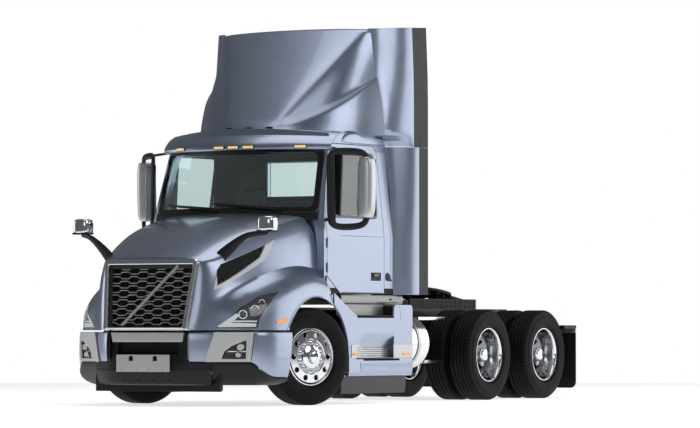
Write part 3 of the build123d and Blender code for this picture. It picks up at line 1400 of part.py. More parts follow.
with BuildPart() as hood:
    add(hood_shell.part)
    add(grille_hole, mode=Mode.SUBTRACT)
    for plug in (lamp_plug, vent_plug):
        add(plug, mode=Mode.SUBTRACT)
        add(mirror(plug, about=Plane.YZ, mode=Mode.PRIVATE), mode=Mode.SUBTRACT)
    add(screen_drum(-2 * RUNNING_GAP) & cowl_clearance, mode=Mode.SUBTRACT)
finish(hood.part, "hood")

BACKING = 6
WIRES = 13
WIRE_FIRST = 72             # height of the lowest wire in the grille's plane
WIRE_PITCH = 47.8
WIRE_WIDTH = 9
WAVE_PERIOD = 217
WAVE_HEIGHT = 10.5
WAVE_SLOPE = 13             # half the length of a slope
BRACE = ((-345, 78), (350, 660))
BRACE_WIDTH = 26


def wire(index):
    """One wavy wire of the mesh: flats that alternate in height, joined by slopes."""
    height = WIRE_FIRST + index * WIRE_PITCH
    half = GRILLE_INNER[1][0] + (GRILLE_INNER[2][0] - GRILLE_INNER[1][0]) * height / GRILLE_HEIGHT
    step = WAVE_PERIOD / 2
    count = int((half - WAVE_SLOPE) / step)
    sign = 1 if index % 2 else -1
    crest = sign if count % 2 else -sign
    line = [(-half - 6, height + crest * WAVE_HEIGHT)]
    for knot in range(-count, count + 1):
        place = knot * step
        line.append((place - WAVE_SLOPE, height + crest * WAVE_HEIGHT))
        crest = -crest
        line.append((place + WAVE_SLOPE, height + crest * WAVE_HEIGHT))
    line.append((half + 6, height + crest * WAVE_HEIGHT))
    lower = [(x, y - WIRE_WIDTH / 2) for x, y in line]
    upper = [(x, y + WIRE_WIDTH / 2) for x, y in line]
    return prism(lower + upper[::-1], grille_plane.offset(-GRILLE_DEPTH + BACKING), WIRE_WIDTH * 2)


with BuildPart() as grille:
    with BuildSketch(grille_plane) as frame_face:
        with BuildLine():
            Polyline(*GRILLE_OUTER, close=True)
        make_face()
        with BuildLine(mode=Mode.PRIVATE) as hole:
            Polyline(*GRILLE_INNER, close=True)
        make_face(hole.edges(), mode=Mode.SUBTRACT)
    extrude(frame_face.sketch, amount=-GRILLE_DEPTH)
    add(prism(GRILLE_INNER, grille_plane.offset(-GRILLE_DEPTH), BACKING))
    for index in range(WIRES):
        add(wire(index))
    (start_x, start_z), (end_x, end_z) = BRACE
    add(
        prism(
            (
                (start_x, start_z),
                (start_x + BRACE_WIDTH, start_z),
                (end_x, end_z),
                (end_x - BRACE_WIDTH, end_z),
            ),
            grille_plane.offset(-GRILLE_DEPTH + BACKING),
            WIRE_WIDTH * 3,
        )
    )
    for side in (-1, 1):
        knuckle_x = sorted((side * HINGE_KNUCKLE[0], side * HINGE_KNUCKLE[1]))
        block(
            knuckle_x,
            (aft(GRILLE_FOOT_Y + GRILLE_DEPTH - 5), aft(HOOD_PIVOT_Y)),
            (HOOD_BOTTOM + 9, HOOD_BOTTOM + 19),
        )
        block(
            knuckle_x,
            (aft(HOOD_PIVOT_Y) - HINGE_BARREL, aft(HOOD_PIVOT_Y)),
            (HOOD_PIVOT_Z, HOOD_BOTTOM + 19),
        )
        rod(
            (knuckle_x[0], aft(HOOD_PIVOT_Y), HOOD_PIVOT_Z),
            (knuckle_x[1], aft(HOOD_PIVOT_Y), HOOD_PIVOT_Z),
            HINGE_BARREL,
        )
        rod(
            (knuckle_x[0] - 1, aft(HOOD_PIVOT_Y), HOOD_PIVOT_Z),
            (knuckle_x[1] + 1, aft(HOOD_PIVOT_Y), HOOD_PIVOT_Z),
            HINGE_PIN + SEAT_GAP,
            mode=Mode.SUBTRACT,
        )
finish(grille.part, "grille")

with BuildPart() as hood_mirrors:
    arm_start, arm_end = Vector(640, aft(-1145), 1470), Vector(1000, aft(-1056), 1757)
    arm_run = arm_end - arm_start
    with Locations(Plane(origin=arm_start, z_dir=arm_run).location):
        Cone(58, 24, arm_run.length, align=(Align.CENTER, Align.CENTER, Align.MIN))
    rod(arm_end, (1075, aft(-985), 1790), 24)
    with BuildPart(mode=Mode.PRIVATE) as mirror_heads:
        block((1035, 1222), (aft(-1010), aft(-850)), (1775, 1882))
        fillet(mirror_heads.edges().filter_by(Axis.Z), 35)
        fillet(mirror_heads.faces().sort_by(Axis.Z)[-1].edges(), 18)
    add(mirror_heads.part)
    add(bonnet_form, mode=Mode.SUBTRACT)
    mirror(about=Plane.YZ)
finish(hood_mirrors.part, "hood_mirrors")
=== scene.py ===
"""Finishes and detailed pieces for a semi truck tractor unit, built around its frame.

Metres. +X is the vehicle's left, the front faces -Y, +Z is up and the ground is z = 0.
"""
from __future__ import annotations

import json
import logging
import math
from dataclasses import dataclass
from enum import Enum
from typing import Callable, Iterable, Sequence

import bmesh
import bpy
from mathutils import Matrix, Vector

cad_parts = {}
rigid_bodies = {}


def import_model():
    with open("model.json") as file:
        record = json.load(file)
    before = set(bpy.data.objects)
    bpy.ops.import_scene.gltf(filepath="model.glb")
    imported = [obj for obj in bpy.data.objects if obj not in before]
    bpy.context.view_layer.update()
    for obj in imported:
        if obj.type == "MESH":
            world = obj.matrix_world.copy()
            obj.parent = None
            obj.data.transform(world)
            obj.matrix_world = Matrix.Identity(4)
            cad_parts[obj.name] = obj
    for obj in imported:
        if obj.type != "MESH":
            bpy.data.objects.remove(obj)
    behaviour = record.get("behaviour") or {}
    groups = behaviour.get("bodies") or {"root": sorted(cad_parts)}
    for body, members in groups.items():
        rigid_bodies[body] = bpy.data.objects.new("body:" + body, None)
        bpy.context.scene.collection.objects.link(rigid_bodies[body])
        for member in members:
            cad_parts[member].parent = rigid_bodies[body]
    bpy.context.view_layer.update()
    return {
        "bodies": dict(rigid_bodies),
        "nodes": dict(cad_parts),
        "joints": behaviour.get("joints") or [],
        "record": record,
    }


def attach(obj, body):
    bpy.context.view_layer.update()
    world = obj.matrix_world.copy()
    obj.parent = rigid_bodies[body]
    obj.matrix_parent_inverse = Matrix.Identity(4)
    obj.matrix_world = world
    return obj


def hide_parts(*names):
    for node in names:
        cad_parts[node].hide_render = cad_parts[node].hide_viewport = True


LOG = logging.getLogger("tractor_unit")

Point = Sequence[float]
Outline = Sequence[Sequence[float]]

CHASSIS = "chassis"
FRONT_AXLE_Y = -2.14
MERGE = 1e-5
SHARP_ANGLE = math.radians(32)


class Side(Enum):
    """The two sides of the vehicle, by the sign of X."""

    LEFT = 1
    RIGHT = -1

    @property
    def word(self) -> str:
        """The side's name as the bodies and nodes write it."""
        return self.name.lower()


def aft(distance: float) -> float:
    """Give the y of a point this far behind the front axle."""
    return FRONT_AXLE_Y + distance


def upright(x: float = 0.0) -> Matrix:
    """Give the plane across X at this place, its own x along Y and its own y up."""
    return Matrix(((0, 0, 1, x), (1, 0, 0, 0), (0, 1, 0, 0), (0, 0, 0, 1)))


def crosswise(y: float = 0.0) -> Matrix:
    """Give the plane across Y at this place, its own x along X, its own z forward."""
    return Matrix(((1, 0, 0, 0), (0, 0, -1, y), (0, 1, 0, 0), (0, 0, 0, 1)))


# ------------------------------------------------------------------------ finishes
@dataclass(frozen=True)
class Finish:
    """A surface as a node material: its colour, gloss, mottle and fine grain."""

    name: str
    slot: str
    colour: tuple[float, float, float]
    metallic: float = 0.0
    roughness: float = 0.5
    coat: float = 0.0
    mottle: float = 0.08
    mottle_scale: float = 2.0
    grain: float = 0.0
    grain_scale: float = 500.0
    grain_stretch: tuple[float, float, float] = (1.0, 1.0, 1.0)
    glow: float = 0.0
    clear: float = 0.0
    ior: float = 1.45
    specular: float = 0.5

    def material(self) -> bpy.types.Material:
        """Build the material, or find it if it is made already.

        Returns:
            The node material.
        """
        found = bpy.data.materials.get(self.name)
        if found:
            return found
        made = bpy.data.materials.new(self.name)
        made.use_nodes = True
        nodes, links = made.node_tree.nodes, made.node_tree.links
        shader = nodes["Principled BSDF"]
        shader.inputs["Metallic"].default_value = self.metallic
        shader.inputs["Coat Weight"].default_value = self.coat
        shader.inputs["Coat Roughness"].default_value = 0.03
        shader.inputs["IOR"].default_value = self.ior
        shader.inputs["Specular IOR Level"].default_value = self.specular
        shader.inputs["Transmission Weight"].default_value = self.clear
        if self.glow:
            shader.inputs["Emission Color"].default_value = (*self.colour, 1.0)
            shader.inputs["Emission Strength"].default_value = self.glow
        place = nodes.new("ShaderNodeTexCoord")
        self._tint(nodes, links, place, shader)
        self._polish(nodes, links, place, shader)
        if self.grain:
            self._grain(nodes, links, place, shader)
        return made

    def _tint(
        self, nodes: bpy.types.Nodes, links: bpy.types.NodeLinks, place: bpy.types.NodeSocket,
        shader: bpy.types.Node
    ) -> None:
        """Vary the colour slowly over the surface.

        Args:
            nodes: The material's nodes.
            links: Its links.
            place: The socket with the object's own coordinates.
            shader: The surface shader.
        """
        cloud = nodes.new("ShaderNodeTexNoise")
        cloud.inputs["Scale"].default_value = self.mottle_scale
        cloud.inputs["Detail"].default_value = 3.0
        links.new(place.outputs["Object"], cloud.inputs["Vector"])
        ramp = nodes.new("ShaderNodeValToRGB")
        ramp.color_ramp.elements[0].position = 0.3
        ramp.color_ramp.elements[1].position = 0.7
        for element, sign in zip(ramp.color_ramp.elements, (-1, 1)):
            scale = 1 + sign * self.mottle
            element.color = (*(min(1.0, c * scale) for c in self.colour), 1.0)
        links.new(cloud.outputs["Fac"], ramp.inputs["Fac"])
        links.new(ramp.outputs["Color"], shader.inputs["Base Color"])

    def _polish(
        self, nodes: bpy.types.Nodes, links: bpy.types.NodeLinks, place: bpy.types.NodeSocket,
        shader: bpy.types.Node
    ) -> None:
        """Vary the roughness a little, as handling and dust do.

        Args:
            nodes: The material's nodes.
            links: Its links.
            place: The socket with the object's own coordinates.
            shader: The surface shader.
        """
        cloud = nodes.new("ShaderNodeTexNoise")
        cloud.inputs["Scale"].default_value = self.mottle_scale * 4
        links.new(place.outputs["Object"], cloud.inputs["Vector"])
        spread = nodes.new("ShaderNodeMapRange")
        spread.inputs["To Min"].default_value = self.roughness * 0.85
        spread.inputs["To Max"].default_value = min(1.0, self.roughness * 1.15)
        links.new(cloud.outputs["Fac"], spread.inputs["Value"])
        links.new(spread.outputs["Result"], shader.inputs["Roughness"])

    def _grain(
        self, nodes: bpy.types.Nodes, links: bpy.types.NodeLinks, place: bpy.types.NodeSocket,
        shader: bpy.types.Node
    ) -> None:
        """Raise a fine grain, stretched along one axis on brushed metal.

        Args:
            nodes: The material's nodes.
            links: Its links.
            place: The socket with the object's own coordinates.
            shader: The surface shader.
        """
        turn = nodes.new("ShaderNodeMapping")
        turn.inputs["Scale"].default_value = self.grain_stretch
        links.new(place.outputs["Object"], turn.inputs["Vector"])
        speck = nodes.new("ShaderNodeTexNoise")
        speck.inputs["Scale"].default_value = self.grain_scale
        speck.inputs["Detail"].default_value = 2.0
        links.new(turn.outputs["Vector"], speck.inputs["Vector"])
        bump = nodes.new("ShaderNodeBump")
        bump.inputs["Strength"].default_value = self.grain
        bump.inputs["Distance"].default_value = 0.002
        links.new(speck.outputs["Fac"], bump.inputs["Height"])
        links.new(bump.outputs["Normal"], shader.inputs["Normal"])


PAINT = Finish("cab_paint", "paint", (0.34, 0.39, 0.51), metallic=0.88, roughness=0.3, coat=0.7, mottle=0.02)
CHROME = Finish("bright_chrome", "chrome", (0.78, 0.79, 0.81), metallic=1.0, roughness=0.08, mottle=0.02)
SILVER = Finish("satin_silver", "silver", (0.72, 0.725, 0.73), metallic=0.45, roughness=0.36, mottle=0.03)
POLISHED = Finish(
    "polished_aluminium", "polished", (0.8, 0.81, 0.83), metallic=1.0, roughness=0.15, mottle=0.03
)
BLACK_PAINT = Finish(
    "chassis_paint", "chassis_black", (0.008, 0.008, 0.009), roughness=0.4, coat=0.12, grain=0.1,
    specular=0.3
)
CASTING = Finish("cast_metal", "cast", (0.02, 0.02, 0.022), metallic=0.3, roughness=0.55, grain=0.35)
CHARCOAL = Finish(
    "charcoal_plastic", "dark_plastic", (0.016, 0.017, 0.018), roughness=0.45, grain=0.15, specular=0.35
)
EDGE_RUBBER = Finish("edge_rubber", "grey_rubber", (0.055, 0.055, 0.06), roughness=0.6, grain=0.2)
TYRE_RUBBER = Finish(
    "tyre_rubber", "tyre", (0.008, 0.008, 0.0085), roughness=0.6, grain=0.25, grain_scale=260, specular=0.18
)
PANE = Finish(
    "tinted_glass", "glass", (0.74, 0.84, 0.83), roughness=0.01, clear=1.0, mottle=0.01, specular=0.12
)
LENS = Finish("clear_lens", "lamp", (0.92, 0.94, 0.96), roughness=0.02, clear=1.0, mottle=0.01)
AMBER = Finish(
    "amber_lens", "lamp", (0.95, 0.36, 0.02), roughness=0.15, glow=0.5, mottle=0.05, mottle_scale=60
)
CREAM = Finish(
    "warm_lens", "lamp", (0.95, 0.66, 0.26), roughness=0.15, glow=0.6, mottle=0.03, mottle_scale=60
)
RED_LENS = Finish("red_lens", "red_lamp", (0.45, 0.01, 0.01), roughness=0.15, glow=0.1)
SILVER_BRIGHT = Finish(
    "bright_satin_metal", "chrome", (0.74, 0.75, 0.76), metallic=1.0, roughness=0.2, mottle=0.02
)
SATIN_WIRE = Finish("satin_wire", "silver", (0.66, 0.66, 0.67), metallic=0.5, roughness=0.35, mottle=0.03)
GLOSS_BLACK = Finish(
    "gloss_black", "dark_plastic", (0.01, 0.01, 0.011), roughness=0.12, coat=0.5, mottle=0.02
)
# Near-black fill for painted shadow: behind the grille, in the bumper opening, in the fog lamp bowls and in
# slots.
PAINTED_SHADOW_BLACK = Finish("unlit_black", "dark_plastic", (0.004, 0.004, 0.004), roughness=0.85, mottle=0.05)
LAMP_WHITE = Finish("lamp_white", "lamp", (0.8, 0.81, 0.82), metallic=0.3, roughness=0.15, mottle=0.02)
CLOTH = Finish("seat_cloth", "trim", (0.03, 0.03, 0.033), roughness=0.95, grain=0.6, grain_scale=900)
# Polished aluminium darkened: painted shade for the dished discs deep in the twin drive wheels.
POLISHED_IN_PAINTED_SHADE = Finish(
    "recessed_metal", "polished", (0.26, 0.265, 0.28), metallic=1.0, roughness=0.2, mottle=0.04
)
MIRROR = Finish("mirror_glass", "chrome", (0.85, 0.86, 0.87), metallic=1.0, roughness=0.02, mottle=0.01)
MIRROR_SHELL = Finish(
    "satin_shell", "chrome", (0.62, 0.63, 0.64), metallic=0.75, roughness=0.32, mottle=0.02
)
SATIN_LIGHT = Finish(
    "light_satin_metal", "polished", (0.6, 0.61, 0.62), metallic=0.7, roughness=0.3, mottle=0.02
)
KICK_PLATE = Finish(
    "kick_plate_metal", "silver", (0.34, 0.35, 0.34), metallic=0.7, roughness=0.35, mottle=0.05
)
SKIRT_GREY = Finish("skirt_rubber", "grey_rubber", (0.1, 0.1, 0.105), roughness=0.6, grain=0.2)
# Cab paint darkened: painted shade, used on the foot pockets' end walls and the belt crease line.
PAINTED_SHADE_PAINT = Finish("shaded_paint", "paint", (0.1, 0.12, 0.18), metallic=0.7, roughness=0.4, mottle=0.02)
GREASE = Finish(
    "coupling_grease", "cast", (0.05, 0.05, 0.05), roughness=0.2, coat=0.4, mottle=0.3, mottle_scale=12
)
MOULDING = Finish(
    "cabin_moulding", "interior", (0.009, 0.009, 0.01), roughness=0.7, grain=0.3, grain_scale=700
)

SLOT_FINISHES = {
    "paint": PAINT, "chassis_black": BLACK_PAINT, "tyre": TYRE_RUBBER, "polished": POLISHED,
    "chrome": CHROME, "silver": SILVER, "dark_plastic": CHARCOAL, "grey_rubber": EDGE_RUBBER, "glass": PANE,
    "lamp": LENS, "red_lamp": RED_LENS, "trim": CLOTH, "interior": MOULDING, "cast": CASTING
}


# ------------------------------------------------------------------- making shapes
class Form:
    """A mesh under construction, in the truck's own frame."""

    def __init__(self) -> None:
        """Start with nothing."""
        self.mesh = bmesh.new()

    def absorb(self, other: bmesh.types.BMesh, move: Matrix | None = None) -> Form:
        """Take in another mesh and free it.

        Args:
            other: The mesh to take in.
            move: Where to put it, or None to leave it in place.

        Returns:
            This form, so that calls can follow each other.
        """
        if move is not None:
            other.transform(move)
            if move.determinant() < 0:
                bmesh.ops.reverse_faces(other, faces=other.faces)
        bridge = bpy.data.meshes.new("bridge")
        other.to_mesh(bridge)
        self.mesh.from_mesh(bridge)
        bpy.data.meshes.remove(bridge)
        other.free()
        return self

    def box(self, low: Point, high: Point, bevel: float = 0.0, turn: Matrix | None = None) -> Form:
        """Add a box between two corners, its edges rounded by a bevel.

        Args:
            low: The corner with the smaller coordinates.
            high: The opposite corner.
            bevel: Width of the rounding.
            turn: A turn given to the finished box.

        Returns:
            This form.
        """
        part = bmesh.new()
        size = [b - a for a, b in zip(low, high)]
        middle = Matrix.Translation([(a + b) / 2 for a, b in zip(low, high)])
        bmesh.ops.create_cube(part, size=1.0, matrix=middle @ Matrix.Diagonal((*size, 1.0)))
        if bevel:
            round_edges(part, part.edges[:], bevel)
        return self.absorb(part, turn)

    def rod(
        self, start: Point, end: Point, radius: float, sides: int = 20, far: float | None = None,
        bevel: float = 0.0
    ) -> Form:
        """Add a round bar or cone between two points.

        Args:
            start: The middle of one end.
            end: The middle of the other.
            radius: Radius at the start.
            sides: How many faces go round.
            far: Radius at the end, where it differs.
            bevel: Width of the rounding.

        Returns:
            This form.
        """
        part = bmesh.new()
        run = Vector(end) - Vector(start)
        bmesh.ops.create_cone(
            part, cap_ends=True, segments=sides, radius1=radius, radius2=radius if far is None else far,
            depth=run.length
        )
        if bevel:
            rims = [e for e in part.edges if abs(e.verts[0].co.z - e.verts[1].co.z) < MERGE]
            round_edges(part, rims, bevel)
        aim = run.to_track_quat("Z", "Y").to_matrix().to_4x4()
        return self.absorb(part, Matrix.Translation((Vector(start) + Vector(end)) / 2) @ aim)

    def plate(self, outline: Outline, plane: Matrix, depth: float, bevel: float = 0.0) -> Form:
        """Add a flat outline pushed along its plane's own z.

        Args:
            outline: Points in the plane, in order.
            plane: The plane as a matrix.
            depth: How far the outline is pushed.
            bevel: Width of the rounding.

        Returns:
            This form.
        """
        part = bmesh.new()
        face = part.faces.new([part.verts.new((x, y, 0)) for x, y in outline])
        face.normal_update()
        grown = bmesh.ops.extrude_face_region(part, geom=[face])["geom"]
        lifted = [v for v in grown if isinstance(v, bmesh.types.BMVert)]
        bmesh.ops.translate(part, verts=lifted, vec=(0, 0, depth))
        bmesh.ops.recalc_face_normals(part, faces=part.faces)
        if bevel:
            round_edges(part, part.edges[:], bevel)
        return self.absorb(part, plane)

    def turned(self, profile: Outline, axis: Matrix, steps: int = 48) -> Form:
        """Add a shape turned about an axis.

        Args:
            profile: Points (along, radius) from one end to the other.
            axis: A matrix whose own x is the axis.
            steps: How many faces go round.

        Returns:
            This form.
        """
        part = bmesh.new()
        verts = [part.verts.new((along, 0, radius)) for along, radius in profile]
        edges = [part.edges.new(pair) for pair in zip(verts, verts[1:])]
        bmesh.ops.spin(
            part, geom=verts + edges, cent=(0, 0, 0), axis=(1, 0, 0), dvec=(0, 0, 0), angle=math.tau,
            steps=steps, use_merge=True
        )
        bmesh.ops.remove_doubles(part, verts=part.verts, dist=MERGE)
        bmesh.ops.recalc_face_normals(part, faces=part.faces)
        return self.absorb(part, axis)

    def skin(
        self, ribs: Sequence[Outline], closed: bool = False, creases: dict[int, float] | None = None,
        inside: Point | None = None
    ) -> Form:
        """Add a surface through ribs, each a row of as many points.

        Args:
            ribs: The rows of points.
            closed: Whether each row closes on itself.
            creases: How sharp the lines through some columns stay, by column.
            inside: A point that the surface faces away from.

        Returns:
            This form.
        """
        part = bmesh.new()
        sharpness = part.edges.layers.float.new("crease_edge")
        columns = [[part.verts.new(point) for point in rib] for rib in ribs]
        rows = []
        for verts in columns:
            pairs = list(zip(verts, verts[1:]))
            if closed:
                pairs.append((verts[-1], verts[0]))
            rows.append([part.edges.new(pair) for pair in pairs])
        for row, after in zip(rows, rows[1:]):
            bmesh.ops.bridge_loops(part, edges=row + after)
        for column, weight in (creases or {}).items():
            for here, there in zip(columns, columns[1:]):
                edge = part.edges.get((here[column], there[column]))
                if edge:
                    edge[sharpness] = weight
        bmesh.ops.recalc_face_normals(part, faces=part.faces)
        if inside is not None:
            centre = Vector(inside)
            facing = sum((f.calc_center_median() - centre).dot(f.normal) * f.calc_area() for f in part.faces)
            if facing < 0:
                bmesh.ops.reverse_faces(part, faces=part.faces)
        return self.absorb(part)

    def weld(self) -> Form:
        """Join what meets along the middle."""
        bmesh.ops.remove_doubles(self.mesh, verts=self.mesh.verts, dist=MERGE)
        return self

    def through(self, change: Callable[[bpy.types.Object], None]) -> Form:
        """Pass the form through an object's modifiers.

        Args:
            change: What gives the carrying object its modifiers and settles them.

        Returns:
            This form.
        """
        mesh = bpy.data.meshes.new("carrier")
        self.mesh.to_mesh(mesh)
        carrier = bpy.data.objects.new("carrier", mesh)
        bpy.context.scene.collection.objects.link(carrier)
        change(carrier)
        self.mesh.free()
        self.mesh = bmesh.new()
        self.mesh.from_mesh(carrier.data)
        done = carrier.data
        bpy.data.objects.remove(carrier)
        bpy.data.meshes.remove(done)
        return self

    def rounded(self, levels: int) -> Form:
        """Subdivide the form smoothly.

        Args:
            levels: Levels of subdivision.

        Returns:
            This form.
        """

        def subdivide(carrier: bpy.types.Object) -> None:
            """Add the subdivision and settle it."""
            rounding = carrier.modifiers.new("rounding", "SUBSURF")
            rounding.levels = rounding.render_levels = levels
            rounding.boundary_smooth = "PRESERVE_CORNERS"
            settle(carrier)

        return self.through(subdivide)

    def less(self, cutter: Form) -> Form:
        """Cut another form out of this one and free it."""
        return self.through(lambda carrier: cut_out(carrier, cutter))

    def moved(self, move: Matrix) -> Form:
        """Move the form, and keep its faces outward if the move mirrors it."""
        return self.copies([move])

    def capped(self) -> Form:
        """Close the open ends of a tube-like form.

        Returns:
            This form.
        """
        rims = [edge for edge in self.mesh.edges if len(edge.link_faces) == 1]
        bmesh.ops.holes_fill(self.mesh, edges=rims)
        bmesh.ops.recalc_face_normals(self.mesh, faces=self.mesh.faces)
        return self

    def grow(self, distance: float) -> Form:
        """Move every point out along its normal.

        Args:
            distance: How far each point moves.

        Returns:
            This form.
        """
        self.mesh.normal_update()
        for vert in self.mesh.verts:
            vert.co += vert.normal * distance
        return self

    def thick(self, wall: float) -> Form:
        """Give an open skin a wall, inwards.

        Args:
            wall: The wall's thickness.

        Returns:
            This form.
        """
        self.mesh.normal_update()
        bmesh.ops.solidify(self.mesh, geom=self.mesh.faces[:], thickness=wall)
        return self

    def tube(self, path: Sequence[Point], radius: float, sides: int = 10) -> Form:
        """Add a round tube along a path of points.

        Args:
            path: The points of its middle line.
            radius: The tube's radius.
            sides: How many faces go round.

        Returns:
            This form.
        """
        for start, end in zip(path, path[1:]):
            self.rod(start, end, radius, sides)
        for point in path[1:-1]:
            part = bmesh.new()
            bmesh.ops.create_icosphere(part, subdivisions=2, radius=radius * 1.02)
            self.absorb(part, Matrix.Translation(point))
        return self

    def copies(self, moves: Iterable[Matrix]) -> Form:
        """Replace the form by copies of itself, one for each move.

        Args:
            moves: One matrix for each copy.

        Returns:
            This form.
        """
        source = self.mesh
        self.mesh = bmesh.new()
        for move in moves:
            self.absorb(source.copy(), move)
        source.free()
        return self

    def mirrored(self, keep: bool = True) -> Form:
        """Add the form's image across the middle, or keep only the image."""
        flip = Matrix.Diagonal((-1, 1, 1, 1))
        return self.copies([Matrix.Identity(4), flip] if keep else [flip])

    def on(self, side: Side) -> Form:
        """Leave a form made for the left as it is, or mirror it to the right."""
        return self if side is Side.LEFT else self.mirrored(keep=False)


def round_edges(part: bmesh.types.BMesh, edges: list, width: float, segments: int = 2) -> None:
    """Bevel the given edges of a mesh under construction.

    Args:
        part: The mesh.
        edges: Which of its edges.
        width: The bevel's width.
        segments: How many faces go across it.
    """
    bmesh.ops.bevel(
        part, geom=edges, offset=width, affect="EDGES", segments=segments, profile=0.5, material=-1,
        clamp_overlap=True
    )


def shade(mesh: bpy.types.Mesh, angle: float = SHARP_ANGLE) -> None:
    """Shade a mesh smooth, and keep its edges sharp where it turns by more than an angle.

    Args:
        mesh: The mesh.
        angle: The smallest turn that stays sharp.
    """
    work = bmesh.new()
    work.from_mesh(mesh)
    for face in work.faces:
        face.smooth = True
    for edge in work.edges:
        edge.smooth = len(edge.link_faces) == 2 and edge.calc_face_angle(0.0) < angle
    work.to_mesh(mesh)
    work.free()


def settle(piece: bpy.types.Object) -> None:
    """Make a piece's modifiers part of its mesh.

    Args:
        piece: The piece.
    """
    graph = bpy.context.evaluated_depsgraph_get()
    baked = bpy.data.meshes.new_from_object(piece.evaluated_get(graph))
    old = piece.data
    piece.modifiers.clear()
    piece.data = baked
    bpy.data.meshes.remove(old)


def deliver(
    form: Form, name: str, finish: Finish, body: str = CHASSIS, replaces: Sequence[str] = (),
    smooth: int = 0, wall: float = 0.0, bevel: float = 0.0, cutters: Sequence[Form] = (),
    within: Form | None = None
) -> bpy.types.Object:
    """Turn a form into a finished piece that rides on its body.

    Args:
        form: The shape, which is freed.
        name: The piece's name.
        finish: Its surface.
        body: The body that it moves with.
        replaces: CAD nodes that it stands for.
        smooth: Levels of subdivision.
        wall: Thickness given to an open skin, inwards.
        bevel: Width of the rounding along sharp edges.
        cutters: Forms that are cut out of it.
        within: A form outside which nothing of it is kept.

    Returns:
        The piece.
    """
    mesh = bpy.data.meshes.new(name)
    form.mesh.to_mesh(mesh)
    form.mesh.free()
    piece = bpy.data.objects.new(name, mesh)
    bpy.context.scene.collection.objects.link(piece)
    if smooth:
        rounding = piece.modifiers.new("rounding", "SUBSURF")
        rounding.levels = rounding.render_levels = smooth
    if wall:
        thickness = piece.modifiers.new("thickness", "SOLIDIFY")
        thickness.thickness = wall
        thickness.offset = -1.0
    if within:
        cut_out(piece, within, keep=True)
    for cutter in cutters:
        cut_out(piece, cutter)
    if piece.modifiers:
        settle(piece)
    if bevel:
        edge = piece.modifiers.new("edge", "BEVEL")
        edge.width = bevel
        edge.segments = 2
        edge.limit_method = "ANGLE"
        edge.angle_limit = SHARP_ANGLE
        settle(piece)
    shade(piece.data)
    flatten = piece.modifiers.new("flat_faces", "WEIGHTED_NORMAL")
    flatten.keep_sharp = True
    settle(piece)
    piece.data.materials.clear()
    piece.data.materials.append(finish.material())
    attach(piece, body)
    if replaces:
        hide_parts(*replaces)
    LOG.info("%s: %d faces on %s", name, len(piece.data.polygons), body)
    return piece


def cut_out(piece: bpy.types.Object, cutter: Form, keep: bool = False) -> None:
    """Cut a form out of a piece, or keep only what lies inside the form.

    Args:
        piece: The piece.
        cutter: The form, which is freed.
        keep: Keep what lies inside instead.
    """
    settle(piece)
    mesh = bpy.data.meshes.new("cutter")
    cutter.mesh.to_mesh(mesh)
    cutter.mesh.free()
    tool = bpy.data.objects.new("cutter", mesh)
    bpy.context.scene.collection.objects.link(tool)
    cut = piece.modifiers.new("cut", "BOOLEAN")
    cut.operation = "INTERSECT" if keep else "DIFFERENCE"
    cut.solver = "EXACT"
    cut.object = tool
    settle(piece)
    bpy.data.objects.remove(tool)
    bpy.data.meshes.remove(mesh)


def from_node(node: str) -> Form:
    """Copy a CAD node's solid into a form, its loose triangles joined into faces.

    Args:
        node: The node's name.

    Returns:
        The form.
    """
    form = Form()
    form.mesh.from_mesh(bpy.data.objects[node].data)
    bmesh.ops.remove_doubles(form.mesh, verts=form.mesh.verts, dist=MERGE)
    bmesh.ops.dissolve_limit(
        form.mesh, angle_limit=math.radians(0.5), verts=form.mesh.verts, edges=form.mesh.edges
    )
    return form


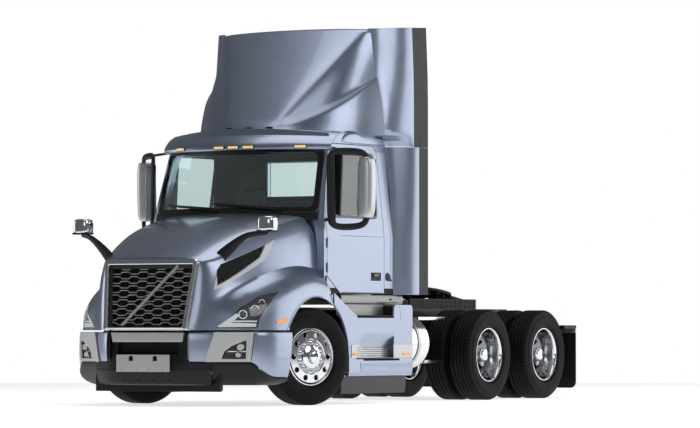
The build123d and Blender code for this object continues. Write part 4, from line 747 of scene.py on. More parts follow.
# -------------------------------------------------------------------------- studio
@dataclass
class Studio:
    """The floor, the light and the camera."""

    azimuth: float = math.radians(30.4585)
    pitch: float = math.radians(1.6796)
    place: tuple[float, float, float] = (22.5, -35.606, 0.7622)
    focal_pixels: float = 4008.9
    frame_width: float = 700.0
    sensor: float = 36.0
    floor_radius: float = 16.0
    floor_glow: float = 0.68
    ambient: float = 0.13

    def camera(self) -> None:
        """Set the camera, its place given from the front axle."""
        data = bpy.data.cameras.new("view")
        data.sensor_width = self.sensor
        data.lens = self.sensor * self.focal_pixels / self.frame_width
        data.clip_end = 1000.0
        eye = bpy.data.objects.new("view", data)
        forward = Vector((
            -math.sin(self.azimuth) * math.cos(self.pitch), math.cos(self.azimuth) * math.cos(self.pitch),
            math.sin(self.pitch)
        ))
        eye.rotation_euler = forward.to_track_quat("-Z", "Y").to_euler()
        x, y, z = self.place
        eye.location = (x, aft(y), z)
        bpy.context.scene.collection.objects.link(eye)
        bpy.context.scene.camera = eye

    def floor(self) -> None:
        """Lay a pale floor that keeps the shadow."""
        form = Form()
        bmesh.ops.create_circle(form.mesh, cap_ends=True, segments=96, radius=self.floor_radius)
        mesh = bpy.data.meshes.new("floor")
        form.mesh.to_mesh(mesh)
        form.mesh.free()
        floor = bpy.data.objects.new("floor", mesh)
        bpy.context.scene.collection.objects.link(floor)
        made = bpy.data.materials.new("floor")
        made.use_nodes = True
        nodes, links = made.node_tree.nodes, made.node_tree.links
        shader = nodes["Principled BSDF"]
        shader.inputs["Base Color"].default_value = (0.9, 0.9, 0.9, 1.0)
        shader.inputs["Roughness"].default_value = 0.9
        shader.inputs["Specular IOR Level"].default_value = 0.1
        shader.inputs["Emission Color"].default_value = (1.0, 1.0, 1.0, 1.0)
        path = nodes.new("ShaderNodeLightPath")
        glow = nodes.new("ShaderNodeMath")
        glow.operation = "MULTIPLY"
        glow.inputs[1].default_value = self.floor_glow
        last = path.outputs["Is Camera Ray"]
        for ray in ("Is Glossy Ray", "Is Transmission Ray"):
            either = nodes.new("ShaderNodeMath")
            either.operation = "MAXIMUM"
            links.new(last, either.inputs[0])
            links.new(path.outputs[ray], either.inputs[1])
            last = either.outputs["Value"]
        links.new(last, glow.inputs[0])
        links.new(glow.outputs["Value"], shader.inputs["Emission Strength"])
        mesh.materials.append(made)

    def world(self) -> None:
        """Light the studio softly, with a white background for the eye."""
        world = bpy.data.worlds.new("studio")
        world.use_nodes = True
        bpy.context.scene.world = world
        nodes, links = world.node_tree.nodes, world.node_tree.links
        ground = nodes["Background"]
        ground.inputs["Color"].default_value = (0.9, 0.94, 1.0, 1.0)
        ground.inputs["Strength"].default_value = self.ambient
        seen = nodes.new("ShaderNodeBackground")
        seen.inputs["Color"].default_value = (1.0, 1.0, 1.0, 1.0)
        seen.inputs["Strength"].default_value = 1.0
        path = nodes.new("ShaderNodeLightPath")
        either = nodes.new("ShaderNodeMath")
        either.operation = "MAXIMUM"
        mix = nodes.new("ShaderNodeMixShader")
        links.new(path.outputs["Is Camera Ray"], either.inputs[0])
        links.new(path.outputs["Is Transmission Ray"], either.inputs[1])
        links.new(either.outputs["Value"], mix.inputs["Fac"])
        links.new(ground.outputs["Background"], mix.inputs[1])
        links.new(seen.outputs["Background"], mix.inputs[2])
        links.new(mix.outputs["Shader"], nodes["World Output"].inputs["Surface"])

    def lamp(self, name: str, place: Point, target: Point, size: tuple[float, float], power: float) -> None:
        """Hang a soft rectangular lamp that faces a point.

        Args:
            name: The lamp's name.
            place: Where it hangs.
            target: The point that it faces.
            size: Its width and height.
            power: Its power in watts.
        """
        data = bpy.data.lights.new(name, "AREA")
        data.shape = "RECTANGLE"
        data.size, data.size_y = size
        data.energy = power
        light = bpy.data.objects.new(name, data)
        light.location = place
        light.rotation_euler = (Vector(target) - Vector(place)).to_track_quat("-Z", "Y").to_euler()
        bpy.context.scene.collection.objects.link(light)

    def build(self) -> None:
        """Set up the whole studio."""
        self.camera()
        self.floor()
        self.world()
        bpy.context.scene.view_settings.view_transform = "Standard"
        self.lamp("rear_panel", (12.0, 14.0, 5.6), (0.0, 1.0, 3.4), (16.0, 11.0), 860.0)
        self.lamp("side_light", (13.0, -3.0, 8.0), (0.0, 0.0, 1.5), (8.0, 6.0), 330.0)
        self.lamp("top_light", (0.0, 0.0, 12.0), (0.0, 0.0, 1.0), (8.0, 12.0), 460.0)
        self.lamp("front_fill", (5.0, -18.0, 5.0), (0.0, -2.0, 1.5), (7.0, 4.0), 150.0)
        self.lamp("far_strip", (-14.0, -5.0, 3.5), (0.0, -1.0, 2.0), (2.5, 6.0), 150.0)


# --------------------------------------------------------------------------- truck
class Carried:
    """CAD nodes whose shape is right: rounded copies with their finishes."""

    bevel: float = 0.004

    def __init__(self, frame: dict) -> None:
        """Note every node's body and finish.
        """
        bodies = frame["record"]["behaviour"]["bodies"]
        self.body = {node: body for body, members in bodies.items() for node in members}
        self.finish = {
            part["node"]: SLOT_FINISHES[part["material_slot"]] for part in frame["record"]["subparts"]
        }

    def build(self) -> None:
        """Dress every node that no other piece stands for."""
        for node, body in sorted(self.body.items()):
            if bpy.data.objects[node].hide_render:
                continue
            piece = deliver(
                from_node(node), f"{node}_piece", self.finish[node], body, replaces=[node], bevel=self.bevel
            )
            piece["carried"] = True


# ---------------------------------------------------------------------------- hood
@dataclass
class Hood:
    """The tilting hood: a sculpted skin with its arches, lamp and vent openings."""

    wall: float = 0.012
    arch_radius: float = 0.625
    arch_place: tuple[float, float] = (-0.03, 0.5)
    gap: float = 0.004
    # rows run back from the grille's opening; columns run from the middle to the sill:
    # middle, crown, edge, shoulder, brow, flank, valley, ridge, outer, side, sill
    rows: tuple = (
        (
            (0, -1.318, 1.487), (0.28, -1.318, 1.487), (0.5, -1.318, 1.484), (0.556, -1.328, 1.458),
            (0.548, -1.35, 1.35), (0.535, -1.375, 1.2), (0.525, -1.395, 1.08), (0.515, -1.415, 0.98),
            (0.508, -1.43, 0.9), (0.503, -1.445, 0.84), (0.499, -1.452, 0.776)
        ),
        (
            (0, -1.33, 1.52), (0.28, -1.328, 1.52), (0.52, -1.322, 1.514), (0.612, -1.3, 1.47),
            (0.622, -1.325, 1.36), (0.615, -1.35, 1.2), (0.608, -1.37, 1.08), (0.602, -1.385, 0.98),
            (0.598, -1.4, 0.9), (0.592, -1.412, 0.84), (0.588, -1.42, 0.776)
        ),
        (
            (0, -1.215, 1.59), (0.28, -1.21, 1.586), (0.55, -1.195, 1.565), (0.69, -1.16, 1.505),
            (0.73, -1.185, 1.38), (0.722, -1.235, 1.22), (0.72, -1.26, 1.1), (0.73, -1.265, 0.99),
            (0.75, -1.255, 0.9), (0.768, -1.245, 0.84), (0.775, -1.24, 0.776)
        ),
        (
            (0, -0.95, 1.715), (0.28, -0.947, 1.711), (0.575, -0.935, 1.69), (0.745, -0.925, 1.618),
            (0.79, -0.955, 1.49), (0.8, -1.01, 1.33), (0.824, -1.06, 1.19), (0.925, -1.115, 1.085),
            (1.008, -1.122, 0.96), (1.036, -1.116, 0.87), (1.044, -1.112, 0.776)
        ),
        (
            (0, -0.6, 1.852), (0.29, -0.6, 1.848), (0.605, -0.6, 1.83), (0.79, -0.6, 1.768),
            (0.848, -0.6, 1.64), (0.872, -0.64, 1.49), (0.905, -0.7, 1.335), (1.005, -0.77, 1.245),
            (1.12, -0.8, 1.115), (1.158, -0.805, 0.96), (1.165, -0.81, 0.776)
        ),
        (
            (0, -0.3, 1.93), (0.3, -0.3, 1.926), (0.64, -0.29, 1.912), (0.825, -0.28, 1.86),
            (0.895, -0.28, 1.73), (0.925, -0.3, 1.58), (0.96, -0.33, 1.43), (1.065, -0.36, 1.345),
            (1.155, -0.38, 1.215), (1.19, -0.39, 1.05), (1.195, -0.4, 0.776)
        ),
        (
            (0, -0.09, 1.975), (0.31, -0.08, 1.971), (0.665, -0.04, 1.96), (0.858, 0.0, 1.92),
            (0.938, 0.02, 1.78), (0.968, 0.02, 1.62), (0.985, 0.01, 1.45), (1.068, 0.0, 1.38),
            (1.166, -0.01, 1.262), (1.198, -0.01, 1.05), (1.2, -0.01, 0.776)
        ),
        (
            (0, 0.03, 2.0), (0.31, 0.046, 1.997), (0.67, 0.11, 1.988), (0.88, 0.19, 1.955),
            (0.968, 0.268, 1.82), (0.992, 0.28, 1.62), (0.998, 0.283, 1.405), (1.052, 0.283, 1.345),
            (1.155, 0.283, 1.232), (1.197, 0.283, 1.05), (1.2, 0.283, 0.776)
        )
    )
    shoulder: int = 3
    valley: int = 6
    ridge: int = 7
    lamp_side: tuple = (
        (-1.285, 0.8), (-1.23, 0.872), (-1.11, 1.01), (-0.915, 1.12), (-0.655, 1.168), (-0.775, 1.09),
        (-0.91, 0.99), (-0.98, 0.9), (-1.012, 0.8)
    )
    vent_side: tuple = ((-1.222, 1.226), (-0.633, 1.523), (-0.505, 1.668), (-1.154, 1.454), (-1.21, 1.39))
    vent_frame_side: tuple = (
        (-1.262, 1.18), (-0.59, 1.49), (-0.36, 1.712), (-0.5, 1.66), (-1.15, 1.446), (-1.202, 1.384)
    )

    def cage(self, outward: float = 0.0) -> Form:
        """Give the hood's whole skin, moved out along its own normals.

        Args:
            outward: How far the skin is moved.

        Returns:
            The skin, subdivided.
        """
        form = Form()
        lifted = [[(x, aft(y), z) for x, y, z in row] for row in self.rows]
        form.skin(
            lifted, creases={self.shoulder: 0.8, self.valley: 0.7, self.ridge: 0.3},
            inside=(0, aft(-0.4), 1.0)
        )
        form.mirrored().weld()
        form.rounded(2)
        if outward:
            form.grow(outward)
        return form

    def side_plug(self, outline: Outline, grown: float = 0.0, low: float = 0.55) -> Form:
        """Give the prism that a side view's outline cuts through both flanks.

        Args:
            outline: Points (y, z) seen from the side.
            grown: How far the prism is grown.
            low: The smallest distance from the middle.

        Returns:
            The prism.
        """
        middle_y = sum(y for y, z in outline) / len(outline)
        middle_z = sum(z for y, z in outline) / len(outline)
        spread = []
        for y, z in outline:
            away = Vector((y - middle_y, z - middle_z))
            away = away.normalized() * grown
            spread.append((aft(y) + away.x, z + away.y))
        return Form().plate(spread, upright(low), 1.4 - low).mirrored()

    def arch(self, radius: float) -> Form:
        """Give the round bore of both wheel arches."""
        y, z = self.arch_place
        return Form().rod((0.5, aft(y), z), (1.4, aft(y), z), radius, sides=96).mirrored()

    def panel(self) -> None:
        """Make the painted skin with its openings."""
        deliver(
            self.cage(), "hood_panel", PAINT, "hood", replaces=["hood"], wall=self.wall,
            cutters=[
                self.side_plug(self.lamp_side, self.gap), self.side_plug(self.vent_frame_side, 0.0),
                self.arch(self.arch_radius)
            ]
        )

    def liner(self) -> None:
        """Line the arches in dark plastic."""
        y, z = self.arch_place
        ribs = []
        for step in range(25):
            angle = math.radians(-12 + step * 204 / 24)
            row = []
            for x in (0.56, 0.8, 1.05, 1.186):
                row.append(
                    (x, aft(y) - self.arch_radius * math.cos(angle), z + self.arch_radius * math.sin(angle))
                )
            ribs.append(row)
        form = Form().skin(ribs, inside=(0.8, aft(y), z))
        keep = Form().box((0.3, aft(-1.0), 0.8), (1.3, aft(0.28), 2.0)).mirrored()
        deliver(form.mirrored(), "arch_liners", CHARCOAL, "hood", wall=-0.006, within=keep)

    def lips(self) -> None:
        """Make the flat bright lip that follows each arch."""
        deliver(
            self.cage(0.004), "arch_lips", PAINT, "hood", wall=0.03,
            within=self.arch(self.arch_radius + 0.018), cutters=[self.arch(self.arch_radius - 0.006)],
            bevel=0.002
        )

    def build(self) -> None:
        """Make the hood's own pieces."""
        self.panel()
        self.liner()
        self.lips()


# ------------------------------------------------------------------- hood details
@dataclass
class HoodVents:
    """The side vents: a bright frame and a dark mesh set back in the flank."""

    hood: Hood
    depth: float = 0.03
    frame_proud: float = 0.003
    cell: float = 0.034
    wire: float = 0.0045

    def frame(self) -> None:
        """Make the bright frame round the mesh."""
        deliver(
            self.hood.cage(self.frame_proud), "hood_vent_frames", SILVER, "hood", wall=0.016,
            within=self.hood.side_plug(self.hood.vent_frame_side, -0.002),
            cutters=[self.hood.side_plug(self.hood.vent_side, 0.0)], bevel=0.002
        )

    def pan(self) -> None:
        """Make the dark floor behind the mesh."""
        deliver(
            self.hood.cage(-self.depth), "hood_vent_pans", CHARCOAL, "hood", replaces=["hood_vents"],
            wall=0.006, within=self.hood.side_plug(self.hood.vent_frame_side, 0.012)
        )

    def mesh(self) -> None:
        """Make the honeycomb: a skin with a hexagonal hole in each cell."""
        holes = Form()
        radius = self.cell / 2 - self.wire / 2
        low, high = aft(-1.26), aft(-0.45)
        row = 0
        z = 1.2
        while z < 1.72:
            y = low + (row % 2) * self.cell / 2
            while y < high:
                corners = [
                    (y + radius * math.sin(step * math.pi / 3), z + radius * math.cos(step * math.pi / 3))
                    for step in range(6)
                ]
                if self._inside(y - aft(0), z):
                    holes.plate(corners, upright(0.62), 0.5)
                y += self.cell
            z += self.cell * math.sqrt(3) / 2
            row += 1
        deliver(
            self.hood.cage(-self.depth / 2), "hood_vent_mesh", CHARCOAL, "hood", wall=0.006,
            within=self.hood.side_plug(self.hood.vent_side, 0.006), cutters=[holes.mirrored()]
        )

    def _inside(self, y: float, z: float) -> bool:
        """Tell whether a side view's point lies in the vent, near enough for a whole cell.

        Args:
            y: The point's place along the truck.
            z: Its height.

        Returns:
            Whether it lies inside.
        """
        outline = self.hood.vent_side
        sign = None
        for (y0, z0), (y1, z1) in zip(outline, outline[1:] + outline[:1]):
            cross = (y1 - y0) * (z - z0) - (z1 - z0) * (y - y0)
            reach = cross / math.hypot(y1 - y0, z1 - z0)
            if sign is None:
                sign = 1 if reach > 0 else -1
            if reach * sign < self.cell * 0.25:
                return False
        return True

    def build(self) -> None:
        """Make the vents."""
        self.frame()
        self.pan()
        self.mesh()


@dataclass
class Headlamps:
    """The headlamps: a clear cover that follows the hood, and what lies behind it."""

    hood: Hood
    wall: float = 0.005
    depth: float = 0.085
    rim: float = 0.01

    def cover(self) -> None:
        """Make the clear covers."""
        deliver(
            self.hood.cage(0.0), "headlamp_covers", LENS, "hood", replaces=["headlamps"], wall=self.wall,
            within=self.hood.side_plug(self.hood.lamp_side, -0.003)
        )

    def bowl(self) -> None:
        """Make the dark housings, open behind the covers."""
        hollow = self.hood.cage(0.004).thick(self.depth)
        shape = self.hood.side_plug(self.hood.lamp_side, -self.rim)
        piece = deliver(
            self.hood.cage(-self.wall - 0.001), "headlamp_bowls", CHARCOAL, "hood", wall=self.depth,
            within=self.hood.side_plug(self.hood.lamp_side, -0.003)
        )
        trimmed = bpy.data.meshes.new("hollow")
        hollow.mesh.to_mesh(trimmed)
        hollow.mesh.free()
        core = bpy.data.objects.new("hollow", trimmed)
        bpy.context.scene.collection.objects.link(core)
        cut_out(core, shape, keep=True)
        tool = Form()
        tool.mesh.from_mesh(core.data)
        bpy.data.objects.remove(core)
        cut_out(piece, tool)
        shade(piece.data)

    def light_bar(self) -> None:
        """Make the bright bar along the bottom of each lamp and the strip above it."""
        bar = (
            (-1.28, 0.8), (-1.226, 0.868), (-1.15, 0.95), (-1.122, 0.938), (-1.188, 0.85), (-1.005, 0.842),
            (-1.012, 0.8)
        )
        strip = ((-1.205, 0.858), (-1.185, 0.874), (-0.945, 0.874), (-0.95, 0.858))
        for name, outline, inset in (("lamp_bars", bar, -0.014), ("lamp_strips", strip, -0.02)):
            deliver(
                self.hood.cage(inset), name, LAMP_WHITE, "hood", wall=0.02,
                within=self.hood.side_plug(outline, -0.004), bevel=0.002
            )

    def projectors(self) -> None:
        """Make the three round projectors behind the cover."""
        ring, glass = Form(), Form()
        for y, z, x, radius in (
            (-1.05, 0.935, 0.915, 0.036), (-0.93, 0.985, 0.985, 0.036), (-0.83, 1.06, 1.005, 0.024)
        ):
            axis = Matrix.Translation((x, aft(y), z)) @ Matrix.Rotation(math.radians(-52), 4, "Z")
            ring.turned(
                (
                    (-0.05, radius * 0.55), (0.0, radius * 1.25), (0.008, radius * 1.25), (0.008, radius),
                    (-0.01, radius * 0.9)
                ),
                axis, 32
            )
            glass.turned(
                ((-0.012, radius * 0.9), (0.004, radius * 0.75), (0.012, radius * 0.4), (0.014, 0.0005)),
                axis, 24
            )
        deliver(ring.mirrored(), "projector_rings", CHROME, "hood")
        deliver(glass.mirrored(), "projector_glasses", LENS, "hood")

    def markers(self) -> None:
        """Make the amber markers on the fenders."""
        outline = ((-0.784, 0.848), (-0.772, 0.868), (-0.612, 0.898), (-0.594, 0.89), (-0.604, 0.86))
        for name, finish, grown, out in (
            ("fender_marker_bases", CHARCOAL, 0.004, 0.002), ("fender_markers", AMBER, 0.0, 0.007)
        ):
            deliver(
                self.hood.cage(out), name, finish, "hood", wall=0.012,
                within=self.hood.side_plug(outline, grown), bevel=0.002
            )

    def build(self) -> None:
        """Make the lamps."""
        self.markers()
        self.cover()
        self.bowl()
        self.light_bar()
        self.projectors()


@dataclass
class Grille:
    """The radiator grille: a bevelled bright surround, a dark border and a wire mesh."""

    foot: tuple[float, float] = (-1.451, 0.776)
    lean: float = math.radians(10.2)
    height: float = 0.722
    half_foot: float = 0.503
    half_head: float = 0.563
    corner: float = 0.04
    wires: int = 13
    first_wire: float = 0.072
    wire_pitch: float = 0.0478
    wave: float = 0.0105
    steepness: float = 17.4
    period: float = 0.217
    wire_radius: float = 0.0046

    def plane(self) -> Matrix:
        """Give the grille's plane: x across, y up along it, z forward.

        Returns:
            The plane.
        """
        y, z = self.foot
        turn = Matrix.Rotation(math.radians(90) - self.lean, 4, "X")
        return Matrix.Translation((0, aft(y), z)) @ turn

    def loop(self, inset: float, lift: float) -> list[Vector]:
        """Give the surround's outline drawn in by an inset, with round upper corners.

        Args:
            inset: How far the outline is drawn in.
            lift: How far it stands before the plane.

        Returns:
            The outline's points.
        """
        foot, head = self.half_foot - inset, self.half_head - inset
        low, high = inset * 0.5, self.height - inset
        radius = max(self.corner - inset * 0.5, 0.012)
        half = [(0.0, low), (foot * 0.5, low), (foot - 0.012, low), (foot, low + 0.012)]
        slant = (head - foot) / (high - low)
        for share in (0.25, 0.5, 0.75):
            z = low + (high - low) * share
            half.append((foot + slant * (z - low), z))
        for step in range(6):
            angle = math.radians(step * 18)
            half.append(
                (
                    head - slant * radius - radius * (1 - math.cos(angle)),
                    high - radius * (1 - math.sin(angle))
                )
            )
        half += [(head * 0.5, high), (0.0, high)]
        points = half + [(-x, y) for x, y in half[-2:0:-1]]
        plane = self.plane()
        return [plane @ Vector((x, y, lift)) for x, y in points]

    def surround(self) -> None:
        """Make the bright surround."""
        sections = (
            (-0.01, -0.03), (-0.01, 0.014), (0.003, 0.031), (0.038, 0.036), (0.046, 0.03), (0.05, -0.03)
        )
        form = Form().skin([self.loop(i, l) for i, l in sections], closed=True)
        deliver(form, "grille_surround", SILVER_BRIGHT, "hood", replaces=["grille"], bevel=0.002)
        sections = ((0.05, -0.004), (0.05, 0.004), (0.08, -0.01), (0.084, -0.045), (0.05, -0.045))
        border = Form().skin([self.loop(i, l) for i, l in sections], closed=True)
        deliver(border, "grille_border", CHARCOAL, "hood")

    def wire_height(self, wire: int, x: float) -> float:
        """Give a wire's height at a place across, as its flats and slopes alternate.

        Args:
            wire: The wire's number, from below.
            x: The place across.

        Returns:
            The height in the grille's plane.
        """
        base = self.first_wire + wire * self.wire_pitch
        phase = (x / self.period + (0.5 if wire % 2 else 0.0)) % 1.0
        rise = min(1.0, max(-1.0, (abs(phase - 0.5) - 0.25) * self.steepness))
        return base + self.wave * rise

    def mesh(self) -> None:
        """Make the wavy wires, and behind them a backing sheet and the struts that carry them, both in
        painted shadow black.
        """
        plane = self.plane()
        form = Form()
        step = self.period / 34
        for wire in range(self.wires):
            half = 0.43 + 0.052 * (self.first_wire + wire * self.wire_pitch) / self.height
            count = int(2 * half / step)
            ribs = []
            for index in range(count + 1):
                x = -half + index * 2 * half / count
                z = self.wire_height(wire, x)
                ribs.append([
                    plane @ Vector((x, z + dz * self.wire_radius, -0.02 + dy * self.wire_radius * 2.2))
                    for dz, dy in ((1, 0.6), (1, -1), (-1, -1), (-1, 0.6), (-0.3, 1), (0.3, 1))
                ])
            form.skin(ribs, closed=True)
        deliver(form, "grille_wires", SATIN_WIRE, "hood")
        # The backing and its struts are painted shadow: near-black where shade falls behind the wires.
        back = Form().plate(
            ((-0.47, 0.03), (0.47, 0.03), (0.53, self.height - 0.04), (-0.53, self.height - 0.04)),
            plane @ Matrix.Translation((0, 0, -0.08)), 0.004
        )
        for column in range(-3, 4):
            x = column * self.period / 2
            back.box((x - 0.003, 0.03, -0.05), (x + 0.003, self.height - 0.05, -0.026), turn=plane)
        deliver(back, "grille_backing", PAINTED_SHADOW_BLACK, "hood")

    def strut(self) -> None:
        """Make the plain bar that braces the mesh from corner to corner."""
        plane = self.plane()
        start, end = Vector((-0.3, 0.048, 0)), Vector((0.318, 0.668, 0))
        run = end - start
        turn = plane @ Matrix.Translation(start) @ Matrix.Rotation(math.atan2(run.y, run.x), 4, "Z")
        form = Form().box((0, -0.013, -0.016), (run.length, 0.013, 0.012), bevel=0.006, turn=turn)
        deliver(form, "grille_strut", SILVER, "hood")

    def build(self) -> None:
        """Make the grille."""
        self.surround()
        self.mesh()
        self.strut()


# -------------------------------------------------------------------------- bumper
@dataclass
class Bumper:
    """The bumper: painted corners, satin panels with lamps, and a dark lower part."""

    wall: float = 0.014
    seam: float = 0.004
    plan: tuple = (
        (0.0, -1.455), (0.3, -1.45), (0.473, -1.42), (0.64, -1.331), (0.85, -1.195), (1.04, -1.075),
        (1.125, -0.965), (1.175, -0.8), (1.2, -0.55)
    )
    top: float = 0.76
    middle: float = 0.452
    bottom: float = 0.215
    # x and height along the painted corner's lower edge, from the lamp panel to the rear
    hem: tuple = ((1.02, 0.456), (1.06, 0.432), (1.095, 0.388), (1.13, 0.343), (1.165, 0.3), (1.2, 0.29))
    tail: float = 7.64

    def at(self, place: float, out: float = 0.0) -> tuple[float, float]:
        """Give x and y at a place along the plan, moved out from it.

        Args:
            place: The distance along the plan.
            out: How far to move out.

        Returns:
            The point's x and y.
        """
        def point(along: float) -> Vector:
            """Give the plan's smooth curve at a distance along it."""
            index = min(int(along), len(self.plan) - 2)
            share = along - index
            ends = [self.plan[max(0, min(len(self.plan) - 1, index + k))] for k in (-1, 0, 1, 2)]
            if index == 0:
                ends[0] = (-self.plan[1][0], self.plan[1][1])
            a, b, c, d = (Vector(p) for p in ends)
            return 0.5 * (
                2 * b + (c - a) * share + (2 * a - 5 * b + 4 * c - d) * share**2
                + (3 * b - a - 3 * c + d) * share**3
            )

        here = point(place)
        ahead = point(min(place + 0.02, len(self.plan) - 1 - 1e-6)) - point(max(place - 0.02, 0.0))
        normal = Vector((-ahead.y, ahead.x)).normalized() * -1
        here += normal * out
        return here.x, aft(here.y)

    def place_of(self, x: float) -> float:
        """Give the place along the plan that has this x.

        Args:
            x: The place across.

        Returns:
            The distance along the plan.
        """
        low, high = 0.0, len(self.plan) - 1.0
        for _ in range(30):
            middle = (low + high) / 2
            if self.at(middle)[0] < x:
                low = middle
            else:
                high = middle
        return low

    def strip(
        self, low_edge: tuple[float, float], high_edge: tuple[float, float],
        levels: Sequence[tuple[float, float]], steps: int = 10
    ) -> Form:
        """Make a panel between two slanted edges.

        Args:
            low_edge: The lower edge's two places.
            high_edge: The upper edge's two places.
            levels: Pairs of height and distance out.
            steps: How many faces lie between the edges.

        Returns:
            The open skin.
        """
        ribs = []
        for index in range(steps + 1):
            share = index / steps
            rib = []
            for z, out in levels:
                rise = (z - levels[0][0]) / (levels[-1][0] - levels[0][0])
                start = low_edge[0] + (high_edge[0] - low_edge[0]) * rise
                end = low_edge[1] + (high_edge[1] - low_edge[1]) * rise
                x, y = self.at(start + (end - start) * share, out)
                rib.append((x, y, z))
            ribs.append(rib)
        return Form().skin(ribs, inside=(0, aft(-0.4), 0.5))

    def hem_at(self, place: float) -> float:
        """Give the height of the painted corner's lower edge at a place along the plan.

        Args:
            place: The distance along the plan.

        Returns:
            The height.
        """
        x = self.at(place)[0]
        for (x0, z0), (x1, z1) in zip(self.hem, self.hem[1:]):
            if x <= x1:
                return z0 + (z1 - z0) * max(0.0, x - x0) / (x1 - x0)
        return self.hem[-1][1]

    def wrap(
        self, ends: tuple, levels: Outline, low: Callable[[float], float], high: Callable[[float], float],
        steps: int = 16
    ) -> Form:
        """Make a panel whose lower and upper edges run at heights of their own.

        Args:
            ends: Places of its first edge and its last, each below and above.
            levels: Pairs of the share of its height and the distance out.
            low: The lower edge's height at a place.
            high: The upper edge's height at a place.
            steps: Faces along it.

        Returns:
            The panel.
        """
        (start_low, start_high), (end_low, end_high) = ends
        ribs = []
        for index in range(steps + 1):
            along = index / steps
            rib = []
            for share, out in levels:
                start = start_low + (start_high - start_low) * share
                end = end_low + (end_high - end_low) * share
                place = start + (end - start) * along
                x, y = self.at(place, out)
                rib.append((x, y, low(place) + (high(place) - low(place)) * share))
            ribs.append(rib)
        return Form().skin(ribs, inside=(0, aft(-0.4), 0.5))

    def painted(self) -> None:
        """Make the painted panels beside the middle and round the corners."""
        bulge = ((self.middle + 0.006, 0.0), (0.55, 0.006), (0.66, 0.006), (0.735, 0.0), (self.top, -0.012))
        inner = self.strip(
            (self.place_of(0.5), self.place_of(0.642) - 0.03),
            (self.place_of(0.5), self.place_of(0.728) - 0.03), bulge
        )
        swell = (
            (0.0, -0.008), (0.04, 0.002), (0.2, 0.01), (0.5, 0.012), (0.85, 0.01), (0.96, 0.004),
            (1.0, -0.008)
        )
        ends = ((self.place_of(1.034), self.place_of(1.06)), (self.tail, 8.0))
        corner = self.wrap(ends, swell, self.hem_at, lambda place: self.top)
        inner.absorb(corner.mesh)
        deliver(
            inner.mirrored(), "bumper_painted_panels", PAINT, replaces=["bumper"], wall=self.wall,
            bevel=0.003
        )

    def satin_panels(self) -> None:
        """Make the satin panels that hold the fog lamps."""
        levels = (
            (self.middle + 0.002, 0.004), (0.5, 0.008), (0.7, 0.008), (0.742, 0.004),
            (self.top - 0.002, -0.006)
        )
        form = self.strip(
            (self.place_of(0.642), self.place_of(1.03)), (self.place_of(0.728), self.place_of(1.056)),
            levels, 12
        )
        deliver(
            form.mirrored(), "bumper_satin_panels", SILVER, wall=self.wall, bevel=0.003,
            cutters=[self.fog_plug(0.0)]
        )

    def fog_plug(self, grown: float) -> Form:
        """Give the prism that cuts the fog lamp openings, seen from the front.

        Args:
            grown: How far the prism is grown.

        Returns:
            The prism.
        """
        outline = (
            (0.79, 0.484), (0.815, 0.56), (0.88, 0.615), (0.99, 0.668), (1.012, 0.668), (1.006, 0.486)
        )
        middle = Vector((0.92, 0.57))
        spread = []
        for point in outline:
            away = (Vector(point) - middle).normalized() * grown
            spread.append((point[0] + away.x, point[1] + away.y))
        return Form().plate(spread, crosswise(aft(-0.95)), 0.5).mirrored()

    def fog_lamps(self) -> None:
        """Make the fog lamps: a dark rim, a bowl in painted shadow black with two lamps and a blade between.
        """
        levels = ((self.middle + 0.01, 0.012), (0.5, 0.012), (0.7, 0.012), (0.75, 0.012))
        ends = ((self.place_of(0.7), self.place_of(1.045)), (self.place_of(0.74), self.place_of(1.045)))
        deliver(
            self.strip(*ends, levels).mirrored(), "fog_lamp_rims", CHARCOAL, wall=0.02,
            within=self.fog_plug(0.004), cutters=[self.fog_plug(-0.01)], bevel=0.002
        )
        # The bowl is painted shadow: near-black for the shade inside the lamp.
        deep = tuple((z, -0.05) for z, _ in levels)
        deliver(
            self.strip(*ends, deep).mirrored(), "fog_lamp_bowls", PAINTED_SHADOW_BLACK, wall=0.006,
            within=self.fog_plug(0.004)
        )
        flat = tuple((z, 0.004) for z, _ in levels)
        deliver(
            self.strip(*ends, flat).mirrored(), "fog_lamp_covers", LENS, wall=0.003,
            within=self.fog_plug(-0.01)
        )
        lamps = Form()
        for x, z, radius in ((0.95, 0.605, 0.034), (0.93, 0.525, 0.026)):
            px, py = self.at(self.place_of(x), -0.012)
            axis = Matrix.Translation((px, py, z)) @ Matrix.Rotation(math.radians(-60), 4, "Z")
            lamps.turned(
                (
                    (-0.03, radius * 0.5), (0.0, radius), (0.006, radius), (0.002, radius * 0.8),
                    (-0.016, 0.001)
                ),
                axis, 24
            )
        start, end = self.at(self.place_of(0.815), -0.012), self.at(self.place_of(1.0), -0.012)
        lamps.rod((*start, 0.56), (*end, 0.56), 0.006, 8)
        deliver(lamps.mirrored(), "fog_lamp_reflectors", CHROME)

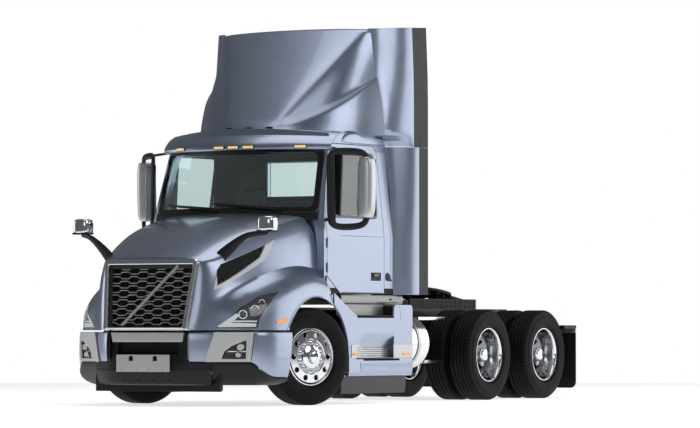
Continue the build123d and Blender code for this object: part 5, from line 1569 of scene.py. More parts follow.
    def middle_part(self) -> None:
        """Make the dark middle with its opening, a sheet of painted shadow behind it, the satin band and the
        blank panel.
        """
        levels = ((self.middle - 0.02, 0.0), (0.55, -0.034), (0.65, -0.048), (self.top - 0.006, -0.052))
        whole = self.strip(
            (0.0, self.place_of(0.492)), (0.0, self.place_of(0.492)), levels, 8
        ).mirrored().weld()
        slot = Form().box((-0.368, aft(-1.6), 0.53), (0.368, aft(-1.3), 0.665))
        deliver(whole, "bumper_middle", CHARCOAL, wall=0.03, bevel=0.004, cutters=[slot])
        pillars = Form()
        for side in (-1, 1):
            pillars.box((side * 0.452, aft(-1.424), 0.47), (side * 0.486, aft(-1.36), 0.748), bevel=0.008)
        deliver(pillars, "bumper_pillars", GLOSS_BLACK)
        # Painted shadow: a near-black sheet behind the opening.
        bezel = Form().box((-0.4, aft(-1.36), 0.5), (0.4, aft(-1.352), 0.7))
        deliver(bezel, "bumper_intake_back", PAINTED_SHADOW_BLACK)
        plane = crosswise(aft(-1.396))
        band = Form().plate(
            ((-0.424, 0.655), (0.424, 0.655), (0.444, 0.752), (-0.444, 0.752)), plane, 0.03, bevel=0.007
        )
        deliver(band, "bumper_band", SILVER)
        panel = Form().plate(
            ((-0.322, 0.352), (0.322, 0.352), (0.322, 0.527), (-0.322, 0.527)), crosswise(aft(-1.492)), 0.014
        )
        holes = Form()
        for x in (-0.146, 0.146):
            holes.box((x - 0.026, aft(-1.56), 0.463), (x + 0.026, aft(-1.45), 0.513))
        deliver(panel, "blank_panel", SILVER, replaces=["plate_panel"], cutters=[holes], bevel=0.002)
        bolts = Form()
        for x in (-0.25, -0.075, 0.075, 0.25):
            bolts.rod((x, aft(-1.504), 0.368), (x, aft(-1.512), 0.368), 0.008, 6)
        deliver(bolts, "blank_panel_bolts", CHROME)

    def lower_part(self) -> None:
        """Make the dark lower bumper with its seams and small lip marks."""
        levels = ((self.bottom, -0.075), (0.228, -0.035), (0.262, -0.008), (0.33, 0.01), (0.372, 0.016))
        upper = ((0.376, 0.016), (0.42, 0.012), (self.middle - 0.002, 0.004))
        corner = self.place_of(0.7)
        form = Form()
        for rows in (levels, upper):
            form.absorb(self.strip((0.0, corner - 0.02), (0.0, corner - 0.02), rows, 10).mesh)
        centre = form.mirrored().weld()
        under = ((0.0, -0.15), (0.08, -0.11), (0.3, -0.052), (0.6, -0.008), (0.85, 0.008), (1.0, 0.002))
        outer = self.wrap(
            ((corner, corner), (self.tail - 0.1, self.tail)), under, lambda place: self.bottom,
            lambda place: self.hem_at(place) - self.seam
        )
        centre.absorb(outer.mirrored().mesh)
        deliver(centre, "bumper_lower_part", CHARCOAL, wall=0.016, bevel=0.003)
        marks = Form()
        for x in (-0.28, -0.1, 0.1, 0.28):
            marks.box((x - 0.03, aft(-1.466), 0.238), (x + 0.03, aft(-1.448), 0.243), bevel=0.002)
        deliver(marks, "bumper_lip_marks", GLOSS_BLACK)

    def build(self) -> None:
        """Make the bumper."""
        self.painted()
        self.satin_panels()
        self.fog_lamps()
        self.middle_part()
        self.lower_part()


# ----------------------------------------------------------------- roof and sides
@dataclass
class RoofFairing:
    """The tall roof deflector: a lower skirt with a ledge, and a face that leans back."""

    wall: float = 0.012
    # ribs from the middle of the front round to the seam, each from the roof up to the rear
    ribs: tuple = (
        (
            (0, 0.5, 2.872), (0, 0.535, 2.922), (0, 0.552, 2.948), (0, 0.63, 3.032), (0, 0.875, 3.37),
            (0, 1.15, 3.7), (0, 1.37, 3.965), (0, 1.42, 4.02), (0, 1.5, 4.036), (0, 1.93, 4.04)
        ),
        (
            (0.25, 0.512, 2.872), (0.25, 0.547, 2.922), (0.25, 0.564, 2.948), (0.235, 0.632, 3.033),
            (0.33, 0.882, 3.37), (0.4, 1.152, 3.7), (0.44, 1.373, 3.96), (0.44, 1.422, 4.015),
            (0.44, 1.5, 4.032), (0.46, 1.93, 4.036)
        ),
        (
            (0.39, 0.545, 2.872), (0.385, 0.58, 2.924), (0.38, 0.596, 2.952), (0.35, 0.64, 3.037),
            (0.525, 0.896, 3.37), (0.685, 1.166, 3.692), (0.8, 1.382, 3.944), (0.805, 1.425, 3.998),
            (0.8, 1.5, 4.017), (0.83, 1.93, 4.022)
        ),
        (
            (0.45, 0.565, 2.868), (0.44, 0.602, 2.926), (0.43, 0.618, 2.956), (0.4, 0.674, 3.045),
            (0.582, 0.945, 3.372), (0.742, 1.214, 3.69), (0.85, 1.41, 3.938), (0.855, 1.44, 3.99),
            (0.84, 1.5, 4.011), (0.89, 1.93, 4.018)
        ),
        (
            (0.56, 0.625, 2.864), (0.552, 0.662, 2.935), (0.543, 0.676, 2.974), (0.47, 0.7, 3.058),
            (0.64, 0.985, 3.385), (0.79, 1.25, 3.69), (0.885, 1.43, 3.935), (0.895, 1.455, 3.985),
            (0.88, 1.5, 4.006), (0.96, 1.93, 4.015)
        ),
        (
            (0.8, 0.83, 2.858), (0.796, 0.858, 2.985), (0.782, 0.872, 3.088), (0.745, 0.9, 3.172),
            (0.8, 1.12, 3.45), (0.87, 1.335, 3.71), (0.91, 1.458, 3.935), (0.915, 1.47, 3.975),
            (0.905, 1.5, 4.0), (1.01, 1.93, 4.01)
        ),
        (
            (1.005, 1.115, 2.856), (0.995, 1.135, 3.06), (0.95, 1.148, 3.255), (0.897, 1.16, 3.314),
            (0.905, 1.3, 3.53), (0.92, 1.42, 3.75), (0.928, 1.48, 3.935), (0.93, 1.485, 3.968),
            (0.925, 1.5, 3.992), (1.05, 1.93, 4.003)
        ),
        (
            (1.112, 1.497, 2.856), (1.098, 1.497, 3.15), (1.02, 1.497, 3.468), (1.0, 1.497, 3.49),
            (0.98, 1.497, 3.64), (0.96, 1.497, 3.8), (0.945, 1.497, 3.935), (0.942, 1.497, 3.962),
            (0.938, 1.5, 3.985), (1.07, 1.93, 3.995)
        )
    )
    # along the roof: place, share of the full height, distance tucked in
    shoulder: tuple = (
        (0.79, 0.2, 0.03), (0.86, 0.7, 0.01), (0.96, 0.95, 0.002), (1.2, 1.0, 0.0), (1.5, 1.0, 0.0),
        (1.62, 0.96, 0.002), (1.69, 0.84, 0.008), (1.735, 0.6, 0.022)
    )
    ledge: tuple[int, int] = (2, 3)
    crest: int = 7

    def build(self) -> None:
        """Make the deflector, with three small slots at its foot drawn as boxes of painted shadow."""
        placed = [[(x, aft(y), z) for x, y, z in rib] for rib in self.ribs]
        creases = {self.ledge[0]: 0.55, self.ledge[1]: 0.95, self.crest: 0.35}
        form = Form().skin(placed, creases=creases, inside=(0, aft(1.6), 3.2))
        form.mirrored().weld().rounded(2)
        deliver(form, "roof_deflector", PAINT, replaces=["roof_fairing"], wall=self.wall)
        ribs = []
        for y, drop, tuck in self.shoulder:
            rib = [
                (1.004 - tuck, 2.762), (1.002 - tuck, 2.8), (0.996 - tuck, 2.848), (0.982 - tuck, 2.884),
                (0.95 - tuck, 2.9)
            ]
            ribs.append([(x, aft(y), 2.762 + (z - 2.762) * drop) for x, z in rib])
        shoulders = Form().skin(ribs, inside=(0, aft(1.3), 2.7))
        deliver(shoulders.mirrored(), "roof_shoulders", PAINT, smooth=1, wall=0.01)
        sill = ((0.955, 1.06), (0.996, 1.115), (1.098, 1.49), (1.08, 1.536), (0.955, 1.536))
        sills = Form().plate([(x, aft(y)) for x, y in sill], Matrix.Translation((0, 0, 2.858)), 0.008)
        deliver(sills.mirrored(), "deflector_sills", PAINT)
        # Painted shadow: near-black boxes for the slots.
        slots = Form()
        for x in (-0.25, 0.0, 0.25):
            slots.box((x - 0.034, aft(0.52), 2.906), (x + 0.034, aft(0.575), 2.93), bevel=0.004)
        deliver(slots, "deflector_slots", PAINTED_SHADOW_BLACK)


@dataclass
class SideExtenders:
    """The panels behind the cab: painted and flared, then a straight rubber edge, in two heights."""

    wall: float = 0.028
    gap: float = 0.004
    lap: float = 0.022
    rear: float = 2.256
    # height, x and y of the front edge, x of the flared end
    rows: tuple = (
        (1.158, 1.096, 1.748, 1.218), (1.7, 1.094, 1.748, 1.218), (2.2, 1.068, 1.748, 1.218),
        (2.7465, 1.002, 1.748, 1.218), (2.7495, 1.002, 1.748, 1.218), (2.81, 1.0, 1.7, 1.218),
        (2.864, 1.08, 1.54, 1.218), (2.92, 1.108, 1.502, 1.218), (3.2, 1.09, 1.502, 1.218),
        (3.5, 1.002, 1.502, 1.215), (3.8, 0.962, 1.502, 1.204), (4.012, 0.94, 1.502, 1.194)
    )
    split: int = 4
    seams: tuple[float, float] = (2.06, 1.946)

    def row(self, index: int, paint: bool) -> list[tuple[float, float, float]]:
        """Give one level's points, from front to rear.

        Args:
            index: The level's number.
            paint: The painted panel, or else the rubber.

        Returns:
            The points.
        """
        z, x0, y0, x1 = self.rows[index]
        seam = self.seams[0] if index < self.split else self.seams[1]
        stops = (0.0, 0.001, 0.05, 0.15, 0.35, 0.6, 0.85, 1.0) if paint else (0.0, 0.5, 0.95, 1.0)
        start, end = (y0, seam) if paint else (seam + self.gap, self.rear)
        points = []
        for stop in stops:
            y = start + (end - start) * stop
            share = min(1.0, (y - y0) / (seam - y0))
            lift = 0.046 * (y - y0) / (self.rear - y0) if index == len(self.rows) - 1 else 0.0
            tuck = self.lap if paint and stop == 0 else 0.0
            x = x0 + (x1 - x0) * math.sin(share * math.pi / 2) ** 0.8 - tuck
            points.append((x, aft(y - tuck), z + lift))
        return points

    def build(self) -> None:
        """Make both heights of both sides."""
        for name, paint, finish, node in (
            ("extender_panels", True, PAINT, "side_extenders"),
            ("extender_rubbers", False, EDGE_RUBBER, "extender_edges")
        ):
            form = Form()
            for low, high in ((0, self.split), (self.split, len(self.rows))):
                ribs = [self.row(index, paint) for index in range(low, high)]
                part = Form().skin(ribs, inside=(0, aft(1.9), 2.5))
                form.absorb(part.mesh)
            deliver(form.mirrored(), name, finish, replaces=[node], wall=self.wall, bevel=0.004)


@dataclass
class Visor:
    """The sun visor over the windscreen, with its amber marker lamps."""

    half_width: float = 1.042
    lamps: tuple[float, ...] = (-0.745, -0.181, 0.0, 0.181, 0.745)
    # y of the middle, y of the ends and height of each level, from under it to the roof
    levels: tuple = (
        (0.33, 0.56, 2.69), (0.24, 0.5, 2.668), (0.216, 0.486, 2.684), (0.222, 0.492, 2.725),
        (0.28, 0.54, 2.8), (0.37, 0.612, 2.862), (0.5, 0.74, 2.898)
    )

    def point(self, x: float, level: int) -> tuple[float, float, float]:
        """Give a point of the visor at a place across and a level.

        Args:
            x: The place across.
            level: The level's number.

        Returns:
            The point.
        """
        middle, end, z = self.levels[level]
        share = abs(x) / self.half_width
        drop = 0.03 * share**3 if level > 3 else 0.0
        return x, aft(middle + (end - middle) * share**2), z - drop

    def build(self) -> None:
        """Make the visor and its lamps."""
        places = (0.0, 0.2, 0.4, 0.6, 0.8, 0.95, 1.0)
        ribs = [
            [self.point(self.half_width * p, level) for level in range(len(self.levels))] for p in places
        ]
        form = Form().skin(ribs, creases={1: 0.3}, inside=(0, aft(0.9), 2.75))
        form.mirrored().weld().rounded(2)
        deliver(form, "sun_visor", PAINT, replaces=["visor"], wall=0.012)
        lenses, bases = Form(), Form()
        for x in self.lamps:
            a, b = Vector(self.point(x, 2)), Vector(self.point(x, 3))
            middle = (a + b) / 2
            slope = 2 * (self.levels[2][1] - self.levels[2][0]) * x / self.half_width**2
            turn = Matrix.Translation(middle) @ Matrix.Rotation(math.atan(slope), 4, "Z")
            lenses.box((-0.062, -0.014, -0.013), (0.062, 0.004, 0.013), bevel=0.006, turn=turn)
            bases.box((-0.07, -0.006, -0.018), (0.07, 0.004, 0.018), bevel=0.003, turn=turn)
        deliver(lenses, "roof_marker_lamps", CREAM)
        deliver(bases, "roof_marker_bases", CHARCOAL)


# -------------------------------------------------------------------------- wheels
@dataclass
class Wheel:
    """What all wheels share: a treaded tyre and a bright rim with its hub, about own x."""

    tyre_radius: float = 0.503
    tyre_width: float = 0.284
    rim_radius: float = 0.302
    rim_width: float = 0.234
    bead: float = 0.286
    holes: int = 10
    hole_circle: float = 0.228
    hole_radius: float = 0.03
    stud_circle: float = 0.1429

    def tyre(self, middle: float, lugs: int = 0) -> Form:
        """Make a tyre: grooved tread, lugged shoulders and ringed walls.

        Args:
            middle: Where its mid-plane stands along the axis.
            lugs: How many notches each shoulder has.

        Returns:
            The tyre.
        """
        half, top = self.tyre_width / 2, self.tyre_radius
        profile = [
            (-0.098, self.bead + 0.002), (-0.108, self.rim_radius + 0.004), (-0.124, 0.318), (-0.132, 0.33),
            (-0.134, 0.3305), (-0.1385, 0.352), (-half, 0.395), (-0.1405, 0.425), (-0.1365, 0.4265),
            (-0.1345, 0.4285), (-0.131, 0.452), (-0.1265, 0.474), (-0.119, 0.49), (-0.106, 0.5005),
            (-0.098, top)
        ]
        for groove in (-0.066, -0.022, 0.022, 0.066):
            profile += [
                (groove - 0.0065, top), (groove - 0.0045, top - 0.013), (groove + 0.0045, top - 0.013),
                (groove + 0.0065, top)
            ]
        profile += [(-along, radius) for along, radius in profile[14::-1]]
        ring = Form().turned(profile, Matrix.Identity(4), 96)
        if lugs:
            notch = Form()
            for side in (-1, 1):
                edge = side * 0.115
                notch.box((edge - 0.024, -0.0045, top - 0.02), (edge + 0.04, 0.0045, top + 0.05))
            notch.copies([Matrix.Rotation(math.tau * k / lugs, 4, "X") for k in range(lugs)])
            ring = ring.less(notch)
        return ring.moved(Matrix.Translation((middle, 0, 0)))

    def rim(self, middle: float) -> Form:
        """Make the barrel of a rim with its two lips.

        Args:
            middle: Where its middle lies on the axle.

        Returns:
            The barrel.
        """
        half = self.rim_width / 2
        profile = [
            (-half + 0.001, self.rim_radius - 0.004), (-half, self.rim_radius - 0.008), (-half, 0.29),
            (-half + 0.01, 0.283), (-half + 0.03, 0.276), (-0.055, 0.272), (0.055, 0.272),
            (half - 0.03, 0.276), (half - 0.01, 0.283), (half, 0.29), (half, self.rim_radius - 0.008),
            (half - 0.001, self.rim_radius - 0.004), (half - 0.005, self.rim_radius),
            (half - 0.01, self.rim_radius - 0.002), (half - 0.014, self.bead), (-half + 0.014, self.bead),
            (-half + 0.01, self.rim_radius - 0.002), (-half + 0.005, self.rim_radius)
        ]
        form = Form().turned([*profile, profile[0]], Matrix.Identity(4), 72)
        return form.moved(Matrix.Translation((middle, 0, 0)))

    def disc(self, face: float, outward: int, foot: float) -> Form:
        """Make the disc of a rim with its round hand holes.

        Args:
            face: Where its flat seat stands along the axis.
            outward: 1 where the seat's far side faces outward, -1 for inward.
            foot: Where its edge meets the barrel.

        Returns:
            The disc.
        """
        t = 0.012 * outward
        rise = foot - face
        seat = face + t - 0.6 * t
        front = [(seat, 0.105), (seat, 0.176), (face + t, 0.186), (face + t + rise * 0.42, 0.244)]
        front += [(face + t + rise * 0.8, 0.264), (foot + t * 1.2, 0.2735)]
        back = [(along - 2 * t, radius) for along, radius in reversed(front)]
        form = Form().turned([*front, *back, front[0]], Matrix.Identity(4), 80)
        bores = Form()
        for hole in range(self.holes):
            angle = math.tau * (hole + 0.5) / self.holes
            y, z = self.hole_circle * math.sin(angle), self.hole_circle * math.cos(angle)
            bores.rod((face - 0.12, y, z), (face + 0.12, y, z), self.hole_radius, 28)
        return form.less(bores)

    def nuts(self, face: float, long: float) -> Form:
        """Make the ring of wheel nuts, each a cap over a washer.

        Args:
            face: Where the disc's face lies.
            long: A nut's length.

        Returns:
            The nuts.
        """
        form = Form()
        for nut in range(self.holes):
            angle = math.tau * nut / self.holes
            y, z = self.stud_circle * math.sin(angle), self.stud_circle * math.cos(angle)
            form.rod((face, y, z), (face + 0.006, y, z), 0.0225, 16, bevel=0.002)
            form.rod((face + 0.005, y, z), (face + long * 0.6, y, z), 0.0175, 6)
            form.rod((face + long * 0.6, y, z), (face + long, y, z), 0.0155, 12, far=0.01, bevel=0.004)
        return form

    def hub(self, face: float, end: float, radius: float) -> Form:
        """Make a domed hub cover.

        Args:
            face: Where the cover starts.
            end: Where it ends.
            radius: Its radius.

        Returns:
            The cover.
        """
        reach = end - face
        profile = (
            (face, 0.1265), (face + 0.01, 0.1255), (face + 0.022, 0.117), (face + 0.03, radius + 0.02),
            (face + 0.04, radius + 0.003), (face + reach * 0.55, radius),
            (face + reach * 0.85, radius * 0.93), (face + reach * 0.95, radius * 0.78), (end, radius * 0.45),
            (end + 0.0015, 0.0005)
        )
        return Form().turned(profile, Matrix.Identity(4), 56)


@dataclass
class SteeredWheels:
    """The two front wheels, turned as the truck steers to its right."""

    wheel: Wheel
    kingpin: float = 0.93
    offset: float = 0.105
    steer: float = math.radians(-19.8)
    height: float = 0.503

    def seat(self, side: Side) -> Matrix:
        """Give the matrix that puts a wheel's own axis in place, own x outward."""
        place = Matrix.Translation((side.value * self.kingpin, aft(0), self.height))
        return place @ Matrix.Rotation(self.steer, 4, "Z") @ Matrix.Diagonal((side.value, 1, 1, 1))

    def build(self) -> None:
        """Make both wheels."""
        face = self.offset + 0.098
        for side in Side:
            body, word = f"front_wheel_{side.word}", side.word
            seat = self.seat(side)
            tyre = self.wheel.tyre(self.offset)
            deliver(
                tyre.moved(seat), f"steer_tyre_{word}", TYRE_RUBBER, body, replaces=[f"front_tyre_{word}"]
            )
            rim = self.wheel.rim(self.offset)
            rim.absorb(self.wheel.disc(face + 0.006, 1, self.offset + 0.096).mesh)
            deliver(
                rim.moved(seat), f"steer_rim_{word}", POLISHED, body, replaces=[f"front_rim_{word}"],
                bevel=0.0015
            )
            hub = self.wheel.hub(face + 0.01, self.offset + 0.205, 0.072)
            hub.absorb(self.wheel.nuts(face + 0.011, 0.045).mesh)
            deliver(hub.moved(seat), f"steer_hub_{word}", CHROME, body)
            drum = Form().rod(
                (self.offset - 0.005, 0, 0), (self.offset + 0.075, 0, 0), 0.205, 48, bevel=0.006
            )
            drum.rod((self.offset, 0, 0), (face, 0, 0), 0.112, 40)
            bore = Form().rod((-0.2, 0, 0), (0.193, 0, 0), 0.0405, 32)
            deliver(drum.less(bore).moved(seat), f"steer_drum_{word}", CASTING, body)


@dataclass
class DriveWheels:
    """The twin wheels on the two drive axles."""

    wheel: Wheel
    outer: float = 1.045
    spacing: float = 0.32
    axles: tuple[tuple[str, float], ...] = (("front", 3.743), ("rear", 5.065))
    height: float = 0.503

    def build(self) -> None:
        """Make the four pairs of wheels."""
        face = self.outer - self.spacing / 2
        dish = self.spacing / 2 - 0.075
        for axle, place in self.axles:
            for side in Side:
                word = side.word
                body = f"drive_wheels_{axle}_{word}"
                seat = Matrix.Translation(
                    (0, aft(place), self.height)
                ) @ Matrix.Diagonal((side.value, 1, 1, 1))
                tyres = self.wheel.tyre(self.outer, 72)
                tyres.absorb(self.wheel.tyre(self.outer - self.spacing, 72).mesh)
                node = f"{axle}_drive_tyres_{word}"
                deliver(tyres.moved(seat), f"{node}_treaded", TYRE_RUBBER, body, replaces=[node])
                rims = self.wheel.rim(self.outer).absorb(self.wheel.rim(self.outer - self.spacing).mesh)
                discs = self.wheel.disc(face + 0.012, 1, face + dish)
                discs.absorb(self.wheel.disc(face - 0.012, -1, face - dish).mesh)
                # The drive discs carry painted shade: polished aluminium darkened where they sit deep inside
                # the twins.
                deliver(discs.moved(seat), f"{axle}_drive_discs_{word}", POLISHED_IN_PAINTED_SHADE, body, bevel=0.0015)
                node = f"{axle}_drive_rims_{word}"
                deliver(rims.moved(seat), f"{node}_dished", POLISHED, body, replaces=[node], bevel=0.0015)
                hub = Form().turned(
                    (
                        (face + 0.02, 0.112), (face + 0.05, 0.11), (face + 0.06, 0.085), (1.02, 0.08),
                        (1.075, 0.079), (1.1, 0.074), (1.115, 0.06), (1.12, 0.035), (1.1205, 0.0005)
                    ),
                    Matrix.Identity(4), 56
                )
                hub.absorb(self.wheel.nuts(face + 0.023, 0.05).mesh)
                deliver(hub.moved(seat), f"{axle}_drive_hubs_{word}", CHROME, body)
                drum = Form().turned(
                    (
                        (0.7, 0.0625), (0.7, 0.204), (0.706, 0.21), (0.856, 0.21), (0.862, 0.204),
                        (0.862, 0.112), (face + 0.02, 0.112), (face + 0.02, 0.0625), (0.7, 0.0625)
                    ),
                    Matrix.Identity(4)
                )
                deliver(drum.moved(seat), f"{axle}_drive_drums_{word}", CASTING, body)


# ------------------------------------------------------------------------- mirrors
@dataclass
class MainMirrors:
    """The door mirrors: a dark looped frame, a bright shell and the glass."""

    top: float = 2.612
    bottom: float = 1.905

    def loop(self) -> Form:
        """Make the frame: a broad arm above and below, joined by an upright.

        Returns:
            The frame, on the left.
        """
        path = [
            (1.4, 0.64, 2.52), (1.392, 0.62, 2.6), (1.372, 0.59, 2.637), (1.3, 0.54, 2.65),
            (1.19, 0.45, 2.652), (1.125, 0.392, 2.645), (1.108, 0.375, 2.615), (1.105, 0.372, 2.56),
            (1.112, 0.37, 2.25), (1.118, 0.37, 1.96), (1.122, 0.374, 1.9), (1.14, 0.392, 1.866),
            (1.2, 0.45, 1.852), (1.31, 0.545, 1.858), (1.375, 0.6, 1.88), (1.395, 0.625, 1.93),
            (1.4, 0.64, 2.02)
        ]
        form = Form()
        ribs = []
        for index, (x, y, z) in enumerate(path):
            before, after = path[max(0, index - 1)], path[min(len(path) - 1, index + 1)]
            run = (Vector(after) - Vector(before)).normalized()
            flat = Vector((0.66, 0.75, 0)) if abs(run.z) > 0.7 else Vector((0, 0, 1))
            thin = run.cross(flat).normalized()
            flat = thin.cross(run).normalized()
            upright_part = 6 < index < 11
            wide, deep = (0.048, 0.02) if upright_part else (0.036, 0.022)
            rib = []
            for a, b in (
                (1, 0.4), (0.6, 1), (-0.6, 1), (-1, 0.4), (-1, -0.4), (-0.6, -1), (0.6, -1), (1, -0.4)
            ):
                point = Vector((x, aft(y), z)) + flat * wide * a + thin * deep * b
                rib.append(tuple(point))
            ribs.append(rib)
        form.skin(ribs, closed=True)
        form.capped()
        form.rounded(1)
        return form

    def head(self) -> Form:
        """Make the bright shell, full in front and cut away behind for the glass.

        Returns:
            The shell, on the left.
        """
        ribs = []
        shape = (
            (0.0, 0.58), (0.03, 0.8), (0.1, 0.95), (0.3, 1.0), (0.55, 1.0), (0.8, 0.98), (0.93, 0.9),
            (0.98, 0.76), (1.0, 0.55)
        )
        low, high = 1.946, 2.593
        for up, width in shape:
            z = low + (high - low) * up
            lean = 0.012 * (up - 0.5)
            half, deep = 0.096 * width, 0.078 * (0.6 + 0.4 * width)
            middle_x, middle_y = 1.374 + lean, aft(0.64)
            rib = []
            for a, b in (
                (-1, 0.75), (-1, 0.1), (-0.94, -0.4), (-0.5, -1.02), (-0.42, -1.05), (0.62, -0.92),
                (0.94, -0.6), (1, 0.1), (1, 0.75), (0.93, 0.8), (0.0, 0.8), (-0.93, 0.8)
            ):
                rib.append((middle_x + half * a, middle_y + deep * b, z))
            ribs.append(rib)
        form = Form().skin(ribs, closed=True)
        form.capped()
        form.rounded(2)
        return form

    def build(self) -> None:
        """Make both mirrors, each on its door."""
        for side in Side:
            body, word = f"door_{side.word}", side.word
            frame = self.loop()
            frame.box((1.285, aft(0.662), 1.965), (1.3, aft(0.69), 2.575), bevel=0.005)
            frame.rod((1.2, aft(0.47), 2.65), (0.985, aft(0.64), 2.695), 0.014, 12)
            frame.rod((1.118, aft(0.372), 1.935), (1.07, aft(0.405), 1.935), 0.018, 12)
            deliver(frame.on(side), f"mirror_frame_{word}", CHARCOAL, body, replaces=[f"mirror_{word}"])
            deliver(self.head().on(side), f"mirror_head_{word}", MIRROR_SHELL, body)
            back = Form().box((1.291, aft(0.7), 1.975), (1.462, aft(0.712), 2.565), bevel=0.006)
            deliver(back.on(side), f"mirror_surround_{word}", CHARCOAL, body)
            glass = Form().box((1.3, aft(0.711), 2.14), (1.454, aft(0.716), 2.552), bevel=0.002)
            glass.box((1.3, aft(0.711), 1.988), (1.454, aft(0.716), 2.125), bevel=0.002)
            deliver(glass.on(side), f"mirror_glass_{word}", MIRROR, body)


@dataclass
class HoodMirrors:
    """The small mirrors that stand on the hood's shoulders."""

    def arm(self) -> Form:
        """Make a flat arm that narrows towards the mirror.

        Returns:
            The arm, on the left.
        """
        stations = (
            ((0.64, -1.105, 1.48), 0.15), ((0.715, -1.09, 1.56), 0.125), ((0.85, -1.062, 1.672), 0.09),
            ((0.94, -1.045, 1.73), 0.068), ((1.0, -1.025, 1.752), 0.058), ((1.08, -0.975, 1.764), 0.052),
            ((1.15, -0.925, 1.768), 0.05)
        )
        ribs = []
        for index, (point, wide) in enumerate(stations):
            before, after = stations[max(0, index - 1)][0], stations[min(len(stations) - 1, index + 1)][0]
            run = (Vector(after) - Vector(before)).normalized()
            across = run.cross(Vector((0, 1, 0.2))).normalized()
            thin = run.cross(across).normalized()
            x, y, z = point
            rib = []
            for a, b in (
                (1, 0.3), (0.5, 1), (-0.5, 1), (-1, 0.3), (-1, -0.3), (-0.5, -1), (0.5, -1), (1, -0.3)
            ):
                rib.append(tuple(Vector((x, aft(y), z)) + across * wide * 0.5 * a + thin * 0.014 * b))
            ribs.append(rib)
        form = Form().skin(ribs, closed=True)
        form.capped()
        form.rounded(1)
        return form

    def head(self) -> Form:
        """Make the bright shell.

        Returns:
            The shell, on the left.
        """
        ribs = []
        for z, half_x, half_y in (
            (1.782, 0.088, 0.068), (1.792, 0.094, 0.074), (1.85, 0.097, 0.077), (1.905, 0.095, 0.075),
            (1.928, 0.086, 0.068), (1.938, 0.06, 0.048)
        ):
            rib = []
            for a, b in (
                (-1, 0.8), (-1, -0.3), (-0.8, -0.85), (-0.3, -1), (0.3, -1), (0.8, -0.85), (1, -0.3),
                (1, 0.8), (0.85, 0.95), (-0.85, 0.95)
            ):
                rib.append((1.13 + half_x * a, aft(-0.928) + half_y * b, z))
            ribs.append(rib)
        form = Form().skin(ribs, closed=True)
        form.capped()
        form.rounded(2)
        return form

    def build(self) -> None:
        """Make both mirrors."""
        deliver(self.arm().mirrored(), "hood_mirror_arms", CHARCOAL, "hood", replaces=["hood_mirrors"])
        deliver(self.head().mirrored(), "hood_mirror_heads", CHROME, "hood")
        tray = Form().box((1.04, aft(-1.0), 1.774), (1.22, aft(-0.856), 1.796), bevel=0.008)
        deliver(tray.mirrored(), "hood_mirror_trays", CHARCOAL, "hood")
        glass = Form().box((1.052, aft(-0.862), 1.8), (1.208, aft(-0.856), 1.915), bevel=0.002)
        deliver(glass.mirrored(), "hood_mirror_glasses", MIRROR, "hood")


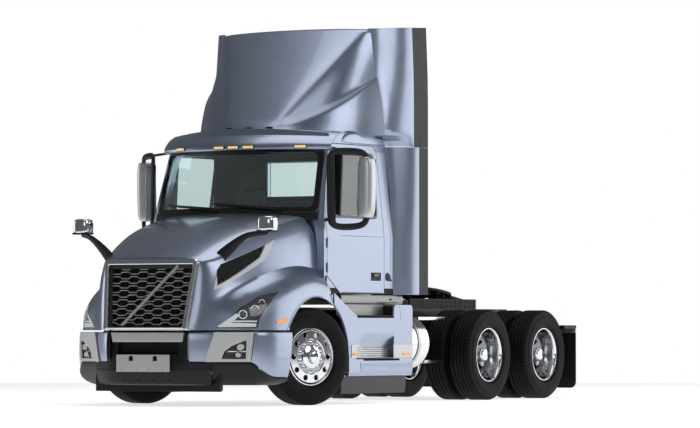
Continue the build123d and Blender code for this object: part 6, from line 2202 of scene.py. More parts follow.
# --------------------------------------------------------------------- chassis side
@dataclass
class ChassisFairings:
    """The painted fairings under the cab, with their bright step bands and dark skirts."""

    outer: float = 1.2
    wall: float = 0.022
    # the side view, from the arch's top round by the bottom to the rear and back over the top
    outline: tuple = (
        (0.297, 1.035), (0.36, 0.988), (0.409, 0.945), (0.462, 0.882), (0.511, 0.806), (0.549, 0.727),
        (0.575, 0.64), (0.583, 0.56), (0.597, 0.48), (0.597, 0.292), (1.94, 0.292), (1.94, 1.018),
        (1.925, 1.04), (1.9, 1.047), (1.585, 1.047), (1.556, 1.036), (1.545, 1.01), (1.532, 0.925),
        (0.766, 0.925), (0.549, 1.03), (0.297, 1.165)
    )
    section: tuple = (
        (1.16, 0.284), (1.176, 0.286), (1.19, 0.296), (1.197, 0.32), (1.2, 0.36), (1.2, 0.47), (1.2, 0.63),
        (1.201, 0.76), (1.201, 0.925), (1.2, 1.03), (1.199, 1.1), (1.198, 1.18)
    )
    pocket: tuple[float, float] = (0.745, 1.53)
    pocket_top: float = 0.715
    depth: float = 0.072
    band: tuple[float, float] = (0.484, 0.622)
    band_span: tuple[float, float] = (0.64, 1.936)

    def side_prism(self, outline: Outline, low: float = 1.0, high: float = 1.3) -> Form:
        """Push a side view's outline across the left fairing."""
        return Form().plate([(aft(y), z) for y, z in outline], upright(low), high - low)

    def scoop(self) -> Form:
        """Give the body that hollows the foot pocket: shallow at the top, deep at the tread.

        Returns:
            The body to cut out.
        """
        start, end = self.pocket
        ribs = []
        for share, deep in ((0.0, 0.0), (0.15, 0.16), (0.4, 0.46), (0.7, 0.8), (0.9, 0.97), (0.999, 1.0)):
            y = aft(start + (end - start) * share)
            rib = [(1.26, y, self.pocket_top), (1.26, y, self.band[0] + 0.004)]
            for depth, z in (
                (1.0, self.band[0] + 0.004), (0.95, 0.56), (0.72, 0.62), (0.36, 0.675),
                (0.0, self.pocket_top)
            ):
                rib.append((1.203 - depth * deep * self.depth, y, z))
            ribs.append(rib)
        form = Form().skin(ribs, closed=True)
        form.capped()
        return form

    def panels(self) -> None:
        """Make the painted skin with its pocket, slots and seams."""
        ribs = [[(x, aft(y), z) for x, z in self.section] for y in (0.25, 0.6, 0.9, 1.25, 1.6, 2.0)]
        form = Form().skin(ribs, inside=(0.9, aft(1.1), 0.7))
        slot = Form().box((1.0, aft(0.895), 0.454), (1.3, aft(1.66), 0.476))
        seam = self.side_prism(
            ((1.652, 1.06), (1.687, 0.887), (1.96, 0.89), (1.96, 0.895), (1.691, 0.892), (1.657, 1.06)),
            1.195, 1.21
        )
        lower = self.side_prism(((0.6, 0.415), (0.83, 0.438), (0.86, 0.35), (0.6, 0.325)), 1.196, 1.24)
        for side in Side:
            make = Form()
            make.absorb(form.mesh.copy())
            deliver(
                make.on(side), f"chassis_fairing_{side.word}", PAINT, replaces=["chassis_fairings"],
                wall=self.wall, bevel=0.0025, within=self.side_prism(self.outline).on(side),
                cutters=[
                    self.scoop().on(side), Form().absorb(slot.mesh.copy()).on(side),
                    Form().absorb(seam.mesh.copy()).on(side), Form().absorb(lower.mesh.copy()).on(side)
                ]
            )
        for spare in (form, slot, seam, lower):
            spare.mesh.free()

    def lips(self) -> None:
        """Make the bright edge that follows the arch on the fairing."""
        arc = self.outline[:9]
        ribs = []
        for y, z in arc:
            ribs.append([
                (1.2015, aft(y), z), (1.203, aft(y + 0.006), z + 0.003), (1.2015, aft(y + 0.014), z + 0.006),
                (1.199, aft(y + 0.007), z + 0.002)
            ])
        form = Form().skin(ribs, closed=True)
        form.capped()
        deliver(form.mirrored(), "fairing_arch_lips", PAINT)

    def bands(self) -> None:
        """Make the bright bands; between their ends the tread lies back in the pocket."""
        low, high = self.band
        start, end = self.band_span
        ends = Form()
        ends.box((1.196, aft(start), low), (1.206, aft(self.pocket[0]), high), bevel=0.002)
        ends.box((1.196, aft(self.pocket[1] - 0.004), low), (1.206, aft(end), high), bevel=0.003)
        deliver(ends.mirrored(), "step_band_ends", SATIN_LIGHT)
        tread = Form().skin(
            [
                [(1.2055 - self.depth * deep, aft(y), z) for z in (low, 0.52, 0.57, high)]
                for y, deep in (
                    (self.pocket[0] - 0.002, 0.0), (1.05, 0.42), (1.28, 0.76), (self.pocket[1] - 0.004, 1.0)
                )
            ],
            inside=(0.9, aft(1.1), 0.55)
        )
        dots = Form()
        for row in range(5):
            for column in range(36):
                share = (column + 0.8 + (row % 2) * 0.5) / 37.5
                y = self.pocket[0] + (self.pocket[1] - self.pocket[0]) * share
                x = 1.2055 - self.depth * share
                dots.rod(
                    (x - 0.004, aft(y), low + 0.022 + row * 0.022),
                    (x + 0.0012, aft(y), low + 0.022 + row * 0.022), 0.004, 8
                )
        deliver(tread.mirrored(), "step_treads", SATIN_LIGHT, wall=0.006, bevel=0.0008)
        deliver(dots.mirrored(), "step_tread_dots", KICK_PLATE)
        ledge = Form().box(
            (1.112, aft(self.pocket[0]), 0.47), (1.204, aft(self.pocket[1] - 0.004), 0.486), bevel=0.003
        )
        ledge.box(
            (1.112, aft(self.pocket[0]), 0.476), (1.124, aft(self.pocket[1] - 0.004), 0.62), bevel=0.003
        )
        deliver(ledge.mirrored(), "step_ledges", CHARCOAL)
        lamps, bases = Form(), Form()
        for y, half in ((0.705, 0.032), (1.8, 0.076)):
            bases.box(
                (1.203, aft(y - half - 0.006), 0.506), (1.209, aft(y + half + 0.006), 0.542), bevel=0.003
            )
            lamps.box((1.206, aft(y - half), 0.511), (1.216, aft(y + half), 0.537), bevel=0.006)
        deliver(bases.mirrored(), "side_marker_bases", SATIN_LIGHT)
        deliver(lamps.mirrored(), "side_marker_lamps", AMBER)

    def pockets(self) -> None:
        """Line the foot pockets, the slots and the top of the fairings; the pockets' end walls carry painted
        shade and the slots are boxes of painted shadow.
        """
        start, end = self.pocket
        ribs = []
        for share, deep in ((0.0, 0.0), (0.15, 0.16), (0.4, 0.46), (0.7, 0.8), (0.9, 0.97), (1.0, 1.0)):
            y = start + (end - start) * share
            rib = []
            for depth, z in ((0.0, self.pocket_top + 0.002), (0.36, 0.675), (0.72, 0.62), (0.9, 0.58)):
                rib.append((1.1998 - depth * deep * self.depth, aft(y), z))
            ribs.append(rib)
        form = Form().skin(ribs, inside=(0.9, aft(1.1), 0.65))
        deliver(form.mirrored(), "foot_pockets", PAINT, smooth=1, wall=0.004)
        # The pockets' end walls are painted shade: a darkened copy of the cab paint.
        ends = Form().plate(
            [(1.204, 0.486), (1.204, self.pocket_top), (1.146, 0.625), (1.13, 0.56), (1.13, 0.486)],
            crosswise(aft(end + 0.004)), 0.006
        )
        deliver(ends.mirrored(), "foot_pocket_ends", PAINTED_SHADE_PAINT)
        # Painted shadow: near-black boxes in the slots and in the gap under the tread, where shade falls.
        slots = Form().box((1.15, aft(0.885), 0.448), (1.176, aft(1.67), 0.482), bevel=0.003)
        slots.box((1.085, aft(0.76), 0.885), (1.196, aft(1.54), 0.921), bevel=0.004)
        slots.box((1.198, aft(0.77), 0.906), (1.205, aft(1.532), 0.93), bevel=0.002)
        deliver(slots.mirrored(), "fairing_slots", PAINTED_SHADOW_BLACK)
        top = Form().box((1.06, aft(0.775), 0.921), (1.192, aft(1.525), 0.931), bevel=0.003)
        ribbing = Form()
        for row in range(14):
            x = 1.072 + row * 0.0085
            ribbing.box((x, aft(0.79), 0.929), (x + 0.004, aft(1.51), 0.935), bevel=0.001)
        top.absorb(ribbing.mesh)
        deliver(top.mirrored(), "fairing_top_treads", CHARCOAL)

    def skirts(self) -> None:
        """Make the flexible skirts that hang below."""
        section = (
            (1.15, 0.11), (1.156, 0.108), (1.163, 0.15), (1.166, 0.215), (1.166, 0.292), (1.152, 0.292),
            (1.151, 0.215), (1.15, 0.15)
        )
        ribs = [[(x, aft(y), z) for x, z in section] for y in (0.492, 0.95, 1.4, 1.848)]
        form = Form().skin(ribs, closed=True)
        form.capped()
        deliver(form.mirrored(), "side_skirts", SKIRT_GREY, replaces=["lower_skirts"], bevel=0.002)
        dam = from_node("lower_skirts")
        keep = Form().box((-1.3, aft(-1.6), 0.05), (1.3, aft(0.4), 0.5))
        deliver(dam, "air_dam", CHARCOAL, bevel=0.003, within=keep)

    def build(self) -> None:
        """Make both sides."""
        self.panels()
        self.lips()
        self.bands()
        self.pockets()
        self.skirts()


@dataclass
class SideSteps:
    """The kick plates under the doors and the treads behind the cab."""

    face: float = 1.06

    def wells(self) -> None:
        """Make the satin kick plates with their lips, and the dark ends behind."""
        lip = Form().plate(
            [
                (1.04, 1.15), (1.096, 1.15), (1.104, 1.136), (1.104, 1.08), (1.098, 1.062), (1.086, 1.052),
                (1.062, 1.05), (1.04, 1.05)
            ],
            crosswise(aft(1.9)), 1.3, bevel=0.002
        )
        deliver(lip.mirrored(), "kick_plate_lips", KICK_PLATE, replaces=["steps"])
        plate = Form().box((1.04, aft(0.745), 0.905), (self.face, aft(1.55), 1.055), bevel=0.003)
        plate.box((self.face - 0.001, aft(0.86), 0.955), (self.face + 0.003, aft(1.33), 1.02), bevel=0.0015)
        deliver(plate.mirrored(), "kick_plates", KICK_PLATE)
        ends = Form().box((1.03, aft(1.555), 0.905), (1.052, aft(1.9), 1.055), bevel=0.003)
        ends.box((1.03, aft(0.59), 0.93), (1.046, aft(0.742), 1.12), bevel=0.003)
        ends.box((1.05, aft(1.56), 0.925), (1.176, aft(1.58), 1.03), bevel=0.003)
        ends.box((1.1, aft(1.61), 1.095), (1.109, aft(1.655), 1.115), bevel=0.002)
        deliver(ends.mirrored(), "kick_plate_ends", CHARCOAL)

    def treads(self) -> None:
        """Make the open treads behind the cab, with raised grip teeth."""
        form = Form()
        for left_x, right_x, start, end, top in (
            (0.43, 0.9, 2.6, 3.19, 0.917), (0.43, 0.9, 2.74, 3.2, 0.445)
        ):
            form.box(
                (left_x, aft(start), top - 0.028), (right_x, aft(start + 0.016), top + 0.004), bevel=0.003
            )
            form.box((left_x, aft(end - 0.016), top - 0.028), (right_x, aft(end), top + 0.004), bevel=0.003)
            form.box((left_x, aft(start), top - 0.028), (left_x + 0.016, aft(end), top + 0.004), bevel=0.003)
            form.box(
                (right_x - 0.022, aft(start), top - 0.03), (right_x, aft(end), top + 0.006), bevel=0.004
            )
            bars = round((end - start) / 0.04)
            for bar in range(1, bars):
                y = aft(start + (end - start) * bar / bars)
                form.box(
                    (left_x + 0.01, y - 0.005, top - 0.022), (right_x - 0.012, y + 0.005, top), bevel=0.002
                )
            for rail in (0.25, 0.5, 0.75):
                x = left_x + (right_x - left_x) * rail
                form.box(
                    (x - 0.006, aft(start + 0.01), top - 0.024), (x + 0.006, aft(end - 0.01), top - 0.006),
                    bevel=0.002
                )
        deliver(form.mirrored(), "access_treads", POLISHED)
        posts = Form()
        for place in (2.78, 3.08):
            posts.box((0.43, aft(place), 0.42), (0.452, aft(place + 0.04), 0.9), bevel=0.004)
        deliver(posts.mirrored(), "tread_posts", BLACK_PAINT)

    def build(self) -> None:
        """Make the steps of both sides."""
        self.wells()
        self.treads()


@dataclass
class Tanks:
    """The polished fuel tanks with their straps, brackets and caps."""

    middle: tuple[float, float] = (0.815, 0.64)
    radius: float = 0.285
    span: tuple[float, float] = (1.33, 2.53)
    straps: tuple[float, ...] = (1.45, 2.27)

    def build(self) -> None:
        """Make both tanks."""
        x, z = self.middle
        start, end = aft(self.span[0]), aft(self.span[1])
        place = Matrix.Translation((x, 0, z)) @ Matrix.Rotation(math.radians(90), 4, "Z")
        rim = self.radius
        profile = [
            (start, 0.0005), (start + 0.004, 0.18), (start + 0.008, rim - 0.04),
            (start + 0.016, rim - 0.016), (start + 0.03, rim - 0.003), (start + 0.045, rim),
            (start + 0.06, rim - 0.0025), (start + 0.066, rim), (end - 0.066, rim),
            (end - 0.06, rim - 0.0025), (end - 0.045, rim), (end - 0.03, rim - 0.003),
            (end - 0.016, rim - 0.016), (end - 0.008, rim - 0.04), (end - 0.004, 0.18), (end, 0.0005)
        ]
        tank = Form().turned(profile, place, 96)
        deliver(tank.mirrored(), "tank_shells", POLISHED, replaces=["fuel_tanks"])
        bands, rubbers, bolts = Form(), Form(), Form()
        for strap in self.straps:
            y = aft(strap)
            bands.turned(
                (
                    (y - 0.026, rim + 0.003), (y - 0.026, rim + 0.007), (y + 0.026, rim + 0.007),
                    (y + 0.026, rim + 0.003), (y - 0.026, rim + 0.003)
                ),
                place, 96
            )
            rubbers.turned(
                (
                    (y - 0.032, rim - 0.001), (y - 0.032, rim + 0.004), (y + 0.032, rim + 0.004),
                    (y + 0.032, rim - 0.001), (y - 0.032, rim - 0.001)
                ),
                place, 96
            )
            bolts.rod((x - 0.2, y, z + 0.305), (x - 0.14, y, z + 0.285), 0.01, 8)
            bolts.box((x - 0.21, y - 0.018, z + 0.2), (x - 0.19, y + 0.018, z + 0.3), bevel=0.003)
        deliver(bands.mirrored(), "tank_straps", SATIN_LIGHT)
        deliver(rubbers.mirrored(), "tank_strap_rubbers", CHARCOAL)
        deliver(bolts.mirrored(), "tank_strap_bolts", CHROME)
        brackets = Form()
        for strap in self.straps:
            y = aft(strap)
            brackets.plate(
                [
                    (0.43, 0.995), (0.56, 0.995), (0.6, 0.88), (0.545, 0.76), (0.52, 0.64), (0.545, 0.52),
                    (0.64, 0.4), (0.815, 0.352), (0.815, 0.338), (0.6, 0.35), (0.43, 0.52)
                ],
                crosswise(y + 0.03), 0.06, bevel=0.003
            )
        shell = Form().turned(
            (
                (start - 0.1, 0.0005), (start - 0.1, rim + 0.001), (end + 0.1, rim + 0.001),
                (end + 0.1, 0.0005)
            ),
            place, 96
        )
        deliver(brackets.less(shell).mirrored(), "tank_brackets", BLACK_PAINT)
        caps = Form()
        for y in (aft(2.385),):
            aim = Matrix.Translation((x, y, z)) @ Matrix.Rotation(
                math.radians(-28), 4, "Y"
            ) @ Matrix.Translation((0, 0, rim - 0.004))
            part = Form().turned(
                ((0, 0.052), (0.02, 0.052), (0.02, 0.045), (0.05, 0.045), (0.056, 0.04), (0.056, 0.0005)),
                Matrix.Rotation(math.radians(-90), 4, "Y"), 32
            )
            caps.absorb(part.mesh, aim)
        deliver(caps.mirrored(), "tank_caps", CHROME, bevel=0.001)


@dataclass
class MudFlaps:
    """The rear mud flaps with round lower corners, their ribs, clamp bars and bolts."""

    span: tuple[float, float] = (0.6, 1.19)
    low: float = 0.11
    top: float = 0.812
    corner: float = 0.07

    def outline(self, inset: float = 0.0) -> list[tuple[float, float]]:
        """Give the flap's outline, drawn in.

        Args:
            inset: How far it is drawn in.

        Returns:
            The points.
        """
        left, right = self.span[0] + inset, self.span[1] - inset
        low, top, radius = self.low + inset, self.top - inset, self.corner - inset
        points = [(left, top), (right, top)]
        for step in range(7):
            angle = math.radians(90 * step / 6)
            points.append(
                (right - radius + radius * math.cos(angle), low + radius - radius * math.sin(angle))
            )
        for step in range(7):
            angle = math.radians(90 - 90 * step / 6)
            points.append(
                (left + radius - radius * math.cos(angle), low + radius - radius * math.sin(angle))
            )
        return points

    def build(self) -> None:
        """Make both flaps."""
        flap = Form().plate(self.outline(), crosswise(aft(5.8)), 0.008)
        deliver(flap.mirrored(), "flap_sheets", CHARCOAL, replaces=["mud_flaps"], bevel=0.0015)
        ribs = Form()
        for column in range(1, 12):
            x = self.span[0] + (self.span[1] - self.span[0]) * column / 12
            ribs.box((x - 0.004, aft(5.788), 0.2), (x + 0.004, aft(5.793), 0.66), bevel=0.001)
        deliver(ribs.mirrored(), "flap_ribs", CHARCOAL)
        clamp = Form().box((0.6, aft(5.78), 0.745), (1.19, aft(5.7925), 0.8), bevel=0.003)
        deliver(clamp.mirrored(), "flap_clamps", SATIN_LIGHT)
        bolts = Form()
        for column in range(6):
            x = 0.64 + column * 0.102
            bolts.rod((x, aft(5.792), 0.772), (x, aft(5.772), 0.772), 0.009, 6)
        deliver(bolts.mirrored(), "flap_bolts", CHROME)


# ------------------------------------------------------------------------------ cab
@dataclass
class Cab:
    """The cab's shell: rounded, painted panels with its dark liner inside."""

    def shell(self) -> None:
        """Dress the cab's four panels in paint, with soft edges."""
        for node in ("cab_front", "cab_rear_wall", "cab_roof", "cab_sides"):
            deliver(from_node(node), f"{node}_panel", PAINT, replaces=[node], bevel=0.006)

    def liner(self) -> None:
        """Line the roof, the walls and the firewall inside."""
        form = Form()
        form.box((-0.905, aft(0.7), 2.8), (0.905, aft(1.672), 2.812), bevel=0.004)
        form.box((-0.895, aft(1.664), 1.225), (0.895, aft(1.676), 2.14), bevel=0.004)
        form.box((-0.895, aft(1.664), 2.61), (0.895, aft(1.676), 2.8), bevel=0.004)
        form.box((-0.895, aft(1.664), 2.14), (-0.48, aft(1.676), 2.61), bevel=0.004)
        form.box((0.48, aft(1.664), 2.14), (0.895, aft(1.676), 2.61), bevel=0.004)
        form.box((-1.01, aft(0.35), 1.222), (1.01, aft(0.357), 1.5), bevel=0.003)
        deliver(form, "cab_liner", MOULDING)
        shelf = Form().plate(
            [(-0.9, 2.655), (0.9, 2.655), (0.86, 2.78), (-0.86, 2.78)], crosswise(aft(0.86)), 0.012,
            bevel=0.003
        )
        shelf.box((-0.88, aft(0.62), 2.652), (0.88, aft(0.95), 2.664), bevel=0.004)
        deliver(shelf, "overhead_shelf", MOULDING)
        trim = Form().box((-0.48, aft(1.664), 2.14), (0.48, aft(1.676), 2.232), bevel=0.003)
        for side in (-1, 1):
            trim.box((side * 0.89, aft(1.3), 1.9), (side * 0.93, aft(1.664), 2.8), bevel=0.01)
        deliver(trim, "pillar_trim", MOULDING)
        mat = Form().box((-0.98, aft(0.4), 1.222), (0.98, aft(1.66), 1.23), bevel=0.003)
        for row in range(18):
            y = 0.5 + row * 0.06
            mat.box((-0.9, aft(y), 1.229), (0.9, aft(y + 0.014), 1.233), bevel=0.001)
        deliver(mat, "floor_mat", MOULDING)

    def seams(self) -> None:
        """Lay the cab's dark seals: behind the hood and round the rear window."""
        form = Form()
        for y0, y1, z in ((0.3, 0.34, 1.345),):
            form.box((1.075, aft(y0), 1.16), (1.083, aft(y1), z), bevel=0.002)
        deliver(form.mirrored(), "cowl_side_seals", CHARCOAL)
        frame = Form()
        for low, high in (((-0.5, 2.118), (0.5, 2.15)), ((-0.5, 2.6), (0.5, 2.632))):
            frame.box((low[0], aft(1.736), low[1]), (high[0], aft(1.75), high[1]), bevel=0.005)
        for x in (-0.5, 0.47):
            frame.box((x, aft(1.736), 2.125), (x + 0.03, aft(1.75), 2.625), bevel=0.005)
        deliver(frame, "rear_window_seal", CHARCOAL)

    def build(self) -> None:
        """Make the shell and what lines it."""
        self.shell()
        self.liner()
        self.seams()


@dataclass
class Windscreen:
    """The curved windscreen with its black border, wipers and cowl strip."""

    radius: float = 2.44
    foot_y: float = 0.06
    foot_z: float = 2.01
    lean: float = math.radians(18.7)

    def point(self, x: float, z: float, inset: float) -> tuple[float, float, float]:
        """Give the point of the leaning drum at a place across and a height.

        Args:
            x: Place across.
            z: Height.
            inset: How far behind the cab's own face, towards the drum's axis.

        Returns:
            The point.
        """
        reach = self.radius * math.cos(self.lean) - inset
        up = z - self.foot_z
        # the drum's axis passes the middle's centre at this height
        centre = self.foot_y + self.radius + up * math.tan(self.lean)
        across = math.sqrt(max(0.0, reach**2 - x**2))
        return x, aft(centre - across / math.cos(self.lean)), z

    def pane(
        self, half_low: float, half_high: float, low: float, high: float, inset: float, columns: int = 24
    ) -> Form:
        """Make a sheet on the drum, its sides slanted.

        Args:
            half_low: Half the width below.
            half_high: Half the width above.
            low: The lower edge's height.
            high: The upper edge's height.
            inset: How far it lies inside the drum.
            columns: How many faces go across.

        Returns:
            The open sheet.
        """
        ribs = []
        for column in range(columns + 1):
            share = -1 + 2 * column / columns
            rib = []
            for level in range(9):
                z = low + (high - low) * level / 8
                half = half_low + (half_high - half_low) * level / 8
                rib.append(self.point(half * share, z, inset))
            ribs.append(rib)
        return Form().skin(ribs, inside=(0, aft(2.0), 2.3))

    def loop(self, grown: float) -> list[tuple[float, float]]:
        """Give the opening's outline with round corners, grown outward.

        Args:
            grown: How far it is grown.

        Returns:
            The points.
        """
        half_low, half_high, low, high = 0.95 + grown, 0.92 + grown, 2.05 - grown, 2.655 + grown
        radius = 0.055 + grown * 0.3
        points = []
        for cx, cz, start in (
            (half_low - radius, low + radius, -90), (half_high - radius, high - radius, 0),
            (radius - half_high, high - radius, 90), (radius - half_low, low + radius, 180)
        ):
            for step in range(7):
                angle = math.radians(start + step * 15)
                points.append((cx + radius * math.cos(angle), cz + radius * math.sin(angle)))
        return points

    def border(self) -> None:
        """Make the black border round the glass."""
        sheet = self.pane(1.02, 0.99, 2.005, 2.69, -0.004, 40)
        outer = Form().plate(self.loop(0.045), crosswise(aft(1.2)), 1.6)
        inner = Form().plate(self.loop(-0.012), crosswise(aft(1.2)), 1.6)
        deliver(
            sheet, "windscreen_border", GLOSS_BLACK, wall=0.016, within=outer, cutters=[inner], bevel=0.002
        )

    def glass(self) -> None:
        """Make the windscreen and the rear pane."""
        form = self.pane(0.948, 0.918, 2.052, 2.653, 0.011, 40).thick(0.006)
        form.box((-0.468, aft(1.7135), 2.152), (0.468, aft(1.7185), 2.598))
        deliver(form, "cab_panes", PANE, replaces=["cab_glass"])

    def wipers(self) -> None:
        """Make the two wipers, parked along the windscreen's foot."""
        form = Form()
        for pivot, tip in (((0.62, 2.035), (-0.12, 2.092)), ((-0.12, 2.03), (-0.8, 2.085))):
            x0, z0 = pivot
            x1, z1 = tip
            path = [
                self.point(
                    x0 + (x1 - x0) * s, z0 + (z1 - z0) * s + 0.012 * math.sin(math.pi * s),
                    -0.03 - 0.01 * math.sin(math.pi * s)
                )
                for s in (0, 0.2, 0.4, 0.6, 0.75)
            ]
            form.tube(path, 0.007, 8)
            form.rod(self.point(x0, z0, 0.0), self.point(x0, z0, -0.045), 0.017, 16, bevel=0.003)
            blade = [
                self.point(x0 + (x1 - x0) * s, 2.058 + 0.05 * s, -0.02) for s in (0.1, 0.3, 0.55, 0.8, 1.06)
            ]
            form.tube(blade, 0.0065, 6)
            rubber = [
                self.point(x0 + (x1 - x0) * s, 2.05 + 0.05 * s, -0.01) for s in (0.1, 0.3, 0.55, 0.8, 1.06)
            ]
            form.tube(rubber, 0.004, 6)
        deliver(form, "wipers", CHARCOAL)

    def cowl(self) -> None:
        """Make the dark strip between the hood and the glass."""
        ribs = []
        for column in range(21):
            x = -1.0 + 0.1 * column
            ribs.append([
                self.point(x, z, inset)
                for z, inset in ((1.93, -0.012), (1.985, -0.014), (2.012, -0.01), (2.02, 0.004))
            ])
        form = Form().skin(ribs, inside=(0, aft(2.0), 2.0))
        deliver(form, "cowl_strip", CHARCOAL, wall=0.01)

    def build(self) -> None:
        """Make the windscreen."""
        self.border()
        self.glass()
        self.wipers()
        self.cowl()


@dataclass
class Doors:
    """The doors: creased panels, window seals, handles and locks."""

    belt: float = 1.77
    slope: float = 0.11 / 1.08

    def face(self, z: float) -> float:
        """Give the door's outer face at a height."""
        return 1.08 - max(0.0, z - self.belt) * self.slope

    def rounded_window(self, grown: float, radius: float) -> list[tuple[float, float]]:
        """Give the window's outline with round corners, grown outward.

        Args:
            grown: How far it is grown.
            radius: The corners' radius.

        Returns:
            The points.
        """
        points = [
            Vector((y, z))
            for y, z in ((0.52, 1.975), (1.405, 1.975), (1.44, 2.65), (0.655, 2.65), (0.59, 2.42))
        ]
        middle = sum(points, Vector((0, 0))) / len(points)
        result = []
        count = len(points)
        for index in range(count):
            before, here, after = points[index - 1], points[index], points[(index + 1) % count]
            back, ahead = (before - here).normalized(), (after - here).normalized()
            reach = min(radius, (before - here).length * 0.45, (after - here).length * 0.45)
            start, end = here + back * reach, here + ahead * reach
            for step in range(6):
                share = step / 5
                spot = start * (1 - share) ** 2 + here * 2 * share * (1 - share) + end * share**2
                away = spot - middle
                result.append(tuple(spot + away.normalized() * grown))
        return result

    def panel(self, side: Side) -> None:
        """Make one door's painted panel, with a soft edge.

        Args:
            side: The side of the truck.
        """
        node = f"door_{side.word}"
        piece = from_node(node)
        deliver(piece, f"door_panel_{side.word}", PAINT, node, replaces=[node], bevel=0.005)

    def seals(self, side: Side) -> None:
        """Make the black window surround and the window glass.

        Args:
            side: The side of the truck.
        """
        node = f"door_{side.word}"
        sheet = []
        for y in (0.4, 0.7, 1.0, 1.3, 1.5):
            sheet.append([(self.face(z) + 0.006, aft(y), z) for z in (1.9, 2.1, 2.3, 2.5, 2.7)])
        form = Form().skin(sheet, inside=(0, aft(1.0), 2.3))
        outer = Form().plate([(aft(y), z) for y, z in self.rounded_window(0.026, 0.075)], upright(0.8), 0.5)
        inner = Form().plate([(aft(y), z) for y, z in self.rounded_window(-0.016, 0.06)], upright(0.7), 0.6)
        deliver(
            form.on(side), f"window_surround_{side.word}", GLOSS_BLACK, node, wall=0.034,
            within=outer.on(side), cutters=[inner.on(side)], bevel=0.002
        )
        bar = Form().plate(
            [(aft(0.615), 1.965), (aft(0.648), 1.965), (aft(0.7), 2.655), (aft(0.668), 2.655)],
            upright(0.985), 0.085
        )
        keep = Form().plate([(aft(y), z) for y, z in self.rounded_window(0.0, 0.06)], upright(0.7), 0.6)
        deliver(
            bar.on(side), f"window_divider_{side.word}", CHARCOAL, node, within=keep.on(side), bevel=0.002
        )
        glass = from_node(f"door_glass_{side.word}")
        deliver(glass, f"window_glass_{side.word}", PANE, node, replaces=[f"door_glass_{side.word}"])

    def handle(self, side: Side) -> None:
        """Make the handle in its pocket, the lock and the latch plate behind the door.

        Args:
            side: The side of the truck.
        """
        node = f"door_{side.word}"
        pocket = Form().box((1.062, aft(1.268), 1.302), (1.081, aft(1.462), 1.39), bevel=0.003)
        for low, high in (
            ((1.268, 1.302), (1.462, 1.309)), ((1.268, 1.383), (1.462, 1.39)),
            ((1.268, 1.302), (1.275, 1.39)), ((1.455, 1.302), (1.462, 1.39))
        ):
            pocket.box((1.06, aft(low[0]), low[1]), (1.086, aft(high[0]), high[1]), bevel=0.002)
        deliver(pocket.on(side), f"handle_pocket_{side.word}", CHARCOAL, node)
        bar = Form().box((1.078, aft(1.3), 1.345), (1.094, aft(1.405), 1.378), bevel=0.006)
        bar.rod((1.076, aft(1.43), 1.33), (1.09, aft(1.43), 1.33), 0.011, 16, bevel=0.002)
        deliver(bar.on(side), f"door_handle_{side.word}", GLOSS_BLACK, node)
        latch = Form().plate(
            [
                (aft(1.568), 1.33), (aft(1.58), 1.38), (aft(1.612), 1.392), (aft(1.648), 1.372),
                (aft(1.676), 1.322), (aft(1.7), 1.308), (aft(1.69), 1.3), (aft(1.596), 1.304)
            ],
            upright(1.079), 0.01, bevel=0.003
        )
        deliver(latch.on(side), f"latch_plate_{side.word}", CHARCOAL)

    def creases(self, side: Side) -> None:
        """Lay the fine crease along the door's belt as a painted shade line, and the kick seal under it.

        Args:
            side: The side of the truck.
        """
        node = f"door_{side.word}"
        rail = Form().box((1.07, aft(0.64), 1.168), (1.084, aft(1.52), 1.176), bevel=0.002)
        deliver(rail.on(side), f"door_seal_{side.word}", CHARCOAL, node)
        # The belt line is painted shade: a darkened paint strip that stands for the crease's shadow.
        belt = Form().box((1.077, aft(0.625), 1.7675), (1.0812, aft(1.545), 1.7725), bevel=0.001)
        deliver(belt.on(side), f"door_belt_{side.word}", PAINTED_SHADE_PAINT, node)
        inner = Form().box((0.985, aft(0.6), 1.26), (1.012, aft(1.45), 1.85), bevel=0.012)
        inner.box((0.93, aft(0.72), 1.56), (0.99, aft(1.28), 1.615), bevel=0.014)
        inner.box((0.95, aft(0.66), 1.29), (0.99, aft(1.34), 1.42), bevel=0.012)
        deliver(inner.on(side), f"door_lining_{side.word}", MOULDING, node)

    def build(self) -> None:
        """Make both doors."""
        for side in Side:
            self.panel(side)
            self.seals(side)
            self.handle(side)
            self.creases(side)


